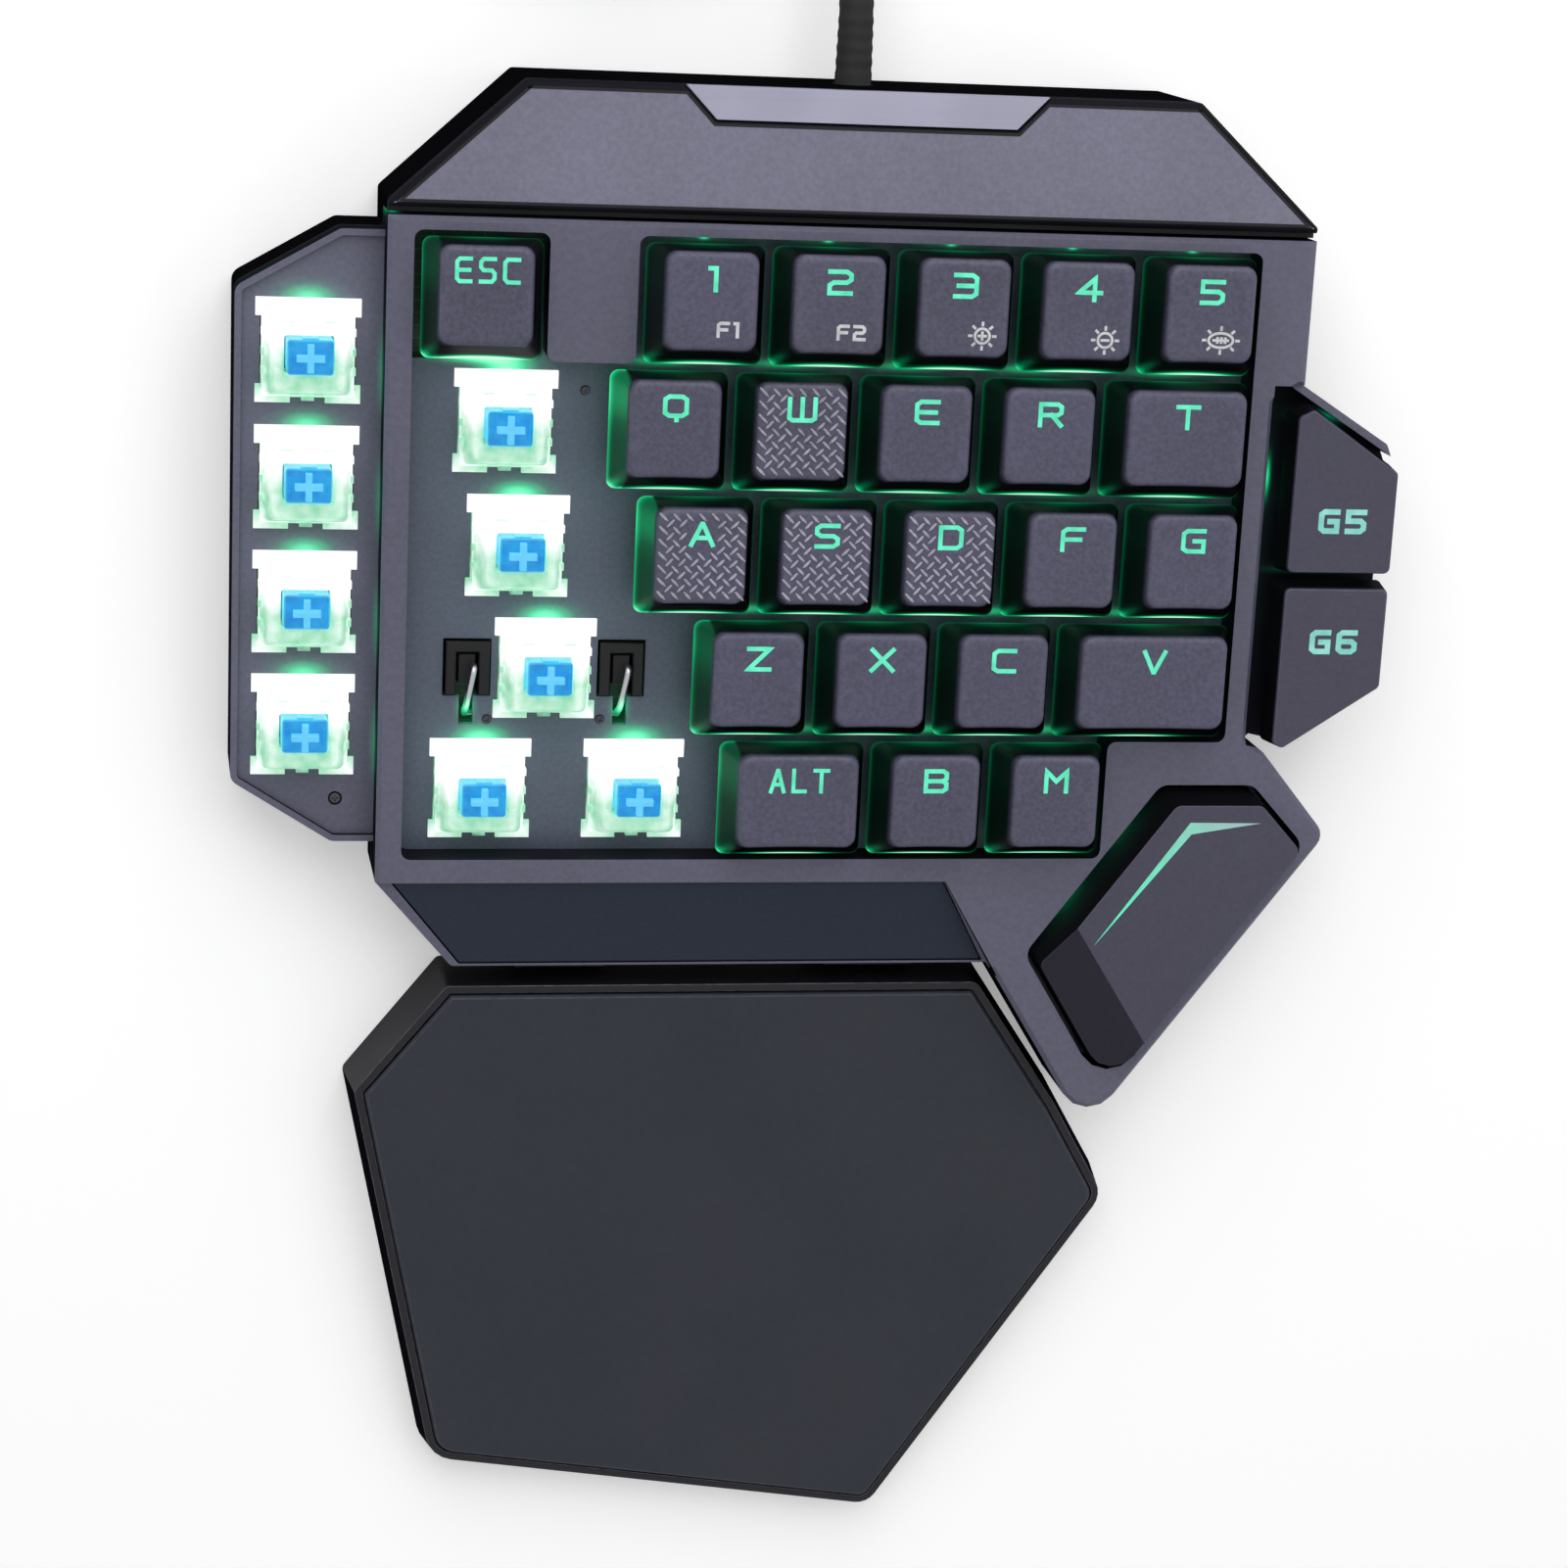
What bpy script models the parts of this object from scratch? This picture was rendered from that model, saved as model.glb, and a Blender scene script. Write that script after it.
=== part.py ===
"""A one-handed gaming keypad with bare switches, a thumb bar, a wrist rest and its cord.

The deck (case, plate, keys and wrist rest) is laid out in a frame of its own: its origin
lies on the switch plate under the Q key, X runs to the right, Y to the rear and Z along
the keys' travel. The deck frame is tipped so that the keypad is higher at the rear, and
it is then moved so that the keypad stands centred on the world's origin, on Z = 0.
"""
import math

import bmesh
import bpy
from mathutils import Matrix, Vector

MM = 0.001
EPS = 0.01 * MM          # welding distance of curve caps
OVERRUN = 1.0 * MM       # how far a cutter passes the face that it opens
SEAT = 0.3 * MM          # gap between faces that touch
ARC_STEPS = 4            # straight pieces in a rounded corner
CAP_ARC_STEPS = 2        # the same, in the corners of the keycaps
ROUND_SIDES = 16         # sides of round pins and bores

# Key grid and switches
PITCH = 19.05 * MM           # spacing of the keys
FIELD_SHARES = {             # edges of the key opening, in key pitches
    "left": -2.0, "right": 4.75, "rear": 1.5, "front": -3.5,
    "block_right": -0.25, "block_front": 0.5, "v_front": -2.5, "m_right": 3.75,
}
KEYS_LEFT = FIELD_SHARES["left"] * PITCH
KEYS_RIGHT = FIELD_SHARES["right"] * PITCH
KEYS_REAR = FIELD_SHARES["rear"] * PITCH
KEYS_FRONT = FIELD_SHARES["front"] * PITCH
V_FRONT = FIELD_SHARES["v_front"] * PITCH
M_RIGHT = FIELD_SHARES["m_right"] * PITCH
TRAVEL = 4.0 * MM            # stroke of a switch
PLATE_T = 1.5 * MM
HOUSING_W = 13.6 * MM        # switch body below the flange
FLANGE_OUT = 1.0 * MM        # flange beyond the body, each side
FLANGE_T = 1.0 * MM
FLANGE_NOTCH_W = 0.9 * MM    # depth of the notches in the flange's sides
FLANGE_NOTCH_L = 8.4 * MM
HOUSING_TOP = 6.6 * MM       # above the plate
HOUSING_DRAW = 1.35 * MM     # how much the top is drawn in, each side
STEM_W = 6.8 * MM
STEM_D = 5.2 * MM
STEM_HEAD = 8.6 * MM         # top of the stem's block above the plate
STEM_TOP = 10.2 * MM         # top of the stem's cross above the plate
STEM_SHAFT = 4.2 * MM        # side of the stem's shaft inside the housing
STEM_FOOT = 1.5 * MM         # lowest point of the stem above the plate
CROSS_L = 4.1 * MM
CROSS_T = 1.3 * MM
STEM_GAP = 0.35 * MM         # play of the stem in the housing, each side
HOUSING_FLOOR = 1.2 * MM     # clearance under a pressed stem

# Keycaps
CAP_GAP = 1.0 * MM           # between the feet of two caps
CAP_FOOT = 6.2 * MM          # skirt's lower edge above the plate
CAP_TOP = 14.5 * MM
CAP_DRAW_X = 4.55 * MM       # how much narrower the top is than the foot
CAP_DRAW_Y = 3.65 * MM
CAP_SHIFT = 1.4 * MM         # the top sits this much to the rear of the foot
CAP_ROUND = 1.3 * MM
CAP_EDGE = 0.5 * MM
CAP_WALL = 1.3 * MM
CAP_CEILING = 1.6 * MM

# Case
BEZEL_TOP = 6.5 * MM         # top face above the switch plate
COVER_T = 2.2 * MM           # walls of the covers
BEZEL_EDGE = 0.7 * MM        # chamfer of the top faces
PARTING = -4.0 * MM          # where the top cover's walls end
FLOOR_T = 1.6 * MM
FOOT_T = 1.2 * MM
DECK_HEIGHT = 16.7 * MM      # switch plate above the desk under the Q key
DECK_TILT = math.radians(3.5)
FIELD_MARGIN = 0.4 * MM      # key opening beyond the keys' cells
FIELD_ROUND = 1.4 * MM
SKIRT_T = 1.6 * MM           # collar round the key opening, down to the plate
CASE_LEFT = KEYS_LEFT - 4.3 * MM
CASE_RIGHT = KEYS_RIGHT + 8.9125 * MM
CASE_REAR = KEYS_REAR + 22.625 * MM
REAR_CHAMFER_X = 19.8 * MM
REAR_CHAMFER_Y = 18.2 * MM
BEZEL_REAR_W = 2.0 * MM      # strip between the key opening and the groove
GROOVE_W = 1.2 * MM
SIDE_ROUND = 1.0 * MM
APRON_REAR = KEYS_FRONT - 4.125 * MM     # where the front slope starts
CASE_FRONT = KEYS_FRONT - 18.925 * MM
FRONT_LEFT = CASE_LEFT + 12.4 * MM       # front corners of the case
FRONT_RIGHT = M_RIGHT - 15.8375 * MM

# Left wing
WING_LEFT = CASE_LEFT - 21.9 * MM
WING_REAR = KEYS_REAR - 0.375 * MM
WING_FRONT = KEYS_FRONT + 1.075 * MM
WING_CHAMFER_X = 15.4 * MM
WING_REAR_CHAMFER_Y = 8.9 * MM
WING_FRONT_CHAMFER_Y = 9.6 * MM
WING_ROUND = 2.0 * MM
WING_RIM = 1.0 * MM          # height and width of the rim round the wing's deck
WING_SWITCH_X = CASE_LEFT - 11.05 * MM   # centre of the wing's rearmost bare switch
WING_SWITCH_Y = KEYS_REAR - 18.575 * MM
WING_SCREW = (CASE_LEFT - 5.9 * MM, WING_FRONT + 6.6 * MM)
SCREW_HOLE_R = 1.1 * MM
SCREW_HOLE_DEPTH = 0.8 * MM

# Right wing with the two large keys
NOTCH_X = CASE_RIGHT - 5.0 * MM          # the bezel's right edge beside the large keys
NOTCH_REAR = 6.2 * MM
NOTCH_FRONT = V_FRONT + 0.225 * MM
NOTCH_SLANT = 2.6 * MM
GWING_RIGHT = CASE_RIGHT + 15.9 * MM
GWING_REAR = 8.7 * MM
GWING_REAR_CORNER = (CASE_RIGHT + 14.5 * MM, -0.3 * MM)
GWING_SIDE_REAR = -3.8 * MM
GWING_SIDE_FRONT = NOTCH_FRONT + 9.0 * MM
GWING_FRONT = (CASE_RIGHT - 0.5 * MM, NOTCH_FRONT - 1.2 * MM)
GWING_RIM_TOP = 5.0 * MM
GWING_RIM_W = 1.2 * MM
BIG_TOP = 9.0 * MM           # top faces of the large keys and the thumb bar
BIG_FOOT = 3.8 * MM
BIG_TRAVEL = 3.0 * MM
BIG_FLARE = 0.5 * MM
BIG_ROUND = 1.0 * MM
BIG_EDGE = 0.4 * MM
BIG_CEILING = 2.2 * MM
BIG_WALL = 1.4 * MM
LOW_HOUSING_TOP = 3.2 * MM   # switch housings under the large keys
LOW_HOUSING_W = 12.0 * MM
LOW_STEM_FOOT = 0.6 * MM
G_LEFT = CASE_RIGHT - 1.5 * MM
G_RIGHT = CASE_RIGHT + 15.4 * MM
G_SPLIT = -21.35 * MM        # middle of the gap between G5 and G6
G_SPLIT_W = 2.4 * MM
G_REAR = (CASE_RIGHT + 1.0 * MM, 5.5 * MM)
G_REAR_SIDE = 4.3 * MM
G_REAR_RIGHT = -4.2 * MM
G_FRONT_RIGHT = NOTCH_FRONT + 9.0 * MM
G_FRONT = (CASE_RIGHT + 0.3 * MM, NOTCH_FRONT - 1.0 * MM)
G_FRONT_SIDE = NOTCH_FRONT - 0.2 * MM
G5_SWITCH = (CASE_RIGHT + 6.6 * MM, -10.6 * MM)
G6_SWITCH = (CASE_RIGHT + 6.6 * MM, NOTCH_FRONT + 17.2 * MM)

# Thumb part
THUMB_SHOULDER = (CASE_RIGHT - 1.8 * MM, V_FRONT - 2.175 * MM)
THUMB_RIGHT = (M_RIGHT + 37.5625 * MM, KEYS_FRONT + 3.275 * MM)
THUMB_TIP = (M_RIGHT + 1.2625 * MM, KEYS_FRONT - 46.225 * MM)
THUMB_ROUND = 2.6 * MM
TIP_ROUND = 5.0 * MM
BAR_LEFT = M_RIGHT - 8.1375 * MM         # box of the bar's top face
BAR_RIGHT = M_RIGHT + 32.8625 * MM
BAR_FRONT = KEYS_FRONT - 37.725 * MM
BAR_REAR = KEYS_FRONT + 9.075 * MM
BAR_TURN = math.radians(53.5)    # the bar's long axis from the X axis
BAR_ROUND = 1.6 * MM
BAR_TIP_ROUND = 4.0 * MM
BAR_GAP = 0.7 * MM           # between the well and the bar's foot
WELL_LEFT = 3.2 * MM         # from the bar's top face to the sides of its well
WELL_TIP = 1.3 * MM
WELL_RIGHT = 0.95 * MM
WELL_REAR = 2.6 * MM
WELL_ROUND = 2.6 * MM
WELL_TIP_ROUND = 5.2 * MM
CREASE_TILT = math.radians(10.0)

# Front panel
PANEL_REAR_TOP = 5.2 * MM
PANEL_FRONT_TOP = 1.8 * MM
PANEL_T = 1.6 * MM
PANEL_LEFT = CASE_LEFT + 2.9 * MM
PANEL_RIGHT = FRONT_RIGHT - 8.8 * MM
PANEL_FRONT_LEFT = FRONT_LEFT + 1.3 * MM
PANEL_FRONT_RIGHT = FRONT_RIGHT - 1.2 * MM
PANEL_LIP = 0.7 * MM         # case left in front of the panel

# Rear panel and insert
BADGE_LEFT = 0.9 * MM
BADGE_RIGHT = 55.8 * MM
BADGE_SLANT_X = 4.7 * MM
BADGE_DEPTH = 4.9 * MM
BADGE_T = 1.2 * MM
BADGE_DROP = 0.2 * MM

# Plate and board
PLATE_MARGIN = 1.0 * MM      # plate beyond the key opening
BOARD_TOP = -5.0 * MM
BOARD_T = 1.6 * MM
BOARD_INSET = 3.0 * MM
POST_R = 2.4 * MM
TONGUE_INSET = 0.9 * MM      # the plate's tongue inside the thumb well's outer sides

# Wrist rest
REST_GAP = 2.4 * MM          # between the case and the rest
REST_TOP = 1.0 * MM
REST_FLARE = 1.2 * MM
REST_WALL = 2.6 * MM
REST_LEFT = CASE_LEFT - 2.2 * MM         # box of the rest's rim
REST_RIGHT = FRONT_RIGHT + 22.4 * MM
REST_L = 90.8 * MM
REST_ROUND = 4.0 * MM
PAD_RIM = 1.5 * MM
PAD_DEPTH = 1.2 * MM
PAD_RISE = 0.7 * MM
TAB_W = 14.0 * MM
TAB_T = 1.4 * MM
TAB_SLOT_SINK = 0.15 * MM    # the slots' floor below the tray's
TAB_REACH = 7.6 * MM         # into the case
TAB_X = (-12.0 * MM, 38.0 * MM)
FOOT_D = 8.0 * MM
REAR_FOOT_X = (-20.0 * MM, 78.0 * MM)
REAR_FOOT_Y = CASE_REAR - 9.2 * MM
FRONT_FOOT_X = (-20.0 * MM, 46.0 * MM)
FRONT_FOOT_Y = CASE_FRONT + 8.6 * MM

# Stabiliser of the Shift key
STAB_SPREAD = 23.8 * MM
STAB_W = 6.8 * MM
STAB_D = 8.4 * MM
STAB_TOP = 1.0 * MM
STAB_FORE = 0.1 * MM         # the housings' middle lies this far in front of the row's
STAB_WIRE_R = 0.8 * MM
STAB_WIRE_TOP = 2.6 * MM
STAB_WIRE_BAR = -3.4 * MM    # cross bar under the plate
STAB_WIRE_REACH = 7.9 * MM   # from the housings' middle to the cross bar
STAB_WIRE_KNEE = 5.0 * MM

# Cord
CORD_D = 4.4 * MM
CORD_X = 28.5 * MM
CORD_Z = -8.0 * MM           # axis of the outlet below the plate
RELIEF_D = 5.8 * MM
RELIEF_OUT = 4.9 * MM
COLLAR_D = 9.0 * MM
COLLAR_T = 1.5 * MM
CORD_STEP = 11.0 * MM
COIL_TURNS = 9.25
COIL_MEAN_R = 26.4 * MM
COIL_PITCH = 5.0 * MM        # from turn to turn and from layer to layer
COIL_CLIMB = 0.5             # turns in which the spiral reverses and climbs
COIL_Y = CASE_REAR + 58.8 * MM           # centre of the coil
LOOP_STEPS = 24
TAIL_DROP_L = 36.0 * MM
PLUG_W = 12.0 * MM
PLUG_T = 7.6 * MM
PLUG_L = 20.0 * MM
PLUG_NOSE_L = 12.0 * MM
PLUG_NOSE_T = 4.5 * MM
PLUG_EDGE = 0.8 * MM

# Keys: name, column and row of the centre, width, all in key pitches
KEY_SHARES = (
    ("esc", -1.49, 1, 1), ("1", 0.25, 1, 1), ("2", 1.25, 1, 1), ("3", 2.25, 1, 1),
    ("4", 3.25, 1, 1), ("5", 4.25, 1, 1),
    ("q", 0, 0, 1), ("w", 1, 0, 1), ("e", 2, 0, 1), ("r", 3, 0, 1), ("t", 4.125, 0, 1.25),
    ("a", 0.25, -1, 1), ("s", 1.25, -1, 1), ("d", 2.25, -1, 1), ("f", 3.25, -1, 1),
    ("g", 4.25, -1, 1),
    ("z", 0.75, -2, 1), ("x", 1.75, -2, 1), ("c", 2.75, -2, 1), ("v", 4, -2, 1.5),
    ("alt", 1.125, -3, 1.25), ("b", 2.25, -3, 1), ("m", 3.25, -3, 1),
)
BARE_SHARES = (
    ("tab", -1.25, 0), ("caps", -1.125, -1), ("shift", -0.875, -2),
    ("ctrl", -1.375, -3), ("fn", -0.125, -3),
)
WING_KEYS = ("g1", "g2", "g3", "g4")
BAR_SHARES = (               # corners in the bar's box, counter-clockwise from its rear left
    (0.483, 1), (0, 0.423), (0.300, 0), (1, 0.838), (0.829, 1),
)
BAR_SWITCH_SHARES = (0.471, 0.596)
CREASE_SHARES = ((0.132, 0.556), (0.429, 0.152))
REST_SHARES = (              # corners in the rest's box, counter-clockwise from its rear right
    (0.809, 1), (0.115, 1), (0, 0.811), (0.109, 0.119), (0.702, 0), (1, 0.595), (0.922, 0.776),
)
REST_ROUND_SHARES = (0.5, 0.3, 0.375, 1.25, 0.85, 1, 0.75)
POST_SHARES = (              # posts under the board, in key pitches
    (-1.6, 1.2), (4.6, 1.2), (-1.6, -3.1), (2.7, -3.4), (4.8, -3.4), (-2.8, -0.9), (5.4, -1.1),
)

# Colours, roughness and metallic value
FINISHES = {
    "grey_cover": ((0.105, 0.098, 0.138), 0.55, 0.0),
    "light_panel": ((0.140, 0.135, 0.175), 0.50, 0.0),
    "silver": ((0.36, 0.36, 0.45), 0.30, 0.6),
    "slate_panel": ((0.030, 0.036, 0.055), 0.45, 0.0),
    "black_shell": ((0.012, 0.012, 0.014), 0.55, 0.0),
    "plate": ((0.085, 0.088, 0.115), 0.50, 0.3),
    "board": ((0.010, 0.045, 0.025), 0.60, 0.0),
    "cap": ((0.055, 0.052, 0.066), 0.50, 0.0),
    "blue_stem": ((0.02, 0.32, 0.85), 0.35, 0.0),
    "clear_housing": ((0.80, 0.95, 0.90), 0.20, 0.0),
    "pad": ((0.042, 0.045, 0.060), 0.70, 0.0),
    "rubber": ((0.015, 0.015, 0.016), 0.85, 0.0),
}


def clear_scene():
    """Empties the scene."""
    for obj in list(bpy.data.objects):
        bpy.data.objects.remove(obj, do_unlink=True)


def new_collection(name):
    """A collection linked to the scene."""
    collection = bpy.data.collections.new(name)
    bpy.context.scene.collection.children.link(collection)
    return collection


def material(name, finish):
    """A Principled material of one of the finishes."""
    colour, roughness, metallic = FINISHES[finish]
    result = bpy.data.materials.new(name)
    result.use_nodes = True
    shader = result.node_tree.nodes["Principled BSDF"]
    shader.inputs["Base Color"].default_value = (*colour, 1.0)
    shader.inputs["Roughness"].default_value = roughness
    shader.inputs["Metallic"].default_value = metallic
    result.diffuse_color = (*colour, 1.0)
    return result


class Model:
    """The scene's collections and frames, and the ways to add pieces to them."""

    def __init__(self):
        self.parts = new_collection("gaming_keypad")
        self.cutters = new_collection("cutters")
        self.base = self.empty("keypad_base")
        self.deck = self.empty("keypad_deck")
        self.deck.parent = self.base
        self.deck.rotation_euler.x = DECK_TILT
        self.deck.location.z = DECK_HEIGHT * math.cos(DECK_TILT)

    def empty(self, name):
        """A frame without a shape."""
        result = bpy.data.objects.new(name, None)
        self.parts.objects.link(result)
        return result

    def piece(self, name, mesh, finish, place=(0, 0, 0), frame=None):
        """A node: a mesh at a place in the deck's frame, with a material of its own."""
        result = bpy.data.objects.new(name, mesh)
        result.data.materials.clear()
        result.data.materials.append(None)
        result.material_slots[0].link = "OBJECT"
        result.material_slots[0].material = material(name + "_finish", finish)
        result.parent = frame or self.deck
        result.location = place
        self.parts.objects.link(result)
        return result

    def cutter(self, name, mesh, place=(0, 0, 0)):
        """A shape that only cuts or joins others."""
        result = bpy.data.objects.new(name, mesh)
        result.display_type = "WIRE"
        result.hide_render = True
        result.parent = self.deck
        result.location = place
        self.cutters.objects.link(result)
        return result


def combine(obj, other, operation):
    """Adds an exact Boolean of another object to an object."""
    step = obj.modifiers.new(other.name, "BOOLEAN")
    step.operation = operation
    step.solver = "EXACT"
    step.object = other


def rounded(corners, radii, steps=ARC_STEPS):
    """An outline through corners, each rounded with its radius."""
    points = []
    for index, corner in enumerate(corners):
        here = Vector(corner)
        radius = radii[index]
        if radius <= 0:
            points.append(here)
            continue
        before = (Vector(corners[index - 1]) - here).normalized()
        after = (Vector(corners[(index + 1) % len(corners)]) - here).normalized()
        half = before.angle(after) / 2
        centre = here + (before + after).normalized() * radius / math.sin(half)
        start = here + before * radius / math.tan(half) - centre
        end = here + after * radius / math.tan(half) - centre
        sweep = math.atan2(start.cross(end), start.dot(end))
        for step in range(steps + 1):
            turn = Matrix.Rotation(sweep * step / steps, 2)
            points.append(centre + turn @ start)
    return points


def grown(corners, distances):
    """Corners of a counter-clockwise outline whose edges move outward.

    An edge runs from its corner to the next one, and its distance has its index.
    """
    count = len(corners)
    if not hasattr(distances, "__len__"):
        distances = [distances] * count
    lines = []
    for index in range(count):
        start = Vector(corners[index])
        along = (Vector(corners[(index + 1) % count]) - start).normalized()
        out = Vector((along.y, -along.x))
        lines.append((start + out * distances[index], along))
    result = []
    for index in range(count):
        point, along = lines[index - 1]
        other, direction = lines[index]
        reach = (other - point).cross(direction) / along.cross(direction)
        result.append(tuple(point + along * reach))
    return result


def level(value, y):
    """A height that is the same everywhere or follows Y."""
    return value(y) if callable(value) else value


def slab(name, outline, low, high):
    """A mesh between two levels over an outline."""
    curve = bpy.data.curves.new(name, "CURVE")
    curve.dimensions = "2D"
    curve.fill_mode = "BOTH"
    curve.extrude = OVERRUN
    spline = curve.splines.new("POLY")
    spline.points.add(len(outline) - 1)
    for point, place in zip(spline.points, outline):
        point.co = (place[0], place[1], 0, 1)
    spline.use_cyclic_u = True
    mesh = curve_mesh(name, curve)
    for vertex in mesh.vertices:
        vertex.co.z = level(high if vertex.co.z > 0 else low, vertex.co.y)
    return mesh


def curve_mesh(name, curve):
    """A curve as a welded mesh."""
    holder = bpy.data.objects.new(name, curve)
    bpy.context.scene.collection.objects.link(holder)
    graph = bpy.context.evaluated_depsgraph_get()
    mesh = bpy.data.meshes.new_from_object(holder.evaluated_get(graph))
    mesh.name = name
    bpy.data.objects.remove(holder)
    bpy.data.curves.remove(curve)
    work = bmesh.new()
    work.from_mesh(mesh)
    bmesh.ops.remove_doubles(work, verts=work.verts, dist=EPS)
    bmesh.ops.dissolve_limit(work, angle_limit=math.radians(1), verts=work.verts, edges=work.edges)
    bmesh.ops.recalc_face_normals(work, faces=work.faces)
    work.to_mesh(mesh)
    work.free()
    return mesh


def chamfer_top(mesh, high, width):
    """Chamfers the edges round a mesh's top face."""
    work = bmesh.new()
    work.from_mesh(mesh)
    rim = []
    for edge in work.edges:
        on_top = all(abs(vertex.co.z - high) < EPS for vertex in edge.verts)
        if on_top and edge.calc_face_angle(0) > math.radians(30):
            rim.append(edge)
    bmesh.ops.bevel(work, geom=rim, offset=width, segments=1, affect="EDGES")
    work.to_mesh(mesh)
    work.free()
    return mesh


def loft(name, rings):
    """A closed mesh through rings of equally many points, each with its height."""
    work = bmesh.new()
    loops = []
    for outline, height in rings:
        loops.append([work.verts.new((x, y, height)) for x, y in outline])
    for lower, upper in zip(loops, loops[1:]):
        for index in range(len(lower)):
            before = index - 1
            work.faces.new((lower[before], lower[index], upper[index], upper[before]))
    work.faces.new(list(reversed(loops[0])))
    work.faces.new(loops[-1])
    mesh = bpy.data.meshes.new(name)
    work.to_mesh(mesh)
    work.free()
    return mesh


def rectangle(width, depth, x=0, y=0):
    """Corners of a rectangle round a centre, counter-clockwise."""
    return [
        (x + width / 2, y + depth / 2), (x - width / 2, y + depth / 2),
        (x - width / 2, y - depth / 2), (x + width / 2, y - depth / 2),
    ]


def boxes(name, ranges):
    """A mesh of separate boxes, each between two places on each axis."""
    work = bmesh.new()
    for box_ranges in ranges:
        size = [pair[1] - pair[0] for pair in box_ranges]
        middle = [(pair[0] + pair[1]) / 2 for pair in box_ranges]
        place = Matrix.Translation(middle) @ Matrix.Diagonal((*size, 1))
        bmesh.ops.create_cube(work, size=1, matrix=place)
    mesh = bpy.data.meshes.new(name)
    work.to_mesh(mesh)
    work.free()
    return mesh


def box(name, x_range, y_range, z_range):
    """A box mesh between two places on each axis."""
    return boxes(name, [(x_range, y_range, z_range)])


def turned(outline, angle, centre=(0, 0)):
    """An outline round the origin, turned and moved to a centre."""
    turn = Matrix.Rotation(angle, 2)
    return [turn @ Vector(point) + Vector(centre) for point in outline]


def cylinder(name, radius, start, end, sides=ROUND_SIDES):
    """A cylinder mesh between two points."""
    axis = Vector(end) - Vector(start)
    turn = axis.to_track_quat("Z", "Y").to_matrix().to_4x4()
    place = Matrix.Translation((Vector(start) + Vector(end)) / 2) @ turn
    work = bmesh.new()
    bmesh.ops.create_cone(work, cap_ends=True, segments=sides, radius1=radius, radius2=radius,
                          depth=axis.length, matrix=place)
    mesh = bpy.data.meshes.new(name)
    work.to_mesh(mesh)
    work.free()
    return mesh


def bake(obj):
    """The mesh of an object with its modifiers, for pieces that share it."""
    graph = bpy.context.evaluated_depsgraph_get()
    mesh = bpy.data.meshes.new_from_object(obj.evaluated_get(graph))
    mesh.name = obj.name + "_baked"
    return mesh


def under_deck(height):
    """A level parallel to the desk, at a height over it, as a function of the deck's Y."""
    def at(y):
        return height / math.cos(DECK_TILT) - DECK_HEIGHT - y * math.tan(DECK_TILT)
    return at


def field_edge(name, outward):
    """An edge of the key opening: a cell boundary and the margin, outward or inward."""
    return FIELD_SHARES[name] * PITCH + outward * FIELD_MARGIN


def key_place(column, row):
    """Centre of a key on the switch plate."""
    return column * PITCH, row * PITCH


def bare_places():
    """Names and centres of the bare switches."""
    places = [(name, key_place(column, row)) for name, column, row in BARE_SHARES]
    for index, name in enumerate(WING_KEYS):
        places.append((name, (WING_SWITCH_X, WING_SWITCH_Y - index * PITCH)))
    return places


def field_corners():
    """The key opening: ESC, the main keys and the bare switches round the raised block."""
    left = field_edge("left", -1)
    right = field_edge("right", 1)
    rear = field_edge("rear", 1)
    front = field_edge("front", -1)
    block_left = (KEY_SHARES[0][1] + 0.5) * PITCH + FIELD_MARGIN
    block_right = field_edge("block_right", -1)
    block_front = field_edge("block_front", 1)
    v_front = field_edge("v_front", -1)
    m_right = field_edge("m_right", 1)
    return [
        (right, rear), (block_right, rear), (block_right, block_front),
        (block_left, block_front), (block_left, rear), (left, rear), (left, front),
        (m_right, front), (m_right, v_front), (right, v_front),
    ]


def in_box(shares, left, right, front, rear):
    """Points of a box, each from its shares of the box's width and depth."""
    return [(left + x * (right - left), front + y * (rear - front)) for x, y in shares]


def in_bar(shares):
    """Points of the thumb bar's top face from their shares of its box."""
    return in_box(shares, BAR_LEFT, BAR_RIGHT, BAR_FRONT, BAR_REAR)


def well_corners():
    """The opening round the thumb bar."""
    return grown(in_bar(BAR_SHARES), [WELL_LEFT, WELL_TIP, WELL_RIGHT, WELL_RIGHT, WELL_REAR])


def rest_corners():
    """The wrist rest's rim."""
    rear = CASE_FRONT - REST_GAP - REST_FLARE
    return in_box(REST_SHARES, REST_LEFT, REST_RIGHT, rear - REST_L, rear)


def thumb_corners():
    """The case's outline round the thumb part, from the front edge to the right wing."""
    return [(FRONT_RIGHT, CASE_FRONT), THUMB_TIP, THUMB_RIGHT, THUMB_SHOULDER]


def left_front_corners():
    """The case's outline from the left wing's front to the front edge."""
    return [(CASE_LEFT, APRON_REAR), (FRONT_LEFT, CASE_FRONT)]


def wing_corners(inner):
    """The left wing's outline, with its inner side at a given X."""
    return [
        (inner, WING_REAR), (WING_LEFT + WING_CHAMFER_X, WING_REAR),
        (WING_LEFT, WING_REAR - WING_REAR_CHAMFER_Y),
        (WING_LEFT, WING_FRONT + WING_FRONT_CHAMFER_Y),
        (WING_LEFT + WING_CHAMFER_X, WING_FRONT), (inner, WING_FRONT),
    ]


def gwing_corners():
    """The right wing's outer corners, from front to rear."""
    return [
        GWING_FRONT, (GWING_RIGHT, GWING_SIDE_FRONT), (GWING_RIGHT, GWING_SIDE_REAR),
        GWING_REAR_CORNER, (CASE_RIGHT, GWING_REAR),
    ]


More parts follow.
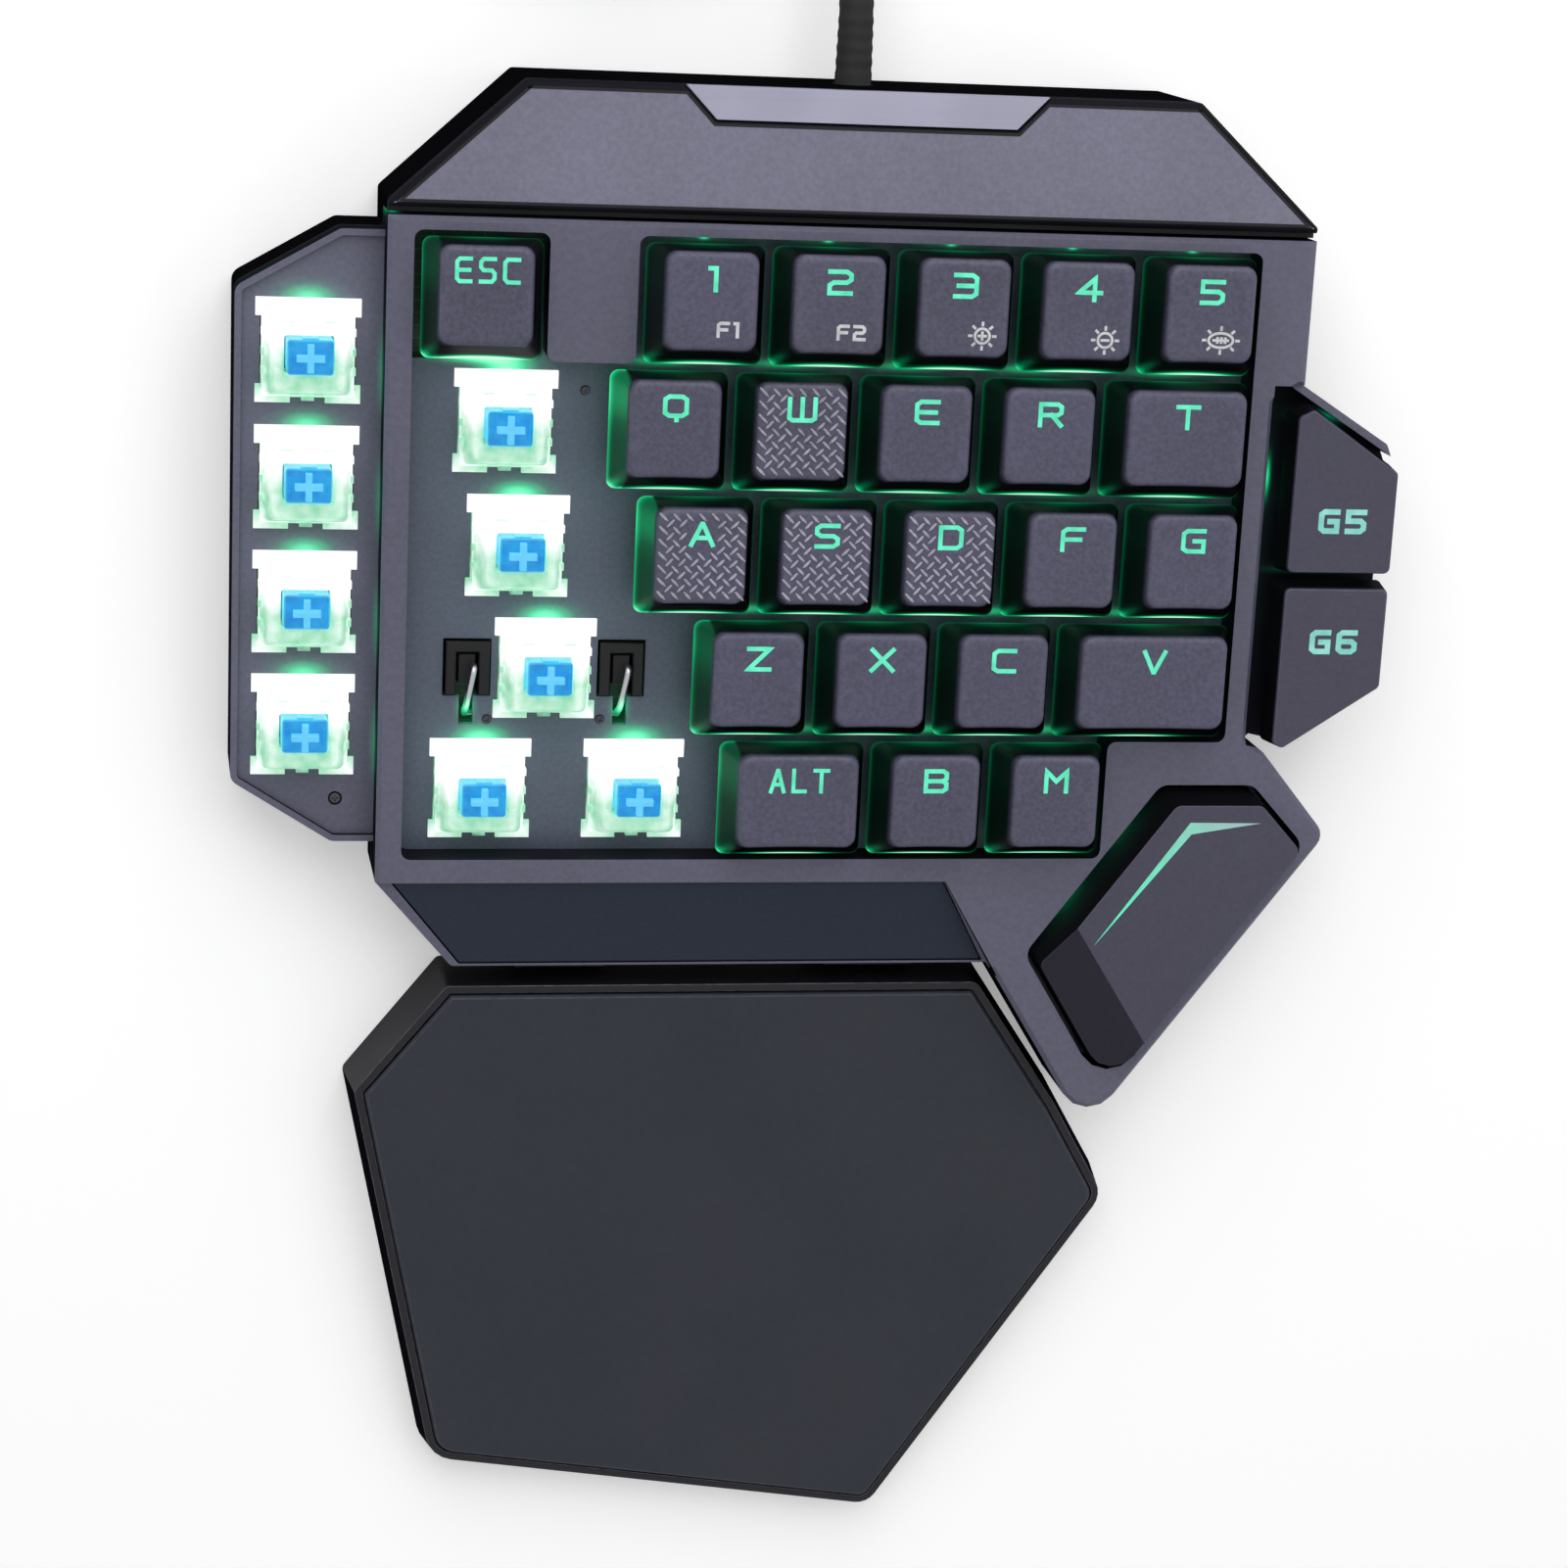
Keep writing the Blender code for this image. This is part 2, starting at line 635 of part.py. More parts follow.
def rear_corners():
    """The case's outline round its chamfered rear, from right to left."""
    return [
        (CASE_RIGHT, CASE_REAR - REAR_CHAMFER_Y), (CASE_RIGHT - REAR_CHAMFER_X, CASE_REAR),
        (CASE_LEFT + REAR_CHAMFER_X, CASE_REAR), (CASE_LEFT, CASE_REAR - REAR_CHAMFER_Y),
    ]


def case_outline():
    """Corners and radii of the whole case."""
    corners = rear_corners()
    radii = [SIDE_ROUND] * len(corners)
    corners += wing_corners(CASE_LEFT)
    radii += [0, WING_ROUND, WING_ROUND, WING_ROUND, WING_ROUND, 0]
    corners += left_front_corners()
    radii += [SIDE_ROUND, SIDE_ROUND]
    corners += thumb_corners()
    radii += [0, TIP_ROUND, THUMB_ROUND, 0]
    corners += gwing_corners()
    radii += [0, SIDE_ROUND, 0, SIDE_ROUND, 0]
    return corners, radii


def body_outline(rear_edge):
    """Corners and radii of the top cover's bezel, without the wings."""
    corners = [
        (CASE_RIGHT, rear_edge), (CASE_LEFT, rear_edge), *left_front_corners(),
        *thumb_corners(), (NOTCH_X, NOTCH_FRONT), (NOTCH_X, NOTCH_REAR),
        (CASE_RIGHT - SIDE_ROUND, NOTCH_REAR + NOTCH_SLANT), (CASE_RIGHT, NOTCH_REAR + NOTCH_SLANT),
    ]
    radii = [0, 0, SIDE_ROUND, SIDE_ROUND, 0, TIP_ROUND, THUMB_ROUND, 0, SIDE_ROUND, SIDE_ROUND, 0, 0]
    return corners, radii


def panel_corners():
    """The front panel's outline."""
    front = CASE_FRONT + PANEL_LIP
    return [
        (PANEL_RIGHT, APRON_REAR - SEAT), (PANEL_LEFT, APRON_REAR - SEAT),
        (PANEL_FRONT_LEFT, front), (PANEL_FRONT_RIGHT, front),
    ]


def apron_level(depth):
    """The front slope's plane, or one below it."""
    slope = (PANEL_REAR_TOP - PANEL_FRONT_TOP) / (APRON_REAR - CASE_FRONT)

    def at(y):
        return PANEL_REAR_TOP + (y - APRON_REAR) * slope - depth
    return at


def groove_rear():
    """The rear side of the groove behind the bezel."""
    return field_edge("rear", 1) + BEZEL_REAR_W + GROOVE_W


def make_top_cover(model):
    """The bezel with both wings, hollow from below, with the key opening and thumb well."""
    bezel_rear = field_edge("rear", 1) + BEZEL_REAR_W
    corners, radii = body_outline(bezel_rear)
    mesh = chamfer_top(slab("top_cover", rounded(corners, radii), PARTING, BEZEL_TOP),
                       BEZEL_TOP, BEZEL_EDGE)
    cover = model.piece("top_cover", mesh, "grey_cover")

    wing = rounded(wing_corners(CASE_LEFT + COVER_T / 2), [0] + [WING_ROUND] * 4 + [0])
    combine(cover, model.cutter("wing_block", slab("wing_block", wing, PARTING, WING_RIM)), "UNION")
    gwing = gwing_corners() + [(NOTCH_X - COVER_T / 2, GWING_REAR), (NOTCH_X - COVER_T / 2, NOTCH_FRONT)]
    gwing_rounds = [0, SIDE_ROUND, 0, SIDE_ROUND, 0, 0, 0]
    block = slab("gwing_block", rounded(gwing, gwing_rounds), PARTING, GWING_RIM_TOP)
    combine(cover, model.cutter("gwing_block", block), "UNION")

    hollow_cover(model, cover, corners, radii)
    cut_openings(model, cover)
    cut_wings(model, cover)
    cut_apron(model, cover)


def hollow_cover(model, cover, corners, radii):
    """Cuts the top cover's inside from below, leaving collars round the openings."""
    inner = [max(radius - COVER_T, 0) for radius in radii]
    low = PARTING - OVERRUN
    ceiling = BEZEL_TOP - COVER_T
    inside = rounded(grown(corners, -COVER_T), inner)
    cavity = model.cutter("cover_cavity", slab("cover_cavity", inside, low, ceiling))
    field = rounded(grown(field_corners(), SKIRT_T), [0] * len(field_corners()))
    collar = slab("field_collar", field, SEAT, BEZEL_TOP)
    combine(cavity, model.cutter("field_collar", collar), "DIFFERENCE")
    well = rounded(grown(well_corners(), SKIRT_T), [WELL_ROUND] * len(BAR_SHARES))
    collar = slab("well_collar", well, SEAT, BEZEL_TOP)
    combine(cavity, model.cutter("well_collar", collar), "DIFFERENCE")
    apron = [
        (PANEL_RIGHT + COVER_T, APRON_REAR + COVER_T), (CASE_LEFT - OVERRUN, APRON_REAR + COVER_T),
        (CASE_LEFT - OVERRUN, CASE_FRONT - OVERRUN), (FRONT_RIGHT + COVER_T, CASE_FRONT - OVERRUN),
    ]
    block = slab("apron_block", apron, low - OVERRUN, BEZEL_TOP)
    combine(cavity, model.cutter("apron_block", block), "DIFFERENCE")
    combine(cover, cavity, "DIFFERENCE")


def cut_openings(model, cover):
    """Cuts the key opening and the thumb well through the top cover."""
    corners = field_corners()
    field = rounded(corners, [FIELD_ROUND] * len(corners))
    low = -OVERRUN
    high = BEZEL_TOP + OVERRUN
    combine(cover, model.cutter("field_opening", slab("field_opening", field, low, high)), "DIFFERENCE")
    radii = [WELL_ROUND, WELL_ROUND, WELL_TIP_ROUND, WELL_ROUND, WELL_ROUND]
    well = slab("thumb_well", rounded(well_corners(), radii), low, high)
    combine(cover, model.cutter("thumb_well", well), "DIFFERENCE")


def cut_wings(model, cover):
    """Cuts the wings' decks, insides and switch openings."""
    low = PARTING - OVERRUN
    inner = CASE_LEFT + COVER_T / 2
    corners = wing_corners(inner)
    deck_edges = [-WING_RIM] * len(corners)
    deck_edges[-1] = -COVER_T / 2
    deck = rounded(grown(corners, deck_edges), [0] + [WING_ROUND - WING_RIM] * 4 + [0])
    high = BEZEL_TOP + OVERRUN
    combine(cover, model.cutter("wing_deck", slab("wing_deck", deck, 0, high)), "DIFFERENCE")
    hollow = rounded(grown(corners, -COVER_T), [0] * len(corners))
    mesh = slab("wing_hollow", hollow, low, -PLATE_T)
    combine(cover, model.cutter("wing_hollow", mesh), "DIFFERENCE")

    gwing = gwing_corners() + [(NOTCH_X, GWING_REAR), (NOTCH_X, NOTCH_FRONT)]
    floor_edges = [OVERRUN, OVERRUN, OVERRUN, -GWING_RIM_W, 0, 0, OVERRUN]
    floor = slab("gwing_floor", grown(gwing, floor_edges), 0, BEZEL_TOP + OVERRUN)
    combine(cover, model.cutter("gwing_floor", floor), "DIFFERENCE")
    hollow = slab("gwing_hollow", grown(gwing, -COVER_T), low, -PLATE_T)
    combine(cover, model.cutter("gwing_hollow", hollow), "DIFFERENCE")

    holes = [(place, HOUSING_W) for name, place in bare_places() if name in WING_KEYS]
    holes += [(G5_SWITCH, LOW_HOUSING_W), (G6_SWITCH, LOW_HOUSING_W)]
    for index, ((x, y), housing) in enumerate(holes):
        name = f"wing_hole_{index}"
        width = housing + 2 * SEAT
        mesh = slab(name, rectangle(width, width, x, y), low, OVERRUN)
        combine(cover, model.cutter(name, mesh), "DIFFERENCE")
    x, y = WING_SCREW
    mesh = cylinder("screw_hole", SCREW_HOLE_R, (x, y, -SCREW_HOLE_DEPTH), (x, y, OVERRUN))
    combine(cover, model.cutter("screw_hole", mesh), "DIFFERENCE")


def cut_apron(model, cover):
    """Cuts the front slope, the front panel's pocket and the space under it."""
    slant = (FRONT_RIGHT - PANEL_RIGHT) / (APRON_REAR - CASE_FRONT)
    far = CASE_FRONT - OVERRUN
    slope = [
        (PANEL_RIGHT + SEAT, APRON_REAR), (CASE_LEFT - OVERRUN, APRON_REAR),
        (CASE_LEFT - OVERRUN, far), (PANEL_RIGHT + SEAT + (APRON_REAR - far) * slant, far),
    ]
    mesh = slab("apron_slope", slope, apron_level(0), BEZEL_TOP + OVERRUN)
    combine(cover, model.cutter("apron_slope", mesh), "DIFFERENCE")
    pocket = grown(panel_corners(), SEAT)
    mesh = slab("panel_pocket", pocket, apron_level(PANEL_T + SEAT), BEZEL_TOP + OVERRUN)
    combine(cover, model.cutter("panel_pocket", mesh), "DIFFERENCE")
    hollow = grown(panel_corners(), [-COVER_T] * 4)
    mesh = slab("apron_hollow", hollow, PARTING - OVERRUN, apron_level(PANEL_T + SEAT + FLOOR_T))
    combine(cover, model.cutter("apron_hollow", mesh), "DIFFERENCE")


def make_front_panel(model):
    """The dark sloped plate between the keys and the wrist rest."""
    mesh = slab("front_panel", panel_corners(), apron_level(PANEL_T), apron_level(0))
    model.piece("front_panel", mesh, "slate_panel")


def badge_corners():
    """The silver insert's outline, widest at the rear edge."""
    return [
        (BADGE_RIGHT, CASE_REAR), (BADGE_LEFT, CASE_REAR),
        (BADGE_LEFT + BADGE_SLANT_X, CASE_REAR - BADGE_DEPTH),
        (BADGE_RIGHT - BADGE_SLANT_X, CASE_REAR - BADGE_DEPTH),
    ]


def make_rear_panel(model):
    """The lighter panel behind the groove and the bare silver insert in its rear edge."""
    front = groove_rear()
    corners = [(CASE_RIGHT, front), *rear_corners(), (CASE_LEFT, front)]
    radii = [0, 0, SIDE_ROUND, SIDE_ROUND, 0, 0]
    low = BEZEL_TOP - COVER_T
    mesh = chamfer_top(slab("rear_panel", rounded(corners, radii), low, BEZEL_TOP),
                       BEZEL_TOP, BEZEL_EDGE)
    panel = model.piece("rear_panel", mesh, "light_panel")
    badge = badge_corners()
    badge_low = BEZEL_TOP - BADGE_DROP - BADGE_T
    pocket = grown(badge, [OVERRUN, SEAT, SEAT, SEAT])
    mesh = slab("badge_pocket", pocket, badge_low - SEAT, BEZEL_TOP + OVERRUN)
    combine(panel, model.cutter("badge_pocket", mesh), "DIFFERENCE")
    mesh = slab("rear_badge", badge, badge_low, BEZEL_TOP - BADGE_DROP)
    model.piece("rear_badge", mesh, "silver")


def make_bottom_cover(model):
    """The black tray: floor, walls, the raised rear with the cord's outlet, and posts."""
    corners, radii = case_outline()
    underside = under_deck(FOOT_T + SEAT)
    floor = under_deck(FOOT_T + SEAT + FLOOR_T)
    rim = PARTING - SEAT
    cover = model.piece("bottom_cover", slab("bottom_cover", rounded(corners, radii), underside, rim),
                        "black_shell")
    wall_front = groove_rear() - GROOVE_W + SEAT
    tower = [(CASE_RIGHT, wall_front), *rear_corners(), (CASE_LEFT, wall_front)]
    tower_radii = [0] + [SIDE_ROUND] * (len(tower) - 2) + [0]
    tower_top = BEZEL_TOP - COVER_T - SEAT
    mesh = slab("rear_block", rounded(tower, tower_radii), rim - OVERRUN, tower_top)
    combine(cover, model.cutter("rear_block", mesh), "UNION")

    inner_radii = [max(radius - COVER_T, 0) for radius in radii]
    inside = rounded(grown(corners, -COVER_T), inner_radii)
    cavity = model.cutter("tray_cavity", slab("tray_cavity", inside, floor, BEZEL_TOP))
    wall = box("rear_wall", (CASE_LEFT - OVERRUN, CASE_RIGHT + OVERRUN),
               (wall_front, wall_front + COVER_T), (under_deck(0)(CASE_REAR), 2 * BEZEL_TOP))
    combine(cavity, model.cutter("rear_wall", wall), "DIFFERENCE")
    combine(cover, cavity, "DIFFERENCE")

    tab_low = FOOT_T + SEAT + FLOOR_T + SEAT
    for index, x in enumerate(TAB_X):
        name = f"tab_slot_{index}"
        outline = rectangle(TAB_W + 2 * SEAT, 2 * (COVER_T + OVERRUN), x, CASE_FRONT)
        mesh = slab(name, outline, under_deck(tab_low - SEAT - TAB_SLOT_SINK),
                    under_deck(tab_low + TAB_T + SEAT))
        combine(cover, model.cutter(name, mesh), "DIFFERENCE")
    outlet = cylinder("outlet", RELIEF_D / 2 + SEAT, (CORD_X, CASE_REAR - COVER_T - OVERRUN, CORD_Z),
                      (CORD_X, CASE_REAR + OVERRUN, CORD_Z))
    combine(cover, model.cutter("outlet", outlet), "DIFFERENCE")

    post_top = BOARD_TOP - BOARD_T - SEAT
    for index, shares in enumerate(POST_SHARES):
        x, y = key_place(*shares)
        name = f"board_post_{index}"
        post = cylinder(name, POST_R, (x, y, floor(y) - FLOOR_T / 2), (x, y, post_top), ROUND_SIDES // 2)
        combine(cover, model.cutter(name, post), "UNION")


def make_plate(model):
    """The plate that the switches snap into, cut back round the ESC key."""
    rear = field_edge("rear", 1) + BEZEL_REAR_W - COVER_T - SEAT
    left = field_edge("left", -1)
    right = field_edge("right", 1) + PLATE_MARGIN
    front = field_edge("front", -1) - PLATE_MARGIN
    esc_x, esc_y = key_place(KEY_SHARES[0][1], KEY_SHARES[0][2])
    esc_right = esc_x + PITCH / 2 + FIELD_MARGIN
    esc_front = esc_y - PITCH / 2 - FIELD_MARGIN
    tongue_edges = [PLATE_MARGIN, PLATE_MARGIN, -TONGUE_INSET, -TONGUE_INSET, PLATE_MARGIN]
    tongue = grown(well_corners(), tongue_edges)
    corners = [
        (right, rear), (esc_right, rear), (esc_right, esc_front), (left, esc_front),
        (left - PLATE_MARGIN, esc_front - PLATE_MARGIN), (left - PLATE_MARGIN, front),
        (FRONT_RIGHT, front), *tongue[1:4], (right, field_edge("v_front", -1) - PLATE_MARGIN),
    ]
    radii = [0, 0, FIELD_ROUND, 0, 0, 0, 0, 0, WELL_TIP_ROUND, 0, 0]
    mesh = slab("switch_plate", rounded(corners, radii), -PLATE_T, 0)
    plate = model.piece("switch_plate", mesh, "plate")

    low = -PLATE_T - OVERRUN
    places = [key_place(column, row) for name, column, row, _ in KEY_SHARES if name != "esc"]
    places += [place for name, place in bare_places() if name not in WING_KEYS]
    half = HOUSING_W / 2 + SEAT
    holes = [((x - half, x + half), (y - half, y + half), (low, OVERRUN)) for x, y in places]
    combine(plate, model.cutter("switch_holes", boxes("switch_holes", holes)), "DIFFERENCE")
    bar_hole = LOW_HOUSING_W + 2 * SEAT
    outline = turned(rectangle(bar_hole, bar_hole), BAR_TURN, in_bar([BAR_SWITCH_SHARES])[0])
    combine(plate, model.cutter("bar_hole", slab("bar_hole", outline, low, OVERRUN)), "DIFFERENCE")

    half_x = STAB_W / 2 + SEAT
    half_y = STAB_D / 2 + SEAT
    notch = STAB_WIRE_R + SEAT
    for index, (x, y) in enumerate(stabiliser_places()):
        name = f"stabiliser_hole_{index}"
        mesh = box(name, (x - half_x, x + half_x), (y - half_y, y + half_y), (low, OVERRUN))
        combine(plate, model.cutter(name, mesh), "DIFFERENCE")
        name = f"wire_notch_{index}"
        mesh = box(name, (x - notch, x + notch), (y - STAB_WIRE_REACH - notch, y), (low, OVERRUN))
        combine(plate, model.cutter(name, mesh), "DIFFERENCE")


def bare_housing_mesh(model):
    """A bare switch's housing: body, notched flange, tapered top and the stem's well."""
    low = BOARD_TOP + SEAT
    flange_top = SEAT + FLANGE_T
    foot = rectangle(HOUSING_W, HOUSING_W)
    head = grown(foot, -HOUSING_DRAW)
    rings = [(foot, low), (foot, flange_top), (head, HOUSING_TOP)]
    body = model.cutter("housing", loft("housing", rings))
    flange = slab("flange", grown(foot, FLANGE_OUT), SEAT, flange_top)
    combine(body, model.cutter("flange", flange), "UNION")
    reach = HOUSING_W / 2 + FLANGE_OUT - FLANGE_NOTCH_W
    for side in (-1, 1):
        name = f"flange_notch_{side}"
        notch = rectangle(2 * FLANGE_NOTCH_W, FLANGE_NOTCH_L, side * (reach + FLANGE_NOTCH_W))
        mesh = slab(name, notch, 0, flange_top + OVERRUN)
        combine(body, model.cutter(name, mesh), "DIFFERENCE")
    well_w = STEM_W + 2 * STEM_GAP
    well_d = STEM_D + 2 * STEM_GAP
    bottom = STEM_FOOT - TRAVEL - HOUSING_FLOOR + SEAT
    well = slab("stem_well", rectangle(well_w, well_d), bottom, HOUSING_TOP + OVERRUN)
    combine(body, model.cutter("stem_well", well), "DIFFERENCE")
    return bake(body)


def bare_stem_mesh(model):
    """A bare switch's stem: block and cross."""
    block = slab("stem", rectangle(STEM_W, STEM_D), STEM_FOOT, STEM_HEAD)
    stem = model.cutter("stem", block)
    for name, size in (("cross_x", (CROSS_L, CROSS_T)), ("cross_y", (CROSS_T, CROSS_L))):
        arm = slab(name, rectangle(*size), STEM_HEAD - OVERRUN, STEM_TOP)
        combine(stem, model.cutter(name, arm), "UNION")
    return bake(stem)


def make_bare_switches(model):
    """The nine switches without caps: clear housings and blue stems."""
    housing = bare_housing_mesh(model)
    stem = bare_stem_mesh(model)
    for name, (x, y) in bare_places():
        model.piece("switch_" + name, housing, "clear_housing", (x, y, 0))
        model.piece("stem_" + name, stem, "blue_stem", (x, y, 0))


def cap_mesh(model, width):
    """A keycap with its stem, for a key of a width in pitches."""
    foot_x = width * PITCH - CAP_GAP
    foot_y = PITCH - CAP_GAP
    top_x = foot_x - CAP_DRAW_X
    top_y = foot_y - CAP_DRAW_Y
    rounds = [CAP_ROUND] * 4
    shoulder = CAP_TOP - CAP_EDGE
    rings = [
        (rounded(rectangle(foot_x, foot_y), rounds, CAP_ARC_STEPS), CAP_FOOT),
        (rounded(rectangle(top_x, top_y, 0, CAP_SHIFT), rounds, CAP_ARC_STEPS), shoulder),
        (rounded(rectangle(top_x - CAP_EDGE, top_y - CAP_EDGE, 0, CAP_SHIFT), rounds, CAP_ARC_STEPS),
         CAP_TOP),
    ]
    label = f"cap_{width}"
    cap = model.cutter(label, loft(label, rings))
    ceiling = CAP_TOP - CAP_CEILING
    share = (ceiling - CAP_FOOT) / (shoulder - CAP_FOOT)
    low = CAP_FOOT - OVERRUN
    inner = [
        (rectangle(foot_x - 2 * CAP_WALL, foot_y - 2 * CAP_WALL), low),
        (rectangle(foot_x - CAP_DRAW_X * share - 2 * CAP_WALL,
                   foot_y - CAP_DRAW_Y * share - 2 * CAP_WALL, 0, CAP_SHIFT * share), ceiling),
    ]
    combine(cap, model.cutter(label + "_inside", loft(label + "_inside", inner)), "DIFFERENCE")
    shaft = slab(label + "_stem", rectangle(STEM_SHAFT, STEM_SHAFT), STEM_FOOT, ceiling + CAP_EDGE)
    combine(cap, model.cutter(label + "_stem", shaft), "UNION")
    return bake(cap)


def make_caps(model):
    """The keys with caps, which share one mesh for each width."""
    meshes = {}
    for name, column, row, width in KEY_SHARES:
        if width not in meshes:
            meshes[width] = cap_mesh(model, width)
        x, y = key_place(column, row)
        model.piece("key_" + name, meshes[width], "cap", (x, y, 0))


def big_key(model, name, top, foot, rounds, centre, turn=0, crease=None):
    """A large key: a tapered shell with a shaft, its origin on its switch's axis."""
    def local(corners):
        return [(x - centre[0], y - centre[1]) for x, y in corners]

    rings = [
        (rounded(local(foot), rounds), BIG_FOOT),
        (rounded(local(top), rounds), BIG_TOP - BIG_EDGE),
        (rounded(local(grown(top, -BIG_EDGE / 2)), rounds), BIG_TOP),
    ]
    mesh = loft(name, rings)
    if crease:
        slope_end(mesh, local(crease))
    key = model.piece(name, mesh, "cap", (*centre, 0))
    ceiling = BIG_TOP - BIG_CEILING
    thin = grown(top, -BIG_WALL)
    inside = slab(name + "_inside", local(thin), BIG_FOOT - OVERRUN, ceiling)
    combine(key, model.cutter(name + "_inside", inside, (*centre, 0)), "DIFFERENCE")
    square = turned(rectangle(STEM_SHAFT, STEM_SHAFT), turn)
    shaft = slab(name + "_stem", square, LOW_STEM_FOOT, ceiling + BIG_EDGE)
    combine(key, model.cutter(name + "_stem", shaft, (*centre, 0)), "UNION")


def slope_end(mesh, crease):
    """Slopes a key's end down beyond a crease in its top face."""
    start = Vector((*crease[0], BIG_TOP))
    along = (Vector((*crease[1], BIG_TOP)) - start).normalized()
    out = along.cross(Vector((0, 0, 1))).normalized()
    normal = (Vector((0, 0, 1)) * math.cos(CREASE_TILT) + out * math.sin(CREASE_TILT))
    work = bmesh.new()
    work.from_mesh(mesh)
    cut = bmesh.ops.bisect_plane(work, geom=work.verts[:] + work.edges[:] + work.faces[:],
                                 plane_co=start, plane_no=normal, clear_outer=True, dist=EPS)
    rim = [item for item in cut["geom_cut"] if isinstance(item, bmesh.types.BMEdge)]
    bmesh.ops.holes_fill(work, edges=rim)
    bmesh.ops.recalc_face_normals(work, faces=work.faces)
    work.to_mesh(mesh)
    work.free()


def make_big_keys(model):
    """G5, G6 and the thumb bar."""
    g5 = [
        G_REAR, (G_LEFT, G_REAR_SIDE), (G_LEFT, G_SPLIT + G_SPLIT_W / 2),
        (G_RIGHT, G_SPLIT + G_SPLIT_W / 2), (G_RIGHT, G_REAR_RIGHT),
    ]
    g6 = [
        (G_RIGHT, G_SPLIT - G_SPLIT_W / 2), (G_LEFT, G_SPLIT - G_SPLIT_W / 2),
        (G_LEFT, G_FRONT_SIDE), G_FRONT, (G_RIGHT, G_FRONT_RIGHT),
    ]
    rounds = [BIG_ROUND] * 5
    big_key(model, "key_g5", g5, grown(g5, BIG_FLARE), rounds, G5_SWITCH)
    big_key(model, "key_g6", g6, grown(g6, BIG_FLARE), rounds, G6_SWITCH)
    rounds = [BAR_ROUND, BAR_ROUND, BAR_TIP_ROUND, BAR_ROUND, BAR_ROUND]
    foot = grown(well_corners(), -BAR_GAP)
    centre = in_bar([BAR_SWITCH_SHARES])[0]
    big_key(model, "thumb_bar", in_bar(BAR_SHARES), foot, rounds, centre, BAR_TURN, in_bar(CREASE_SHARES))


def make_board(model):
    """The circuit board with the covered switches' housings soldered to it."""
    corners, radii = case_outline()
    inner = [max(radius - BOARD_INSET, 0) for radius in radii]
    outline = rounded(grown(corners, -BOARD_INSET), inner)
    board = model.piece("circuit_board",
                        slab("circuit_board", outline, BOARD_TOP - BOARD_T, BOARD_TOP), "board")
    rear = groove_rear() - GROOVE_W + SEAT
    trim = box("board_trim", (CASE_LEFT - OVERRUN, CASE_RIGHT + OVERRUN),
               (rear - SEAT, CASE_REAR + OVERRUN), (2 * BOARD_TOP, 0))
    combine(board, model.cutter("board_trim", trim), "DIFFERENCE")

    for name, column, row, _ in KEY_SHARES:
        place = key_place(column, row)
        add_housing(model, board, name, place, HOUSING_W, HOUSING_TOP, STEM_FOOT - TRAVEL)
    pressed = LOW_STEM_FOOT - BIG_TRAVEL
    bar = in_bar([BAR_SWITCH_SHARES])[0]
    for name, place, turn in (("g5", G5_SWITCH, 0), ("g6", G6_SWITCH, 0), ("bar", bar, BAR_TURN)):
        add_housing(model, board, name, place, LOW_HOUSING_W, LOW_HOUSING_TOP, pressed, turn)


def add_housing(model, board, name, place, width, top, pressed, turn=0):
    """Joins a covered switch's housing, a tapered box with a well, to the board."""
    root = BOARD_TOP - BOARD_T / 2
    foot = turned(rectangle(width, width), turn)
    head = grown(foot, -HOUSING_DRAW * top / HOUSING_TOP)
    rings = [(foot, root), (foot, SEAT), (head, top)]
    body = model.cutter(f"housing_{name}", loft(f"housing_{name}", rings), (*place, 0))
    well = STEM_SHAFT + 2 * STEM_GAP
    outline = turned(rectangle(well, well), turn)
    mesh = slab(f"well_{name}", outline, pressed - HOUSING_FLOOR, top + OVERRUN)
    combine(body, model.cutter(f"well_{name}", mesh, (*place, 0)), "DIFFERENCE")
    combine(board, body, "UNION")


def stabiliser_places():
    """Centres of the Shift key's two stabiliser housings."""
    _, column, row = BARE_SHARES[2]
    x, y = key_place(column, row)
    return [(x - STAB_SPREAD / 2, y - STAB_FORE), (x + STAB_SPREAD / 2, y - STAB_FORE)]


def make_stabiliser(model):
    """The Shift key's stabiliser: two housings and the bent wire that links them."""
    low = BOARD_TOP + SEAT
    (left, y), (right, _) = stabiliser_places()
    mesh = box("shift_stabiliser", (left - STAB_W / 2, left + STAB_W / 2),
               (y - STAB_D / 2, y + STAB_D / 2), (low, STAB_TOP))
    stabiliser = model.piece("shift_stabiliser", mesh, "black_shell")
    mesh = box("stabiliser_right", (right - STAB_W / 2, right + STAB_W / 2),
               (y - STAB_D / 2, y + STAB_D / 2), (low, STAB_TOP))
    combine(stabiliser, model.cutter("stabiliser_right", mesh), "UNION")
    front = y - STAB_WIRE_REACH
    knee = STAB_TOP + STAB_WIRE_R
    points = [
        (left, y, STAB_WIRE_TOP), (left, y - STAB_WIRE_KNEE, knee), (left, front, -STAB_WIRE_R),
        (left, front, STAB_WIRE_BAR), (right, front, STAB_WIRE_BAR), (right, front, -STAB_WIRE_R),
        (right, y - STAB_WIRE_KNEE, knee), (right, y, STAB_WIRE_TOP),
    ]
    wire = tube("stabiliser_wire", points, STAB_WIRE_R, 1)
    combine(stabiliser, model.cutter("stabiliser_wire", wire), "UNION")
    for index, x in enumerate((left, right)):
        peg = cylinder(f"wire_peg_{index}", STAB_WIRE_R, (x, y, 0), (x, y, STAB_WIRE_TOP + STAB_WIRE_R),
                       ROUND_SIDES // 2)
        combine(stabiliser, model.cutter(f"wire_peg_{index}", peg), "UNION")


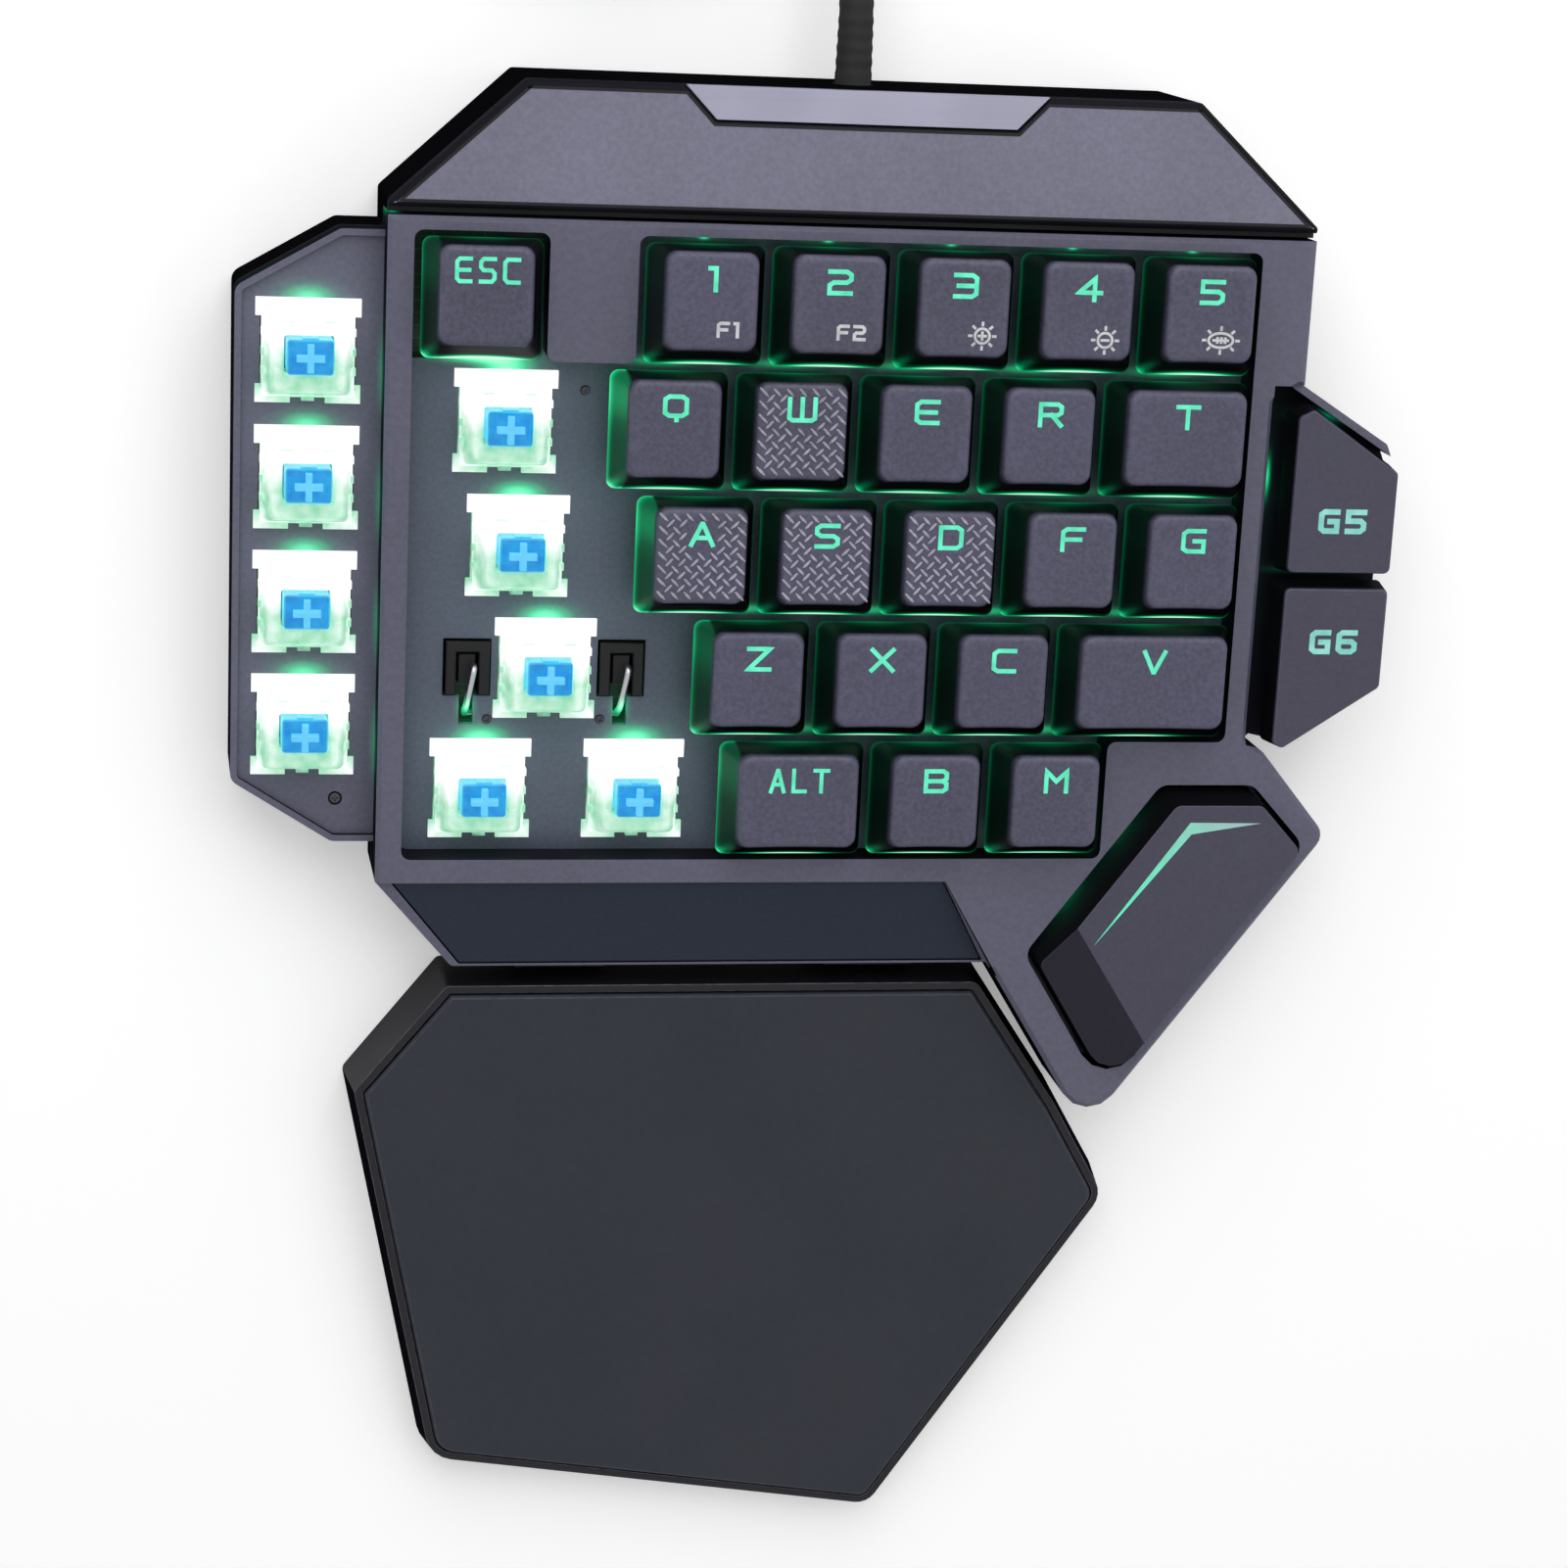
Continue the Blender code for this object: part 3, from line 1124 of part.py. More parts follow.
def tube(name, points, radius, resolution):
    """A tube with caps along points, as a mesh."""
    curve = bpy.data.curves.new(name, "CURVE")
    curve.dimensions = "3D"
    curve.bevel_depth = radius
    curve.bevel_resolution = resolution
    curve.use_fill_caps = True
    spline = curve.splines.new("POLY")
    spline.points.add(len(points) - 1)
    for point, place in zip(spline.points, points):
        point.co = (*place, 1)
    return curve_mesh(name, curve)


def make_rest(model):
    """The wrist rest: base with two tabs into the case, level with the desk, and its pad."""
    corners = rest_corners()
    rounds = [REST_ROUND * share for share in REST_ROUND_SHARES]
    foot = rounded(grown(corners, REST_FLARE), rounds)
    mesh = slab("palm_rest_base", foot, under_deck(0), REST_TOP)
    taper_top(mesh, rounded(corners, rounds), foot)
    base = model.piece("palm_rest_base", mesh, "black_shell")

    pad_rounds = [max(radius - PAD_RIM, 0) for radius in rounds]
    pocket_low = REST_TOP - PAD_DEPTH
    pocket = rounded(grown(corners, -PAD_RIM + SEAT), pad_rounds)
    mesh = slab("pad_pocket", pocket, pocket_low, REST_TOP + OVERRUN)
    combine(base, model.cutter("pad_pocket", mesh), "DIFFERENCE")
    outline = rounded(grown(corners, -PAD_RIM), pad_rounds)
    pad_top = REST_TOP + PAD_RISE
    mesh = slab("palm_rest_pad", outline, pocket_low + SEAT, pad_top)
    model.piece("palm_rest_pad", chamfer_top(mesh, pad_top, PAD_RISE / 2), "pad")

    mesh = slab("rest_hollow", grown(corners, -REST_WALL), under_deck(-OVERRUN), pocket_low - REST_WALL)
    combine(base, model.cutter("rest_hollow", mesh), "DIFFERENCE")
    rear = corners[0][1] - REST_WALL / 2
    front = CASE_FRONT + TAB_REACH
    tab_low = FOOT_T + SEAT + FLOOR_T + SEAT
    for index, x in enumerate(TAB_X):
        name = f"rest_tab_{index}"
        outline = rectangle(TAB_W, front - rear, x, (front + rear) / 2)
        mesh = slab(name, outline, under_deck(tab_low), under_deck(tab_low + TAB_T))
        combine(base, model.cutter(name, mesh), "UNION")


def taper_top(mesh, upper, lower):
    """Moves a slab's top outline from the lower one's points to the upper one's."""
    for vertex in mesh.vertices:
        if abs(vertex.co.z - REST_TOP) < EPS:
            flat = vertex.co.to_2d()
            nearest = min(range(len(lower)), key=lambda index: (lower[index] - flat).length)
            vertex.co.x, vertex.co.y = upper[nearest]


def make_feet(model):
    """Two rubber strips on the desk, under the case's rear and front."""
    strips = (("rear_foot", REAR_FOOT_X, REAR_FOOT_Y), ("front_foot", FRONT_FOOT_X, FRONT_FOOT_Y))
    for name, (left, right), y in strips:
        outline = rectangle(right - left, FOOT_D, (left + right) / 2, y)
        model.piece(name, slab(name, outline, under_deck(0), under_deck(FOOT_T)), "rubber")


def on_desk(x, y, z):
    """A point of the deck's frame, in the frame that lies flat on the desk."""
    lift = DECK_HEIGHT * math.cos(DECK_TILT)
    return Matrix.Rotation(DECK_TILT, 3, "X") @ Vector((x, y, z)) + Vector((0, 0, lift))


def coil_radius(turns):
    """Distance of the cord's centre from the coil's axis after some turns."""
    half = COIL_TURNS / 2
    away = abs(turns - half)
    bend = COIL_CLIMB / 2
    if away < bend:
        away = (away * away + bend * bend) / (2 * bend)
    return COIL_MEAN_R + COIL_PITCH * (away - half / 2)


def coil_climb(turns):
    """Share of the climb to the upper layer, made where the spiral reverses."""
    share = min(max((turns - COIL_TURNS / 2) / COIL_CLIMB + 0.5, 0), 1)
    return share * share * (3 - 2 * share)


def coil_points():
    """The coil: in on the lower layer, out on the upper one, and the tail to the plug."""
    reach = coil_radius(0)
    centre = Vector((CORD_X - reach, COIL_Y, CORD_D / 2))
    count = round(COIL_TURNS * LOOP_STEPS)
    points = [centre + Vector((reach, -CORD_D, 0))]
    for index in range(count + 1):
        turns = COIL_TURNS * index / count
        angle = 2 * math.pi * turns
        radius = coil_radius(turns)
        lift = COIL_PITCH * coil_climb(turns)
        points.append(centre + Vector((radius * math.cos(angle), radius * math.sin(angle), lift)))
    return points


def tail_points(start):
    """The end of the coil's cord, down from the upper layer to the plug on the desk."""
    points = []
    drop = start.z - PLUG_T / 2
    steps = round(TAIL_DROP_L / CORD_D) + 1
    for index in range(1, steps + 1):
        share = index / steps
        ease = share * share * (3 - 2 * share)
        points.append(start + Vector((-TAIL_DROP_L * share, 0, -drop * ease)))
    points.append(points[-1] + Vector((-CORD_D, 0, 0)))
    return points


def smooth(route, step):
    """Points along a Catmull-Rom curve through a route, about a step apart."""
    ends = [2 * route[0] - route[1], *route, 2 * route[-1] - route[-2]]
    points = []
    for before, start, end, after in zip(ends, ends[1:], ends[2:], ends[3:]):
        count = max(int((end - start).length / step + 0.5), 1)
        for index in range(count):
            t = index / count
            points.append(0.5 * (2 * start + (end - before) * t
                                 + (2 * before - 5 * start + 4 * end - after) * t * t
                                 + (3 * start - before - 3 * end + after) * t * t * t))
    points.append(route[-1])
    return points


def self_gap(points, diameter):
    """Least clear distance of a cord from itself, on points more than a loop's bend apart."""
    near = LOOP_STEPS // 2
    least = math.inf
    for index, point in enumerate(points):
        for other in range(index + near, len(points) - 1):
            start = points[other]
            along = points[other + 1] - start
            share = min(max((point - start).dot(along) / along.length_squared, 0), 1)
            least = min(least, (start + along * share - point).length)
    return least - diameter


def make_cord(model):
    """The strain relief, the cord's free run, its coil and the plug."""
    out_start = CASE_REAR - COVER_T - SEAT - COLLAR_T
    outlet = CASE_REAR + RELIEF_OUT
    tube_mesh = cylinder("strain_relief", RELIEF_D / 2, (CORD_X, out_start, CORD_Z),
                         (CORD_X, outlet, CORD_Z))
    relief = model.piece("strain_relief", tube_mesh, "rubber")
    collar = cylinder("relief_collar", COLLAR_D / 2, (CORD_X, out_start, CORD_Z),
                      (CORD_X, out_start + COLLAR_T, CORD_Z))
    combine(relief, model.cutter("relief_collar", collar), "UNION")

    coil = coil_points()
    start = on_desk(CORD_X, outlet + SEAT, CORD_Z)
    heading = (on_desk(CORD_X, outlet + CORD_D, CORD_Z) - on_desk(CORD_X, outlet, CORD_Z)).normalized()
    end = coil[0] - Vector((0, SEAT, 0))
    route = [
        start, start + heading * CORD_D, start + Vector((0, 14 * MM, -0.6 * MM)),
        start + Vector((0, 24 * MM, -4.8 * MM)), start + Vector((0, 34 * MM, -8.9 * MM)),
        end - Vector((0, 2 * CORD_D, 0)), end - Vector((0, CORD_D, 0)), end,
    ]
    run = smooth(route, CORD_STEP)
    model.piece("cord_run", tube("cord_run", run, CORD_D / 2, 2), "rubber", frame=model.base)
    whole = coil + tail_points(coil[-1])
    print("coil gap to itself, mm:", round(self_gap(whole, CORD_D) / MM, 3))
    lengths = [(b - a).length for points in (run, whole) for a, b in zip(points, points[1:])]
    print("cord length, mm:", round(sum(lengths) / MM))
    model.piece("cord_coil", tube("cord_coil", whole, CORD_D / 2, 1), "rubber", frame=model.base)
    make_plug(model, whole[-1] + Vector((-SEAT, 0, 0)))


def make_plug(model, face):
    """The USB plug: a moulded grip and a metal nose, lying on the desk."""
    half = PLUG_W / 2
    grip = box("usb_plug", (-PLUG_L, 0), (-half, half), (-PLUG_T / 2, PLUG_T / 2))
    plug = model.piece("usb_plug", grip, "rubber", face, model.base)
    edges = plug.modifiers.new("edges", "BEVEL")
    edges.width = PLUG_EDGE
    edges.segments = 1
    nose = box("plug_nose", (-PLUG_L - PLUG_NOSE_L, -PLUG_L + OVERRUN), (-half + PLUG_EDGE, half - PLUG_EDGE),
               (-PLUG_NOSE_T / 2, PLUG_NOSE_T / 2))
    cutter = model.cutter("plug_nose", nose, face)
    cutter.parent = model.base
    combine(plug, cutter, "UNION")


def centre_on_origin(model):
    """Moves the keypad so that its box, without the cord, stands centred on the origin."""
    graph = bpy.context.evaluated_depsgraph_get()
    graph.update()
    loose = ("cord_run", "cord_coil", "usb_plug", "strain_relief")
    corners = []
    for obj in model.parts.objects:
        if obj.type == "MESH" and obj.name not in loose:
            ready = obj.evaluated_get(graph)
            corners += [ready.matrix_world @ vertex.co for vertex in ready.data.vertices]
    low = Vector([min(corner[axis] for corner in corners) for axis in range(3)])
    high = Vector([max(corner[axis] for corner in corners) for axis in range(3)])
    model.base.location = -(low.x + high.x) / 2, -(low.y + high.y) / 2, -low.z
    print("size, mm:", [round(value / MM, 2) for value in high - low])
    print("base at, mm:", [round(value / MM, 3) for value in model.base.location])


def shade(model):
    """Shades round pieces smooth."""
    for name in ("cord_run", "cord_coil", "strain_relief"):
        mesh = bpy.data.objects[name].data
        mesh.shade_smooth()


def main():
    """Builds the keypad."""
    clear_scene()
    model = Model()
    make_top_cover(model)
    make_front_panel(model)
    make_rear_panel(model)
    make_bottom_cover(model)
    make_plate(model)
    make_board(model)
    make_bare_switches(model)
    make_caps(model)
    make_big_keys(model)
    make_stabiliser(model)
    make_rest(model)
    make_feet(model)
    make_cord(model)
    shade(model)
    centre_on_origin(model)


main()
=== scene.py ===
"""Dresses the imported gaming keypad: its finishes, keycaps, lit switches, legends and cord.

Lengths are in metres, and the sizes of shader patterns in millimetres. The deck's frame
has its origin on the switch plate under the Q key, X to the right, Y to the rear and Z
along the keys' travel. DECK carries it into the row's frame, and BASE does the same for
what lies flat on the desk.
"""
import logging
import math
from collections.abc import Callable
from dataclasses import dataclass
from enum import Enum
from functools import partial, reduce

import bmesh
import bpy
from mathutils import Euler, Matrix, Vector


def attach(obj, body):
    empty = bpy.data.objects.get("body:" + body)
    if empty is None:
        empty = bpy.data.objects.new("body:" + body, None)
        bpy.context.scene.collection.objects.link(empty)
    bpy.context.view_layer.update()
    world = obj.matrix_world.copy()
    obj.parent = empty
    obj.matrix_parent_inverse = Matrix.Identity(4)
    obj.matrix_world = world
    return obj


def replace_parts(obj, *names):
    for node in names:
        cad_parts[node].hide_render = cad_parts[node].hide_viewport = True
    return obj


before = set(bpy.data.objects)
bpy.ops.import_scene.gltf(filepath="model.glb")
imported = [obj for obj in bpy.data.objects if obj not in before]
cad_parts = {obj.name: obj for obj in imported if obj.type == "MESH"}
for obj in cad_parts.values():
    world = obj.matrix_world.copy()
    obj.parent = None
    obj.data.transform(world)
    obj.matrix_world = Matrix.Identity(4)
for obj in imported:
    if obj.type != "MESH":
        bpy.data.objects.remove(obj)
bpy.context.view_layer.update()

LOG = logging.getLogger("keypad")
MM = 0.001
EPS = 0.001 * MM
PITCH = 19.05 * MM
DECK_TILT = math.radians(3.5)
DECK_LIFT = 16.7 * MM * math.cos(DECK_TILT)
Q_KEY = (-25.5 * MM, 64.043 * MM, 0)
BASE = Matrix.Translation(Q_KEY)
DECK = BASE @ Matrix.Translation((0, 0, DECK_LIFT)) @ Matrix.Rotation(DECK_TILT, 4, "X")
DECK_UP = DECK.col[2].xyz
TO_DECK = DECK.inverted()
ROOT_BODY = "keypad"
REST_BODY = "wrist_rest"

Colour = tuple[float, float, float]
Point2 = tuple[float, float]
Point3 = tuple[float, float, float]
Pair = tuple[float, float]
Triple = tuple[float, float, float]
Ring = list[Vector]
Surface = Callable[[float, float], float]
Socket = bpy.types.NodeSocket
Value = Socket | float
Outputs = bpy.types.NodeOutputs
Mesh = bpy.types.Mesh
Object = bpy.types.Object
Work = bmesh.types.BMesh
# Tells from a face's place on the deck, and how level it is, whether the face gets painted shade.
IsShaded = Callable[[Vector, float], bool]


def srgb(*screen: float) -> Colour:
    """The linear colour of a screen colour, whose three parts go from 0 to 255."""
    shares = [value / 255 for value in screen]
    return tuple(share / 12.92 if share <= 0.04045 else ((share + 0.055) / 1.055) ** 2.4 for share in shares)


def toned(colour: Colour, tone: float) -> Colour:
    """A lighter or darker tone of a colour."""
    return tuple(min(value * tone, 1) for value in colour)


# Node trees


class Graph:
    """Adds linked nodes to a node tree."""

    def __init__(self, tree: bpy.types.NodeTree) -> None:
        """Keeps the tree."""
        self.tree = tree

    def feed(self, node: bpy.types.Node, values: dict) -> bpy.types.Node:
        """Sets or links a node's inputs.

        Args:
            node: the node.
            values: a constant or a socket for each input, by name or index.
        Returns:
            The same node.
        """
        for key, value in values.items():
            if isinstance(value, Socket):
                self.tree.links.new(value, node.inputs[key])
            else:
                node.inputs[key].default_value = value
        return node

    def node(self, kind: str, values: dict | None = None, **settings: object) -> bpy.types.Node:
        """Adds a node, sets its properties and feeds its inputs.

        Args:
            kind: Blender's name of the node's type.
            values: a constant or a socket for each input, by name or index.
            settings: properties of the node, set before its inputs.
        Returns:
            The new node.
        """
        made = self.tree.nodes.new(kind)
        for name, value in settings.items():
            setattr(made, name, value)
        return self.feed(made, values or {})

    def math(self, operation: str, *values: Value) -> Socket:
        """The result of a Math node, whose inputs are constants or sockets."""
        return self.node("ShaderNodeMath", dict(enumerate(values)), operation=operation).outputs[0]

    def product(self, *values: Value) -> Socket:
        """All the values multiplied."""
        return reduce(partial(self.math, "MULTIPLY"), values)

    def total(self, *values: Value) -> Socket:
        """The sum of all the values."""
        return reduce(partial(self.math, "ADD"), values)

    def stored(self, name: str, output: str = "Fac") -> Socket:
        """A value that the mesh holds for its materials."""
        return self.node("ShaderNodeAttribute", attribute_name=name).outputs[output]

    def noise(self, place: Socket, scale: Value, detail: float) -> Socket:
        """Noise of a scale at a place, with some detail in it."""
        return self.node("ShaderNodeTexNoise", {"Vector": place, "Scale": scale, "Detail": detail}).outputs[0]

    def bump(self, height: Socket, strength: float, depth: float) -> Socket:
        """The normal of a pattern of heights, which is as deep as depth says."""
        values = {"Height": height, "Strength": strength, "Distance": depth}
        return self.node("ShaderNodeBump", values).outputs[0]

    def mix(self, share: Value, first: Colour | Socket, second: Colour | Socket) -> Socket:
        """A mix of two colours or colour sockets, with a share of the second."""
        values = {0: share, 6: _opaque(first), 7: _opaque(second)}
        return self.node("ShaderNodeMix", values, data_type="RGBA").outputs[2]

    def span(self, value: Socket, low: float, high: float, start: float = 0.0, end: float = 1.0,
             smooth: bool = False) -> Socket:
        """Maps a value from one span to another, clamped.

        Args:
            value: the socket.
            low: where the result is start.
            high: where the result is end.
            start: result at low.
            end: result at high.
            smooth: eases both ends.
        Returns:
            The result's socket.
        """
        kind = "SMOOTHSTEP" if smooth else "LINEAR"
        values = {"Value": value, "From Min": low, "From Max": high, "To Min": start, "To Max": end}
        return self.node("ShaderNodeMapRange", values, interpolation_type=kind).outputs[0]


def _opaque(colour: Colour | Socket) -> tuple[float, float, float, float] | Socket:
    """A colour with its alpha, or a socket as it is."""
    return colour if isinstance(colour, Socket) else (*colour, 1.0)


class SharedEffect:
    """A shader node group, built once and placed in each material that uses it."""

    NAME = ""
    INPUTS: dict[str, tuple[str, float]] = {}
    OUTPUTS: dict[str, str] = {}

    @classmethod
    def place(cls, graph: Graph, **values: Value) -> bpy.types.Node:
        """Places the group in a material.

        Args:
            graph: the material's nodes.
            values: the material's own values of the group's inputs.
        Returns:
            The group node.
        """
        tree = bpy.data.node_groups.get(cls.NAME) or cls._make()
        feeds = {name.replace("_", " "): value for name, value in values.items()}
        return graph.node("ShaderNodeGroup", feeds, node_tree=tree)

    @classmethod
    def _make(cls) -> bpy.types.NodeTree:
        """Makes the group's tree with its sockets."""
        tree = bpy.data.node_groups.new(cls.NAME, "ShaderNodeTree")
        for name, (kind, start) in cls.INPUTS.items():
            tree.interface.new_socket(name, in_out="INPUT", socket_type=kind).default_value = start
        for name, kind in cls.OUTPUTS.items():
            tree.interface.new_socket(name, in_out="OUTPUT", socket_type=kind)
        graph = Graph(tree)
        results = cls.fill(graph, graph.node("NodeGroupInput").outputs)
        graph.node("NodeGroupOutput", results)
        return tree

    @classmethod
    def fill(cls, graph: Graph, given: Outputs) -> dict[str, Socket]:
        """Adds the group's nodes.

        Args:
            graph: the group's tree.
            given: what comes into the group.
        Returns:
            What leaves it, by the outputs' names.
        """
        raise NotImplementedError


class DeckPlace(SharedEffect):
    """Where a surface point is in the deck's frame, in millimetres."""

    NAME = "deck place"
    OUTPUTS = {"Place": "NodeSocketVector"}

    @classmethod
    def fill(cls, graph: Graph, given: Outputs) -> dict[str, Socket]:
        """Turns and moves the Object coordinates into the deck's frame."""
        shift = -(Matrix.Rotation(-DECK_TILT, 3, "X") @ DECK.translation) / MM
        values = {"Vector": graph.node("ShaderNodeTexCoord").outputs["Object"], "Location": shift,
                  "Rotation": Euler((-DECK_TILT, 0, 0)), "Scale": (1 / MM,) * 3}
        return {"Place": graph.node("ShaderNodeMapping", values, vector_type="POINT").outputs[0]}


class MouldedGrain(SharedEffect):
    """The fine grain of a moulded or painted surface, and slow patches in its tone."""

    NAME = "moulded grain"
    INPUTS = {"Grain mm": ("NodeSocketFloat", 0.35), "Patch mm": ("NodeSocketFloat", 30.0)}
    OUTPUTS = dict.fromkeys(("Height", "Tone", "Patch"), "NodeSocketFloat")

    @classmethod
    def fill(cls, graph: Graph, given: Outputs) -> dict[str, Socket]:
        """Noise at the grain's size and at the patches' size."""
        place = DeckPlace.place(graph).outputs[0]
        fine = graph.math("DIVIDE", 1.0, given["Grain mm"])
        slow = graph.math("DIVIDE", 1.0, given["Patch mm"])
        return {"Height": graph.span(graph.noise(place, fine, 3.0), 0.3, 0.7),
                "Tone": graph.span(graph.noise(place, graph.product(fine, 0.45), 2.0), 0.32, 0.68),
                "Patch": graph.span(graph.noise(place, slow, 2.5), 0.35, 0.65)}


class EdgeWearAndHighlight(SharedEffect):
    """How strongly a surface's edge colour shows: worn edges, and on the wrist rest's shell a painted
    highlight, on its rounded edges, broken up by noise.
    """

    # The group also paints the wrist rest shell's edge highlight.
    NAME = "edge wear"
    INPUTS = {"Amount": ("NodeSocketFloat", 0.6)}
    OUTPUTS = {"Wear": "NodeSocketFloat"}

    @classmethod
    def fill(cls, graph: Graph, given: Outputs) -> dict[str, Socket]:
        """The mesh's edge attribute times a broken noise."""
        noise = graph.noise(DeckPlace.place(graph).outputs[0], 0.7, 4.0)
        return {"Wear": graph.product(graph.stored("edge"), graph.span(noise, 0.35, 0.62, 0.35, 1.0),
                                      given["Amount"])}


@dataclass(frozen=True)
class Lamp:
    """A run of lights behind the switches, as seen on the surfaces round them, in mm."""

    x: float
    y: float
    across: float = 6.0
    deep: float = 0.8
    core: float = 0.6
    haze: float = 0.05
    columns: int = 1
    rows: int = 1


P_MM = PITCH / MM
REAR_MM = 9.5
BARE_MM = 7.8
BARE = (4.0, 1.9, 1.0, 0.14)
GAP = (0.45, 7.0, 0.4, 0.0)
LAMPS = (
    Lamp(-1.49 * P_MM, P_MM + REAR_MM, 6.0, 1.2), Lamp(-1.49 * P_MM, P_MM - 9.6, 6.0, 0.9, 1.0, 0.0),
    Lamp(0.25 * P_MM + 0.6, P_MM + 9.3, 0.8, 0.4, 0.8, 0.0, columns=5),
    Lamp(0.25 * P_MM, P_MM + REAR_MM, 7.5, 1.0, 0.28, 0.0, columns=5),
    Lamp(0, REAR_MM, columns=4), Lamp(4.125 * P_MM, REAR_MM),
    Lamp(0.25 * P_MM, REAR_MM - P_MM, columns=5),
    Lamp(0.75 * P_MM, REAR_MM - 2 * P_MM, columns=3), Lamp(4 * P_MM, REAR_MM - 2 * P_MM),
    Lamp(1.125 * P_MM, REAR_MM - 3 * P_MM), Lamp(2.25 * P_MM, REAR_MM - 3 * P_MM, columns=2),
    Lamp(0.75 * P_MM, P_MM, *GAP, columns=4), Lamp(0.5 * P_MM, 0, *GAP, columns=3),
    Lamp(0.75 * P_MM, -P_MM, *GAP, columns=4), Lamp(1.25 * P_MM, -2 * P_MM, *GAP, columns=3),
    Lamp(-1.25 * P_MM, BARE_MM, *BARE), Lamp(-1.125 * P_MM, BARE_MM - P_MM, *BARE),
    Lamp(-0.875 * P_MM, BARE_MM - 2 * P_MM, *BARE), Lamp(-1.375 * P_MM, BARE_MM - 3 * P_MM, *BARE),
    Lamp(-0.125 * P_MM, BARE_MM - 3 * P_MM, *BARE),
    Lamp(-53.45, 10.0 + BARE_MM - 3 * P_MM, *BARE, rows=4),
    Lamp(-42.4, 7.0 - 3 * P_MM, 0.8, 6.0, 0.42, 0.0, rows=4),
    Lamp(96.4, -6.5, 0.5, 3.2, 1.0, 0.06), Lamp(95.2, -21.5, 0.5, 3.4, 0.9, 0.06),
    Lamp(94.8, -34.0, 0.45, 3.0, 0.6, 0.06),
    Lamp(106.0, -21.3, 8.0, 0.5, 0.4, 0.0), Lamp(107.0, 3.4, 5.5, 1.0, 0.5, 0.0),
    Lamp(67.5, -73.5, 4.5, 6.0, 0.32, 0.0), Lamp(75.0, -62.5, 4.5, 6.0, 0.28, 0.0),
    Lamp(-41.6, 31.4, 1.1, 1.1, 0.9, 0.0),
    Lamp(-0.875 * P_MM - 11.9, -2 * P_MM - 6.2, 1.3, 1.9, 0.9, 0.0),
    Lamp(-0.875 * P_MM + 11.9, -2 * P_MM - 6.2, 1.3, 1.9, 0.9, 0.0),
)


class LedSpill(SharedEffect):
    """How brightly the lights behind the switches reach a point, from 0 to 1."""

    NAME = "led spill"
    OUTPUTS = {"Glow": "NodeSocketFloat", "Height": "NodeSocketFloat"}

    @classmethod
    def fill(cls, graph: Graph, given: Outputs) -> dict[str, Socket]:
        """Adds a soft spot for each lamp, and passes the height above the plate on."""
        split = graph.node("ShaderNodeSeparateXYZ", {0: DeckPlace.place(graph).outputs[0]}).outputs
        spots = [cls._spot(graph, lamp, split) for lamp in LAMPS]
        return {"Glow": graph.total(*spots), "Height": split["Z"]}

    @classmethod
    def _spot(cls, graph: Graph, lamp: Lamp, split: Outputs) -> Socket:
        """One run of lamps: a bright core in a faint haze.

        Args:
            graph: the group's nodes.
            lamp: the run.
            split: the place's parts.
        Returns:
            The brightness socket.
        """
        across = cls._from_nearest(graph, split["X"], lamp.x, lamp.columns)
        deep = cls._from_nearest(graph, split["Y"], lamp.y, lamp.rows)
        square = graph.total(*(graph.math("POWER", graph.math("DIVIDE", away, size), 2.0)
                               for away, size in ((across, lamp.across), (deep, lamp.deep))))
        core = graph.product(graph.math("EXPONENT", graph.product(square, -1.0)), lamp.core)
        if lamp.haze <= 0:
            return core
        wide = graph.math("EXPONENT", graph.product(square, -0.12))
        return graph.math("MULTIPLY_ADD", wide, lamp.haze, core)

    @classmethod
    def _from_nearest(cls, graph: Graph, value: Socket, start: float, count: int) -> Socket:
        """Distance along an axis from the nearest lamp of a run, always positive or zero.

        Args:
            graph: the group's nodes.
            value: the coordinate.
            start: the first lamp's coordinate.
            count: lamps in the run, a key pitch apart.
        Returns:
            The distance's socket.
        """
        away = graph.math("SUBTRACT", value, start)
        if count > 1:
            nearest = graph.math("ROUND", graph.math("DIVIDE", away, P_MM))
            nearest = graph.math("MINIMUM", graph.math("MAXIMUM", nearest, 0.0), count - 1.0)
            away = graph.math("SUBTRACT", away, graph.product(nearest, P_MM))
        return graph.math("ABSOLUTE", away)


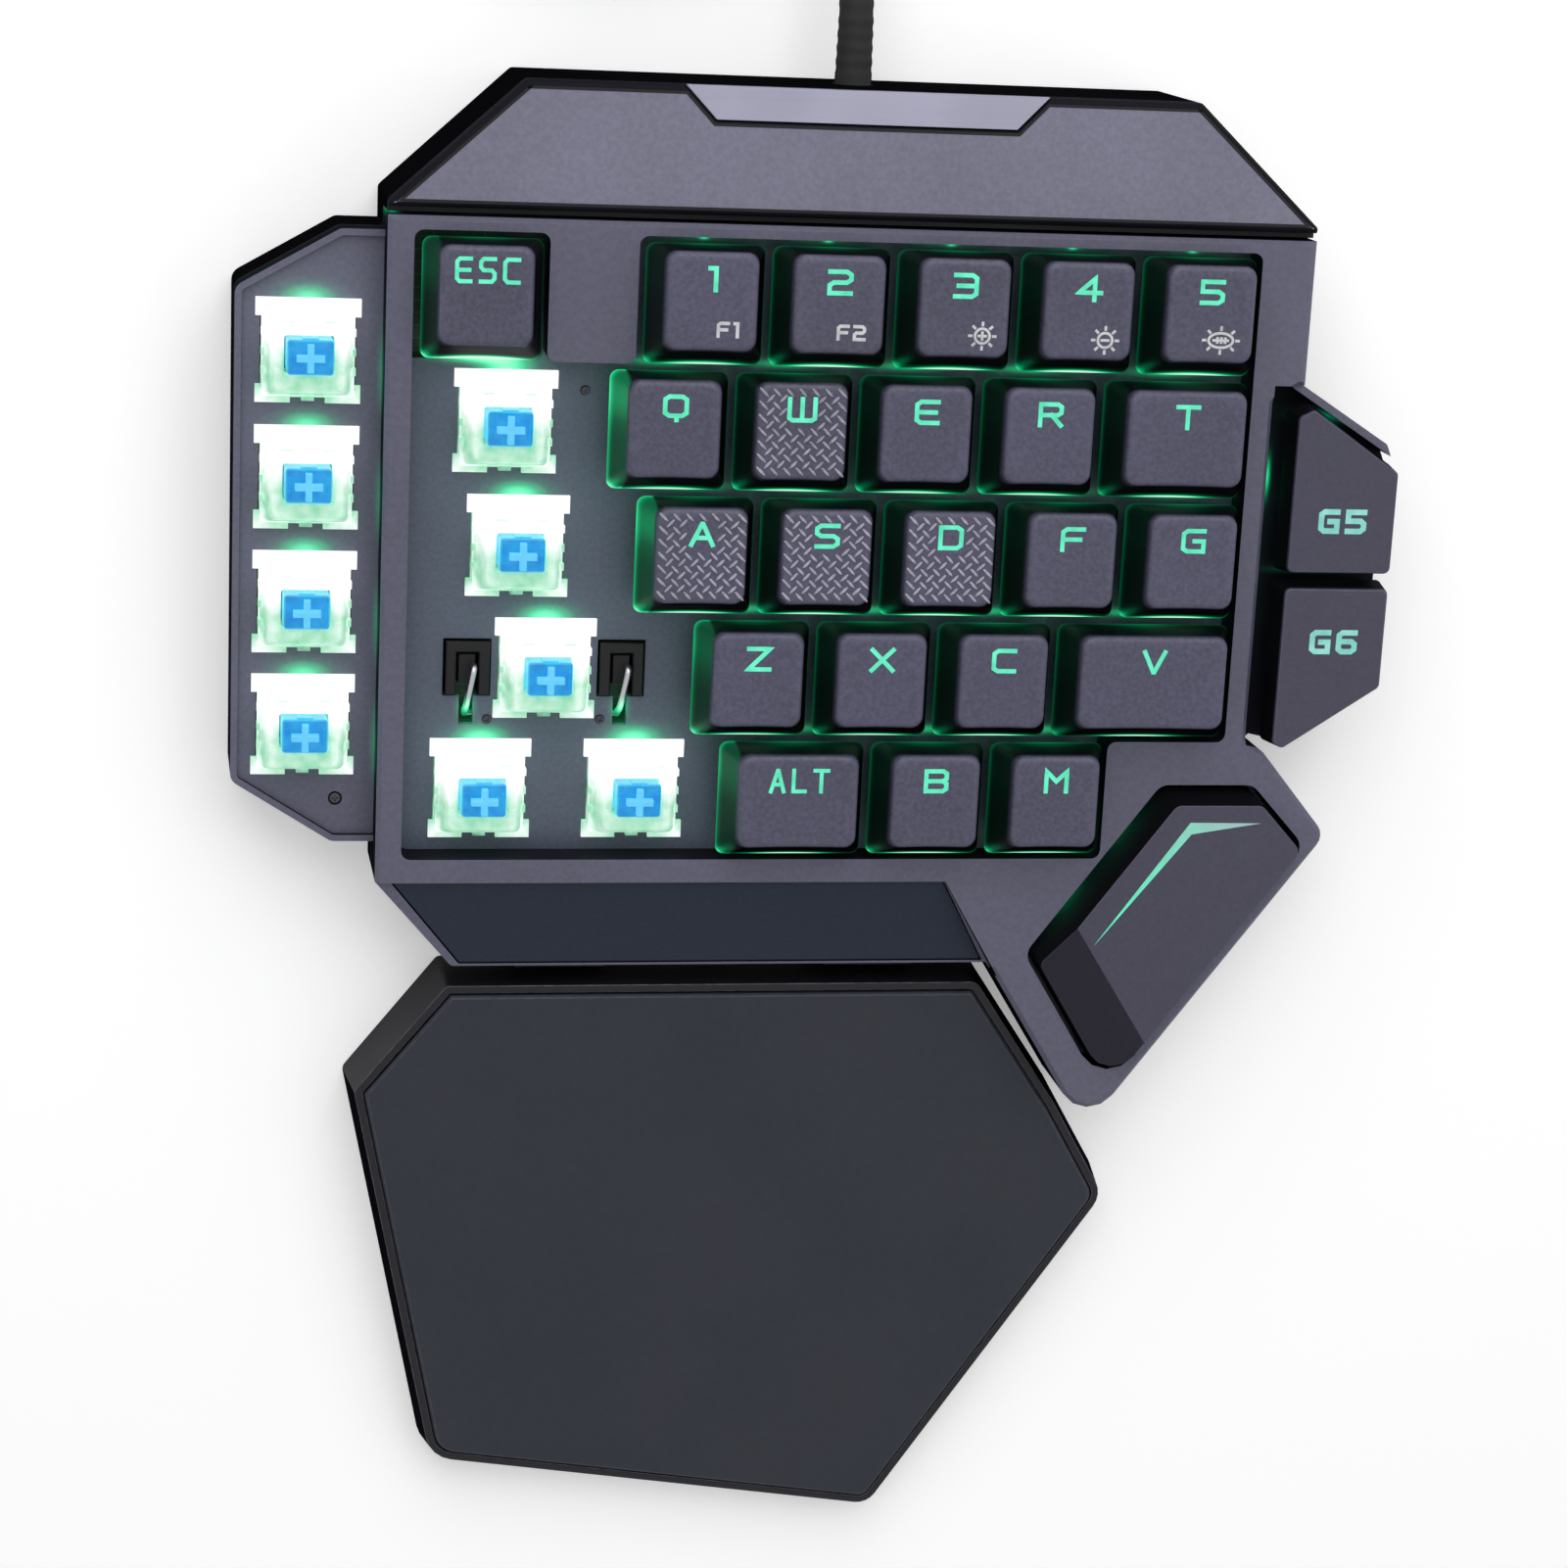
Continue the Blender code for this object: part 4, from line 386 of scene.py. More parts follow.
class CapLight(SharedEffect):
    """How brightly the lights under a keycap reach its skirt, from 0 to 1."""

    NAME = "cap light"
    OUTPUTS = {"Glow": "NodeSocketFloat"}

    @classmethod
    def fill(cls, graph: Graph, given: Outputs) -> dict[str, Socket]:
        """An arc at the front of the foot, a rim round it, and the left skirt with its front corner."""
        def bell(value: Socket, middle: float, width: float) -> Socket:
            """A bell curve of a value."""
            away = graph.math("DIVIDE", graph.math("SUBTRACT", value, middle), width)
            return graph.math("EXPONENT", graph.product(away, away, -1.0))
        product, side = graph.product, graph.stored("side")
        at = graph.node("ShaderNodeSeparateXYZ", {0: graph.stored("at", "Vector")}).outputs
        x, y, rise = (at[axis] for axis in "XYZ")
        flare = graph.math("MULTIPLY_ADD", bell(rise, 0.1, 0.9), 1.1, product(bell(rise, 0.0, 2.8), 0.6))
        arc = product(graph.span(y, -7.6, -8.4), bell(x, 0.0, 5.2), flare, graph.stored("front"))
        rim = product(bell(rise, 0.0, 0.8), 0.22)
        rear = product(graph.span(y, 7.6, 8.4), bell(x, 0.0, 6.0), bell(rise, 0.0, 3.4), 0.28)
        left = graph.math("MULTIPLY_ADD", graph.total(bell(y, 5.5, 4.0), bell(rise, 0.2, 1.2)), 0.26, 0.2)
        left = product(left, graph.span(side, 2.7, 2.2), graph.stored("gain"))
        over = graph.math("SUBTRACT", side, product(rise, 0.29))
        ahead = graph.math("SUBTRACT", graph.total(y, 9.0), product(rise, 0.41))
        corner = product(bell(over, 0.4, 0.75), bell(ahead, 0.4, 0.75), graph.span(rise, 0.5, 6.0, 0.45, 0.0))
        return {"Glow": product(graph.total(arc, rim, rear, left, corner),
                                graph.span(rise, 6.4, 7.3, 1.0, 0.0, True))}


LIGHT_STOPS = ((0.0, (0, 0, 0)), (0.12, (0.0, 0.012, 0.006)), (0.35, (0.0, 0.09, 0.035)),
               (0.7, (0.004, 0.42, 0.15)), (1.0, (0.06, 0.88, 0.38)), (1.6, (0.6, 1.0, 0.76)))


def shine(graph: Graph, glow: Socket, gain: float) -> dict:
    """Makes a surface shine in the lights' colour: dark green, then bright green, then mint.

    Args:
        graph: the material's nodes.
        glow: the brightness.
        gain: how strongly this surface shows it.
    Returns:
        What feeds the shader's emission.
    """
    brightest = LIGHT_STOPS[-1][0]
    ramp = graph.node("ShaderNodeValToRGB", {0: graph.product(glow, gain / brightest)})
    elements = ramp.color_ramp.elements
    while len(elements) < len(LIGHT_STOPS):
        elements.new(0.5)
    for element, (place, colour) in zip(elements, LIGHT_STOPS):
        element.position = place / brightest
        element.color = (*colour, 1.0)
    return {"Emission Color": ramp.outputs[0], "Emission Strength": 1.0}


# Finishes


def new_material(name: str) -> tuple[bpy.types.Material, Graph, bpy.types.Node]:
    """Makes a node material.

    Args:
        name: the material's name.
    Returns:
        The material, its nodes and its Principled node.
    """
    made = bpy.data.materials.new(name)
    made.use_nodes = True
    return made, Graph(made.node_tree), made.node_tree.nodes["Principled BSDF"]


class Finish:
    """A surface finish that makes its material once."""

    name: str

    def material(self) -> bpy.types.Material:
        """The finish's material, made at its first use."""
        made = bpy.data.materials.get(self.name)
        if not made:
            made, graph, shader = new_material(self.name)
            graph.feed(shader, self.inputs(graph))
        return made

    def inputs(self, graph: Graph) -> dict:
        """Adds the material's nodes.

        Args:
            graph: the material's tree.
        Returns:
            What feeds the inputs of its Principled node.
        """
        raise NotImplementedError


@dataclass(frozen=True)
class Plastic(Finish):
    """Moulded plastic or fine paint: grain, patches, worn edges (a painted highlight on the wrist rest's
    shell), painted shade on walls and skirts, and the lights' spill.
    """

    name: str
    colour: Colour
    # worn: the colour of rounded edges, worn plastic, and on the wrist rest's shell a painted highlight.
    worn: Colour
    roughness: float = 0.5
    rough_span: float = 0.12
    worn_gloss: float = 0.15
    grain: float = 0.35
    patch: float = 30.0
    contrast: float = 0.16
    depth: float = 0.02 * MM
    bump: float = 0.35
    metallic: float = 0.0
    wear_and_highlight: float = 0.5
    specular: float = 0.5
    # wall: painted shade, a darker colour and less gloss on the faces that the wall attribute marks, where
    # shade falls in openings and gaps.
    wall: Colour | None = None
    wall_shade_gloss: float = 0.06
    # skirt: painted shade, a near-black colour and less gloss low on a keycap's skirt, where shade falls
    # between the keys; the caps are one plastic throughout.
    skirt: Colour | None = None
    skirt_shade_gloss: float = 0.24
    skirt_shade_top: Pair = (6.3, 7.7)
    glow: float = 0.0
    glow_low: float = 0.5
    glow_high: float = 6.2

    def inputs(self, graph: Graph) -> dict:
        """The tone, the gloss, which fades at a glancing view, and the light."""
        grain = MouldedGrain.place(graph, Grain_mm=self.grain, Patch_mm=self.patch).outputs
        # Edge colour: worn edges, and a painted highlight on the wrist rest's shell.
        wear_and_highlight = EdgeWearAndHighlight.place(graph, Amount=self.wear_and_highlight).outputs[0]
        share = graph.total(graph.product(grain["Tone"], 0.6), graph.product(grain["Patch"], 0.4))
        plain = graph.mix(share, toned(self.colour, 1 - self.contrast), toned(self.colour, 1 + self.contrast))
        colour = graph.mix(wear_and_highlight, plain, self.worn)
        rough = graph.span(grain["Patch"], 0, 1, self.roughness - self.rough_span / 2,
                           self.roughness + self.rough_span / 2)
        facing = graph.node("ShaderNodeLayerWeight").outputs["Facing"]
        gloss = graph.span(facing, 0.55, 0.85, self.specular, 0.0)
        light = {}
        # Painted shade: marked faces take the wall colour and lose their gloss.
        if self.wall:
            wall = graph.stored("wall")
            colour = graph.mix(wall, colour, self.wall)
            gloss = graph.product(gloss, graph.span(wall, 0, 1, 1.0, self.wall_shade_gloss))
        # Painted shade: the skirt darkens and dulls towards its foot, and the lights' glow on it is painted
        # as emission.
        if self.skirt:
            rise = graph.node("ShaderNodeSeparateXYZ", {0: graph.stored("at", "Vector")}).outputs["Z"]
            colour = graph.mix(graph.span(rise, *self.skirt_shade_top, 0, 1, True), self.skirt, colour)
            gloss = graph.product(gloss, graph.span(rise, *self.skirt_shade_top, self.skirt_shade_gloss, 1.0))
            light = shine(graph, CapLight.place(graph).outputs[0], self.glow)
        elif self.glow > 0:
            spill = LedSpill.place(graph).outputs
            fade = graph.span(spill["Height"], self.glow_low, self.glow_high, 1.0, 0.0, True)
            light = shine(graph, graph.product(spill["Glow"], fade), self.glow)
        return {"Base Color": colour, "Metallic": self.metallic, "Specular IOR Level": gloss,
                "Roughness": graph.math("SUBTRACT", rough, graph.product(wear_and_highlight, self.worn_gloss)),
                "Normal": graph.bump(grain["Height"], self.bump, self.depth), **light}


@dataclass(frozen=True)
class BrushedMetal(Finish):
    """Satin metal with fine lines along X."""

    name: str
    colour: Colour
    roughness: float = 0.35
    line: float = 0.25
    metallic: float = 1.0
    glow: float = 0.0

    def inputs(self, graph: Graph) -> dict:
        """Stretched noise for the brushing, over slow patches."""
        fine = 1 / self.line
        stretch = graph.node("ShaderNodeMapping", {"Vector": DeckPlace.place(graph).outputs[0],
                                                   "Scale": (0.03, fine, fine)})
        lines = graph.noise(stretch.outputs[0], 1.0, 4.0)
        patch = MouldedGrain.place(graph, Grain_mm=0.3, Patch_mm=18.0).outputs["Patch"]
        share = graph.total(graph.product(lines, 0.6), graph.product(patch, 0.4))
        light = shine(graph, LedSpill.place(graph).outputs["Glow"], self.glow) if self.glow > 0 else {}
        return {"Base Color": graph.mix(share, toned(self.colour, 0.86), toned(self.colour, 1.12)),
                "Roughness": graph.span(lines, 0.3, 0.7, self.roughness - 0.07, self.roughness + 0.09),
                "Normal": graph.bump(lines, 0.25, 0.01 * MM), "Metallic": self.metallic, **light}


@dataclass(frozen=True)
class LitPlastic(Finish):
    """Clear or coloured plastic lit from inside, brighter where its lit attribute is high."""

    name: str
    colour: Colour
    deep: Colour
    dim: Colour
    bright: Colour
    roughness: float = 0.25
    grain: float = 0.9
    uneven: float = 0.12
    strength: float = 1.0

    def inputs(self, graph: Graph) -> dict:
        """An emission that follows the lit attribute, a little unevenly."""
        grain = MouldedGrain.place(graph, Grain_mm=self.grain, Patch_mm=4.0).outputs
        uneven = graph.product(graph.math("SUBTRACT", grain["Tone"], 0.5), self.uneven)
        share = graph.total(graph.stored("lit"), uneven)
        glow = graph.mix(graph.span(share, 0.0, 0.4), self.deep, self.dim)
        return {"Base Color": graph.mix(grain["Patch"], toned(self.colour, 0.8), self.colour),
                "Emission Color": graph.mix(graph.span(share, 0.4, 1.0), glow, self.bright),
                "Emission Strength": self.strength,
                "Roughness": graph.span(grain["Height"], 0, 1, self.roughness - 0.06, self.roughness + 0.08),
                "Normal": graph.bump(grain["Patch"], 0.2, 0.05 * MM)}


@dataclass(frozen=True)
class PrintedLight(Finish):
    """A legend that lets the light through, or one that is only printed."""

    name: str
    colour: Colour
    edge: Colour
    lit: bool = True
    fade: Colour | None = None
    unlit: Colour = (0.02, 0.05, 0.04)

    def inputs(self, graph: Graph) -> dict:
        """A slightly uneven glow or print, which fades along a stripe."""
        grain = MouldedGrain.place(graph, Grain_mm=0.5, Patch_mm=2.4).outputs
        colour = graph.mix(grain["Patch"], self.edge, self.colour)
        if self.fade:
            colour = graph.mix(graph.stored("lit"), colour, self.fade)
        shown = {"Base Color": colour}
        if self.lit:
            shown = {"Base Color": _opaque(self.unlit), "Emission Color": colour, "Emission Strength": 1.0}
        return {"Roughness": graph.span(grain["Tone"], 0, 1, 0.4, 0.55),
                "Normal": graph.bump(grain["Height"], 0.2, 0.01 * MM), **shown}


@dataclass(frozen=True)
class BoardFinish(Finish):
    """Green solder mask with copper tracks under it."""

    name: str = "board_mask"
    mask: Colour = (0.008, 0.045, 0.022)
    track: Colour = (0.02, 0.10, 0.045)

    def inputs(self, graph: Graph) -> dict:
        """A stepped pattern of tracks."""
        tracks = graph.node("ShaderNodeTexBrick", {
            "Vector": DeckPlace.place(graph).outputs[0], "Color1": (0, 0, 0, 1), "Color2": (0, 0, 0, 1),
            "Mortar": (1, 1, 1, 1), "Scale": 0.22, "Mortar Size": 0.035, "Brick Width": 1.7,
            "Row Height": 0.42}).outputs["Color"]
        grain = MouldedGrain.place(graph, Grain_mm=0.4, Patch_mm=12.0).outputs
        return {"Base Color": graph.mix(tracks, self.mask, self.track),
                "Roughness": graph.span(grain["Tone"], 0, 1, 0.35, 0.5),
                "Normal": graph.bump(tracks, 0.3, 0.03 * MM)}


# Painted shade for steep faces and gap floors, not a colour that the case has.
WALL_SHADE = srgb(26, 26, 33)
COVER = Plastic("cover_paint", srgb(91, 90, 110), srgb(130, 129, 150), 0.48, wall=WALL_SHADE, glow=0.85)
REAR_PANEL = Plastic("rear_panel_paint", srgb(119, 118, 138), srgb(146, 145, 164), 0.46, wall=WALL_SHADE)
SILVER = BrushedMetal("insert_satin", srgb(158, 157, 176), 0.42, metallic=0.6)
SLATE = Plastic("front_panel_slate", srgb(30, 38, 54), srgb(66, 72, 88), grain=0.3, specular=0.25)
SHELL = Plastic("shell_black", srgb(12, 12, 15), srgb(46, 46, 54), 0.55, grain=0.45, contrast=0.25, bump=0.45,
                specular=0.3)
# The shell's light edge colour paints the highlight lines round its rim.
REST_SHELL = Plastic("rest_shell_black", srgb(18, 18, 23), srgb(104, 104, 122), 0.42, grain=0.4,
                     contrast=0.25, wear_and_highlight=0.8, specular=0.3)
PAD = Plastic("wrist_pad_soft", srgb(38, 41, 51), srgb(70, 74, 84), 0.62, grain=0.5, patch=26.0,
              contrast=0.12, bump=0.25, specular=0.35)
PLATE = Plastic("plate_paint", srgb(82, 90, 106), srgb(116, 117, 128), 0.46, metallic=0.2, grain=0.3,
                glow=1.0, glow_low=3.0, glow_high=9.0)
# The cap's skirt colour is painted shade between the keys.
CAP = Plastic("cap_plastic", srgb(71, 70, 91), srgb(112, 110, 130), grain=0.3, contrast=0.42, bump=0.6,
              wear_and_highlight=0.3, skirt=srgb(9, 9, 11), glow=1.0)
# The lozenges' light colour is a painted highlight: they are moulded in the cap's dark plastic and only catch
# the light.
TREAD = Plastic("tread_worn", srgb(166, 163, 178), srgb(190, 188, 200), 0.4, grain=0.3, contrast=0.35,
                bump=0.4)
# Its wall colour is painted shade on the large keys' steep sides.
BIG_CAP = Plastic("large_key_plastic", srgb(60, 58, 76), srgb(96, 95, 112), grain=0.3, contrast=0.18,
                  bump=0.3, wall=srgb(16, 16, 20), glow=0.8, glow_low=3.0, glow_high=8.6)
BAR_END = Plastic("bar_end_plastic", srgb(34, 32, 43), srgb(64, 62, 74), 0.6, grain=0.3, contrast=0.14,
                  bump=0.3, specular=0.2)
RUBBER = Plastic("rubber_black", srgb(26, 26, 28), srgb(60, 60, 62), 0.8, grain=0.7, contrast=0.3, bump=0.6,
                 wear_and_highlight=0.4)
JACKET = Plastic("cord_jacket", srgb(24, 24, 27), srgb(60, 60, 64), 0.55, grain=0.5, patch=14.0,
                 contrast=0.3, bump=0.5)
STEEL = BrushedMetal("spring_steel", srgb(176, 180, 184), 0.3)
WIRE = BrushedMetal("lit_wire", srgb(186, 180, 190), 0.3, glow=1.0)
SCREW = BrushedMetal("screw_black_zinc", srgb(74, 74, 80), 0.4)
CONTACT = BrushedMetal("contact_gilt", srgb(206, 172, 96), 0.3)
TONGUE = Plastic("plug_tongue", srgb(222, 226, 228), srgb(240, 240, 240), 0.4)
BOARD = BoardFinish()
HOUSING = LitPlastic("housing_clear", srgb(96, 122, 110), srgb(4, 46, 26), srgb(138, 206, 168),
                     (1.0, 1.0, 1.0), 0.18, uneven=0.18)
LAMP_GLASS = LitPlastic("lamp_glass", srgb(220, 255, 238), srgb(150, 255, 205), srgb(170, 255, 215),
                        (0.9, 1.0, 0.96), 0.15, strength=3.0)
STEM = LitPlastic("stem_blue", srgb(0, 88, 140), srgb(0, 90, 150), srgb(0, 142, 214), srgb(70, 215, 248),
                  0.3, uneven=0.2, strength=0.75)
CROSS = LitPlastic("stem_cross_blue", srgb(50, 130, 170), srgb(50, 150, 205), srgb(70, 180, 226),
                   srgb(120, 215, 248), 0.3, strength=0.75)
LEGEND = PrintedLight("legend_mint", srgb(96, 240, 196), srgb(72, 216, 170))
LEGEND_PALE = PrintedLight("legend_turquoise", srgb(140, 212, 202), srgb(112, 190, 182))
STRIPE = PrintedLight("stripe_mint", srgb(90, 240, 190), srgb(70, 220, 170), fade=srgb(150, 176, 180))
LEGEND_WHITE = PrintedLight("legend_white", srgb(226, 226, 228), srgb(200, 200, 204), lit=False)


# Meshes and pieces


def add_object(name: str, data: bpy.types.ID) -> Object:
    """Adds an object to the scene.

    Args:
        name: the object's name.
        data: its mesh, curve, lamp or camera.
    Returns:
        The object.
    """
    made = bpy.data.objects.new(name, data)
    bpy.context.scene.collection.objects.link(made)
    return made


def piece(name: str, mesh: Mesh, finish: Finish, body: str = ROOT_BODY,
          place: Matrix | None = None) -> Object:
    """Makes a finished mesh a piece of the keypad.

    Args:
        name: the piece's name.
        mesh: its mesh.
        finish: its finish, where the mesh has no materials of its own.
        body: the CAD body that it rides on.
        place: the frame of the mesh, where it isn't the row's.
    Returns:
        The piece's object.
    """
    if place is not None:
        mesh.transform(place)
    if not len(mesh.materials):
        mesh.materials.append(finish.material())
    made = add_object(name, mesh)
    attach(made, body)
    LOG.info("%s: %d faces, rides on %s", name, len(mesh.polygons), body)
    return made


def solid(name: str, work: Work, finish: Finish, body: str = ROOT_BODY,
          place: Matrix | None = None, smooth: float = 35) -> Object:
    """Turns the faces of bmesh work outwards and makes it a piece; smooth is in degrees."""
    bmesh.ops.recalc_face_normals(work, faces=work.faces)
    return piece(name, read_mesh(work, name, smooth), finish, body, place)


def finish_node(name: str, finish: Finish) -> None:
    """Gives a CAD node that stays a detailed material."""
    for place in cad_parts[name].material_slots:
        place.material = finish.material()
    LOG.info("%s: CAD solid with %s", name, finish.name)


def read_mesh(work: Work, name: str, smooth: float | None = 35) -> Mesh:
    """Turns bmesh work into a mesh and frees it.

    Args:
        work: the work.
        name: the mesh's name.
        smooth: edges flatter than this many degrees are shaded smooth, if any.
    Returns:
        The mesh.
    """
    mesh = bpy.data.meshes.new(name)
    work.to_mesh(mesh)
    work.free()
    if smooth is not None:
        mesh.shade_smooth()
        mesh.set_sharp_from_angle(angle=math.radians(smooth))
    return mesh


def evaluated(holder: Object, name: str) -> Mesh:
    """A helper object's mesh with its modifiers; the helper is removed.

    Args:
        holder: the helper.
        name: the new mesh's name.
    Returns:
        The plain mesh.
    """
    graph = bpy.context.evaluated_depsgraph_get()
    mesh = bpy.data.meshes.new_from_object(holder.evaluated_get(graph))
    mesh.name = name
    bpy.data.objects.remove(holder)
    return mesh


def round_line(name: str, points: Ring, radius: float, rings: int) -> bpy.types.Curve:
    """A curve with the thickness of a cord or wire.

    Args:
        name: the curve's name.
        points: the points on its middle line.
        radius: its thickness from the middle line.
        rings: how finely its section is rounded.
    Returns:
        The curve.
    """
    curve = bpy.data.curves.new(name, "CURVE")
    curve.dimensions = "3D"
    curve.bevel_depth = radius
    curve.bevel_resolution = rings
    curve.use_fill_caps = True
    spline = curve.splines.new("POLY")
    spline.points.add(len(points) - 1)
    for point, place in zip(spline.points, points):
        point.co = (*place, 1)
    spline.use_smooth = True
    return curve


WALL_LEVEL = 0.35
MERGE = 0.004 * MM
SLIVER = 0.02 * MM
FLAT = math.radians(0.6)
ROUND_FROM = math.radians(28)
SHARP_DEGREES = 70


def is_wall(place: Vector, level: float) -> bool:
    """Whether a face is a wall that gets painted shade, from how level it is, whatever its place."""
    return level < WALL_LEVEL


def softened(node: str, width: float, dark: IsShaded = is_wall) -> Mesh:
    """A merged copy of a CAD node with rounded edges, its edges and the faces that get painted shade marked.

    Args:
        node: the CAD node.
        width: how wide the rounding is.
        dark: tells from a face's place on the deck, and how level it is, whether it gets painted shade.
    Returns:
        The new mesh.
    """
    work = bmesh.new()
    work.from_mesh(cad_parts[node].data)
    bmesh.ops.remove_doubles(work, verts=work.verts, dist=MERGE)
    bmesh.ops.dissolve_degenerate(work, dist=SLIVER, edges=work.edges)
    bmesh.ops.dissolve_limit(work, angle_limit=FLAT, verts=work.verts, edges=work.edges)
    mesh = read_mesh(work, node + "_copy", SHARP_DEGREES)
    mesh.materials.clear()
    mesh.materials.append(None)
    mesh.materials.append(None)
    holder = add_object(node + "_soft", mesh)
    bevel = holder.modifiers.new("edges", "BEVEL")
    bevel.width = width
    bevel.segments = 2
    bevel.limit_method = "ANGLE"
    bevel.angle_limit = ROUND_FROM
    bevel.use_clamp_overlap = True
    bevel.material = 1
    weighted = holder.modifiers.new("flat faces", "WEIGHTED_NORMAL")
    weighted.keep_sharp = True
    weighted.weight = 100
    result = evaluated(holder, node + "_soft")
    # The wall attribute marks the faces that get painted shade.
    for name in ("edge", "wall"):
        result.attributes.new(name, "FLOAT", "FACE")
    edges, walls = (result.attributes[name].data for name in ("edge", "wall"))
    for face, edge, wall in zip(result.polygons, edges, walls):
        edge.value = float(face.material_index == 1)
        wall.value = float(dark(TO_DECK @ face.center, abs(face.normal.dot(DECK_UP))))
        face.material_index = 0
    result.materials.clear()
    return result


def finished(node: str, finish: Finish, body: str, width: float,
             dark: IsShaded = is_wall) -> Object:
    """Puts a softened copy in a CAD node's place.

    Args:
        node: the CAD node.
        finish: its finish.
        body: the CAD body that it rides on.
        width: how wide its edges are rounded.
        dark: tells which faces get painted shade.
    Returns:
        The piece's object.
    """
    made = piece(node + "_finished", softened(node, width, dark), finish, body)
    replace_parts(made, node)
    return made


def rounded_box(half_x: float, half_y: float, radius: float, steps: int = 5, sides: int = 6) -> list[Point2]:
    """Points of a rounded rectangle, counter-clockwise, with points along its sides.

    Args:
        half_x: half its width.
        half_y: half its depth.
        radius: its corners' radius.
        steps: pieces in a corner.
        sides: pieces in a side.
    Returns:
        The points.
    """
    radius = min(radius, half_x * 0.999, half_y * 0.999)
    arcs: list[Ring] = []
    for sign_x, sign_y, start in ((1, 1, 0), (-1, 1, 90), (-1, -1, 180), (1, -1, 270)):
        centre = Vector((sign_x * (half_x - radius), sign_y * (half_y - radius)))
        angles = [math.radians(start + 90 * step / steps) for step in range(steps + 1)]
        arcs.append([centre + radius * Vector((math.cos(angle), math.sin(angle))) for angle in angles])
    points: list[Vector] = []
    for arc, following in zip(arcs, arcs[1:] + arcs[:1]):
        points += arc + [arc[-1].lerp(following[0], step / sides) for step in range(1, sides)]
    return [tuple(point) for point in points]


def skin(work: Work, rings: list[Ring], ends: bool = True) -> None:
    """Adds faces through rings of equally many points, upwards and counter-clockwise.

    Args:
        work: the bmesh that gets the faces.
        rings: the rings' points.
        ends: closes the first and the last ring; without it the last one joins the first.
    """
    loops = [[work.verts.new(point) for point in ring] for ring in rings]
    for first, second in zip(loops, loops[1:] if ends else loops[1:] + loops[:1]):
        for index in range(len(first)):
            work.faces.new((first[index - 1], first[index], second[index], second[index - 1]))
    if ends:
        work.faces.new(list(reversed(loops[0])))
        work.faces.new(loops[-1])


def at_height(outline: list[Point2], height: float) -> Ring:
    """An outline's points at a height."""
    return [Vector((x, y, height)) for x, y in outline]


def prism(work: Work, outline: list[Point2], low: float, high: float, edge: float = 0.0) -> None:
    """Adds an upright prism, with a chamfer round its top.

    Args:
        work: the bmesh that gets it.
        outline: its outline, counter-clockwise.
        low: its underside.
        high: its top.
        edge: the chamfer's width.
    """
    rings = [at_height(outline, low), at_height(outline, high - edge)]
    if edge > 0:
        rings.append(at_height(inset(outline, edge), high))
    skin(work, rings)


def inset(outline: list[Point2], distance: float) -> list[Point2]:
    """A counter-clockwise outline moved inwards.

    Args:
        outline: the outline.
        distance: how far it moves.
    Returns:
        The smaller outline.
    """
    moved: list[Point2] = []
    for index, point in enumerate(outline):
        here = Vector(point)
        before = (here - Vector(outline[index - 1])).normalized()
        after = (Vector(outline[(index + 1) % len(outline)]) - here).normalized()
        first = Vector((-before.y, before.x))
        second = Vector((-after.y, after.x))
        middle = (first + second).normalized()
        moved.append(tuple(here + middle * distance / max(middle.dot(first), 0.3)))
    return moved


def block(work: Work, low: Vector | Point3, high: Vector | Point3, edge: float = 0.0) -> None:
    """Adds a box between its lowest and its highest corner, with a chamfer round its top."""
    outline = [(high[0], high[1]), (low[0], high[1]), (low[0], low[1]), (high[0], low[1])]
    prism(work, outline, low[2], high[2], edge)


def nub(work: Work, x: float, y: float, half_x: float, half_y: float, low: float, high: float,
        edge: float) -> None:
    """Adds a box round an upright axis, with a chamfer round its top, in millimetres."""
    low_corner, high_corner = Vector((x - half_x, y - half_y, low)), Vector((x + half_x, y + half_y, high))
    block(work, low_corner * MM, high_corner * MM, edge * MM)


def mark(mesh: Mesh, name: str, rule: Callable[[Vector], float | Vector], kind: str = "FLOAT") -> None:
    """Gives each vertex a value for the materials.

    Args:
        mesh: the mesh.
        name: the attribute's name.
        rule: a function of the vertex's place.
        kind: FLOAT for a number, or FLOAT_VECTOR.
    """
    values = mesh.attributes.new(name, kind, "POINT")
    for vertex, value in zip(mesh.vertices, values.data):
        setattr(value, "value" if kind == "FLOAT" else "vector", rule(vertex.co))


def ease(value: float, low: float, high: float) -> float:
    """A smooth step of a value from 0 at low to 1 at high."""
    share = min(max((value - low) / (high - low), 0), 1)
    return share * share * (3 - 2 * share)


# Camera and stage


@dataclass(frozen=True)
class PhotoCamera:
    """The photograph's camera: a long lens, looking down from the rear left."""

    rows: tuple = (
        (0.983702, -0.001571, -0.179802, -0.106888), (0.037009, 0.980321, 0.193911, 0.118676),
        (0.175959, -0.197404, 0.964401, 0.566171), (0, 0, 0, 1),
    )
    lens_mm: float = 83.922
    sensor_mm: float = 36.0

    def make(self) -> Object:
        """Makes the scene's camera."""
        data = bpy.data.cameras.new("photo_camera")
        data.lens = self.lens_mm
        data.sensor_width = self.sensor_mm
        data.clip_start = 0.01
        camera = add_object("photo_camera", data)
        camera.matrix_world = Matrix(self.rows)
        bpy.context.scene.camera = camera
        return camera


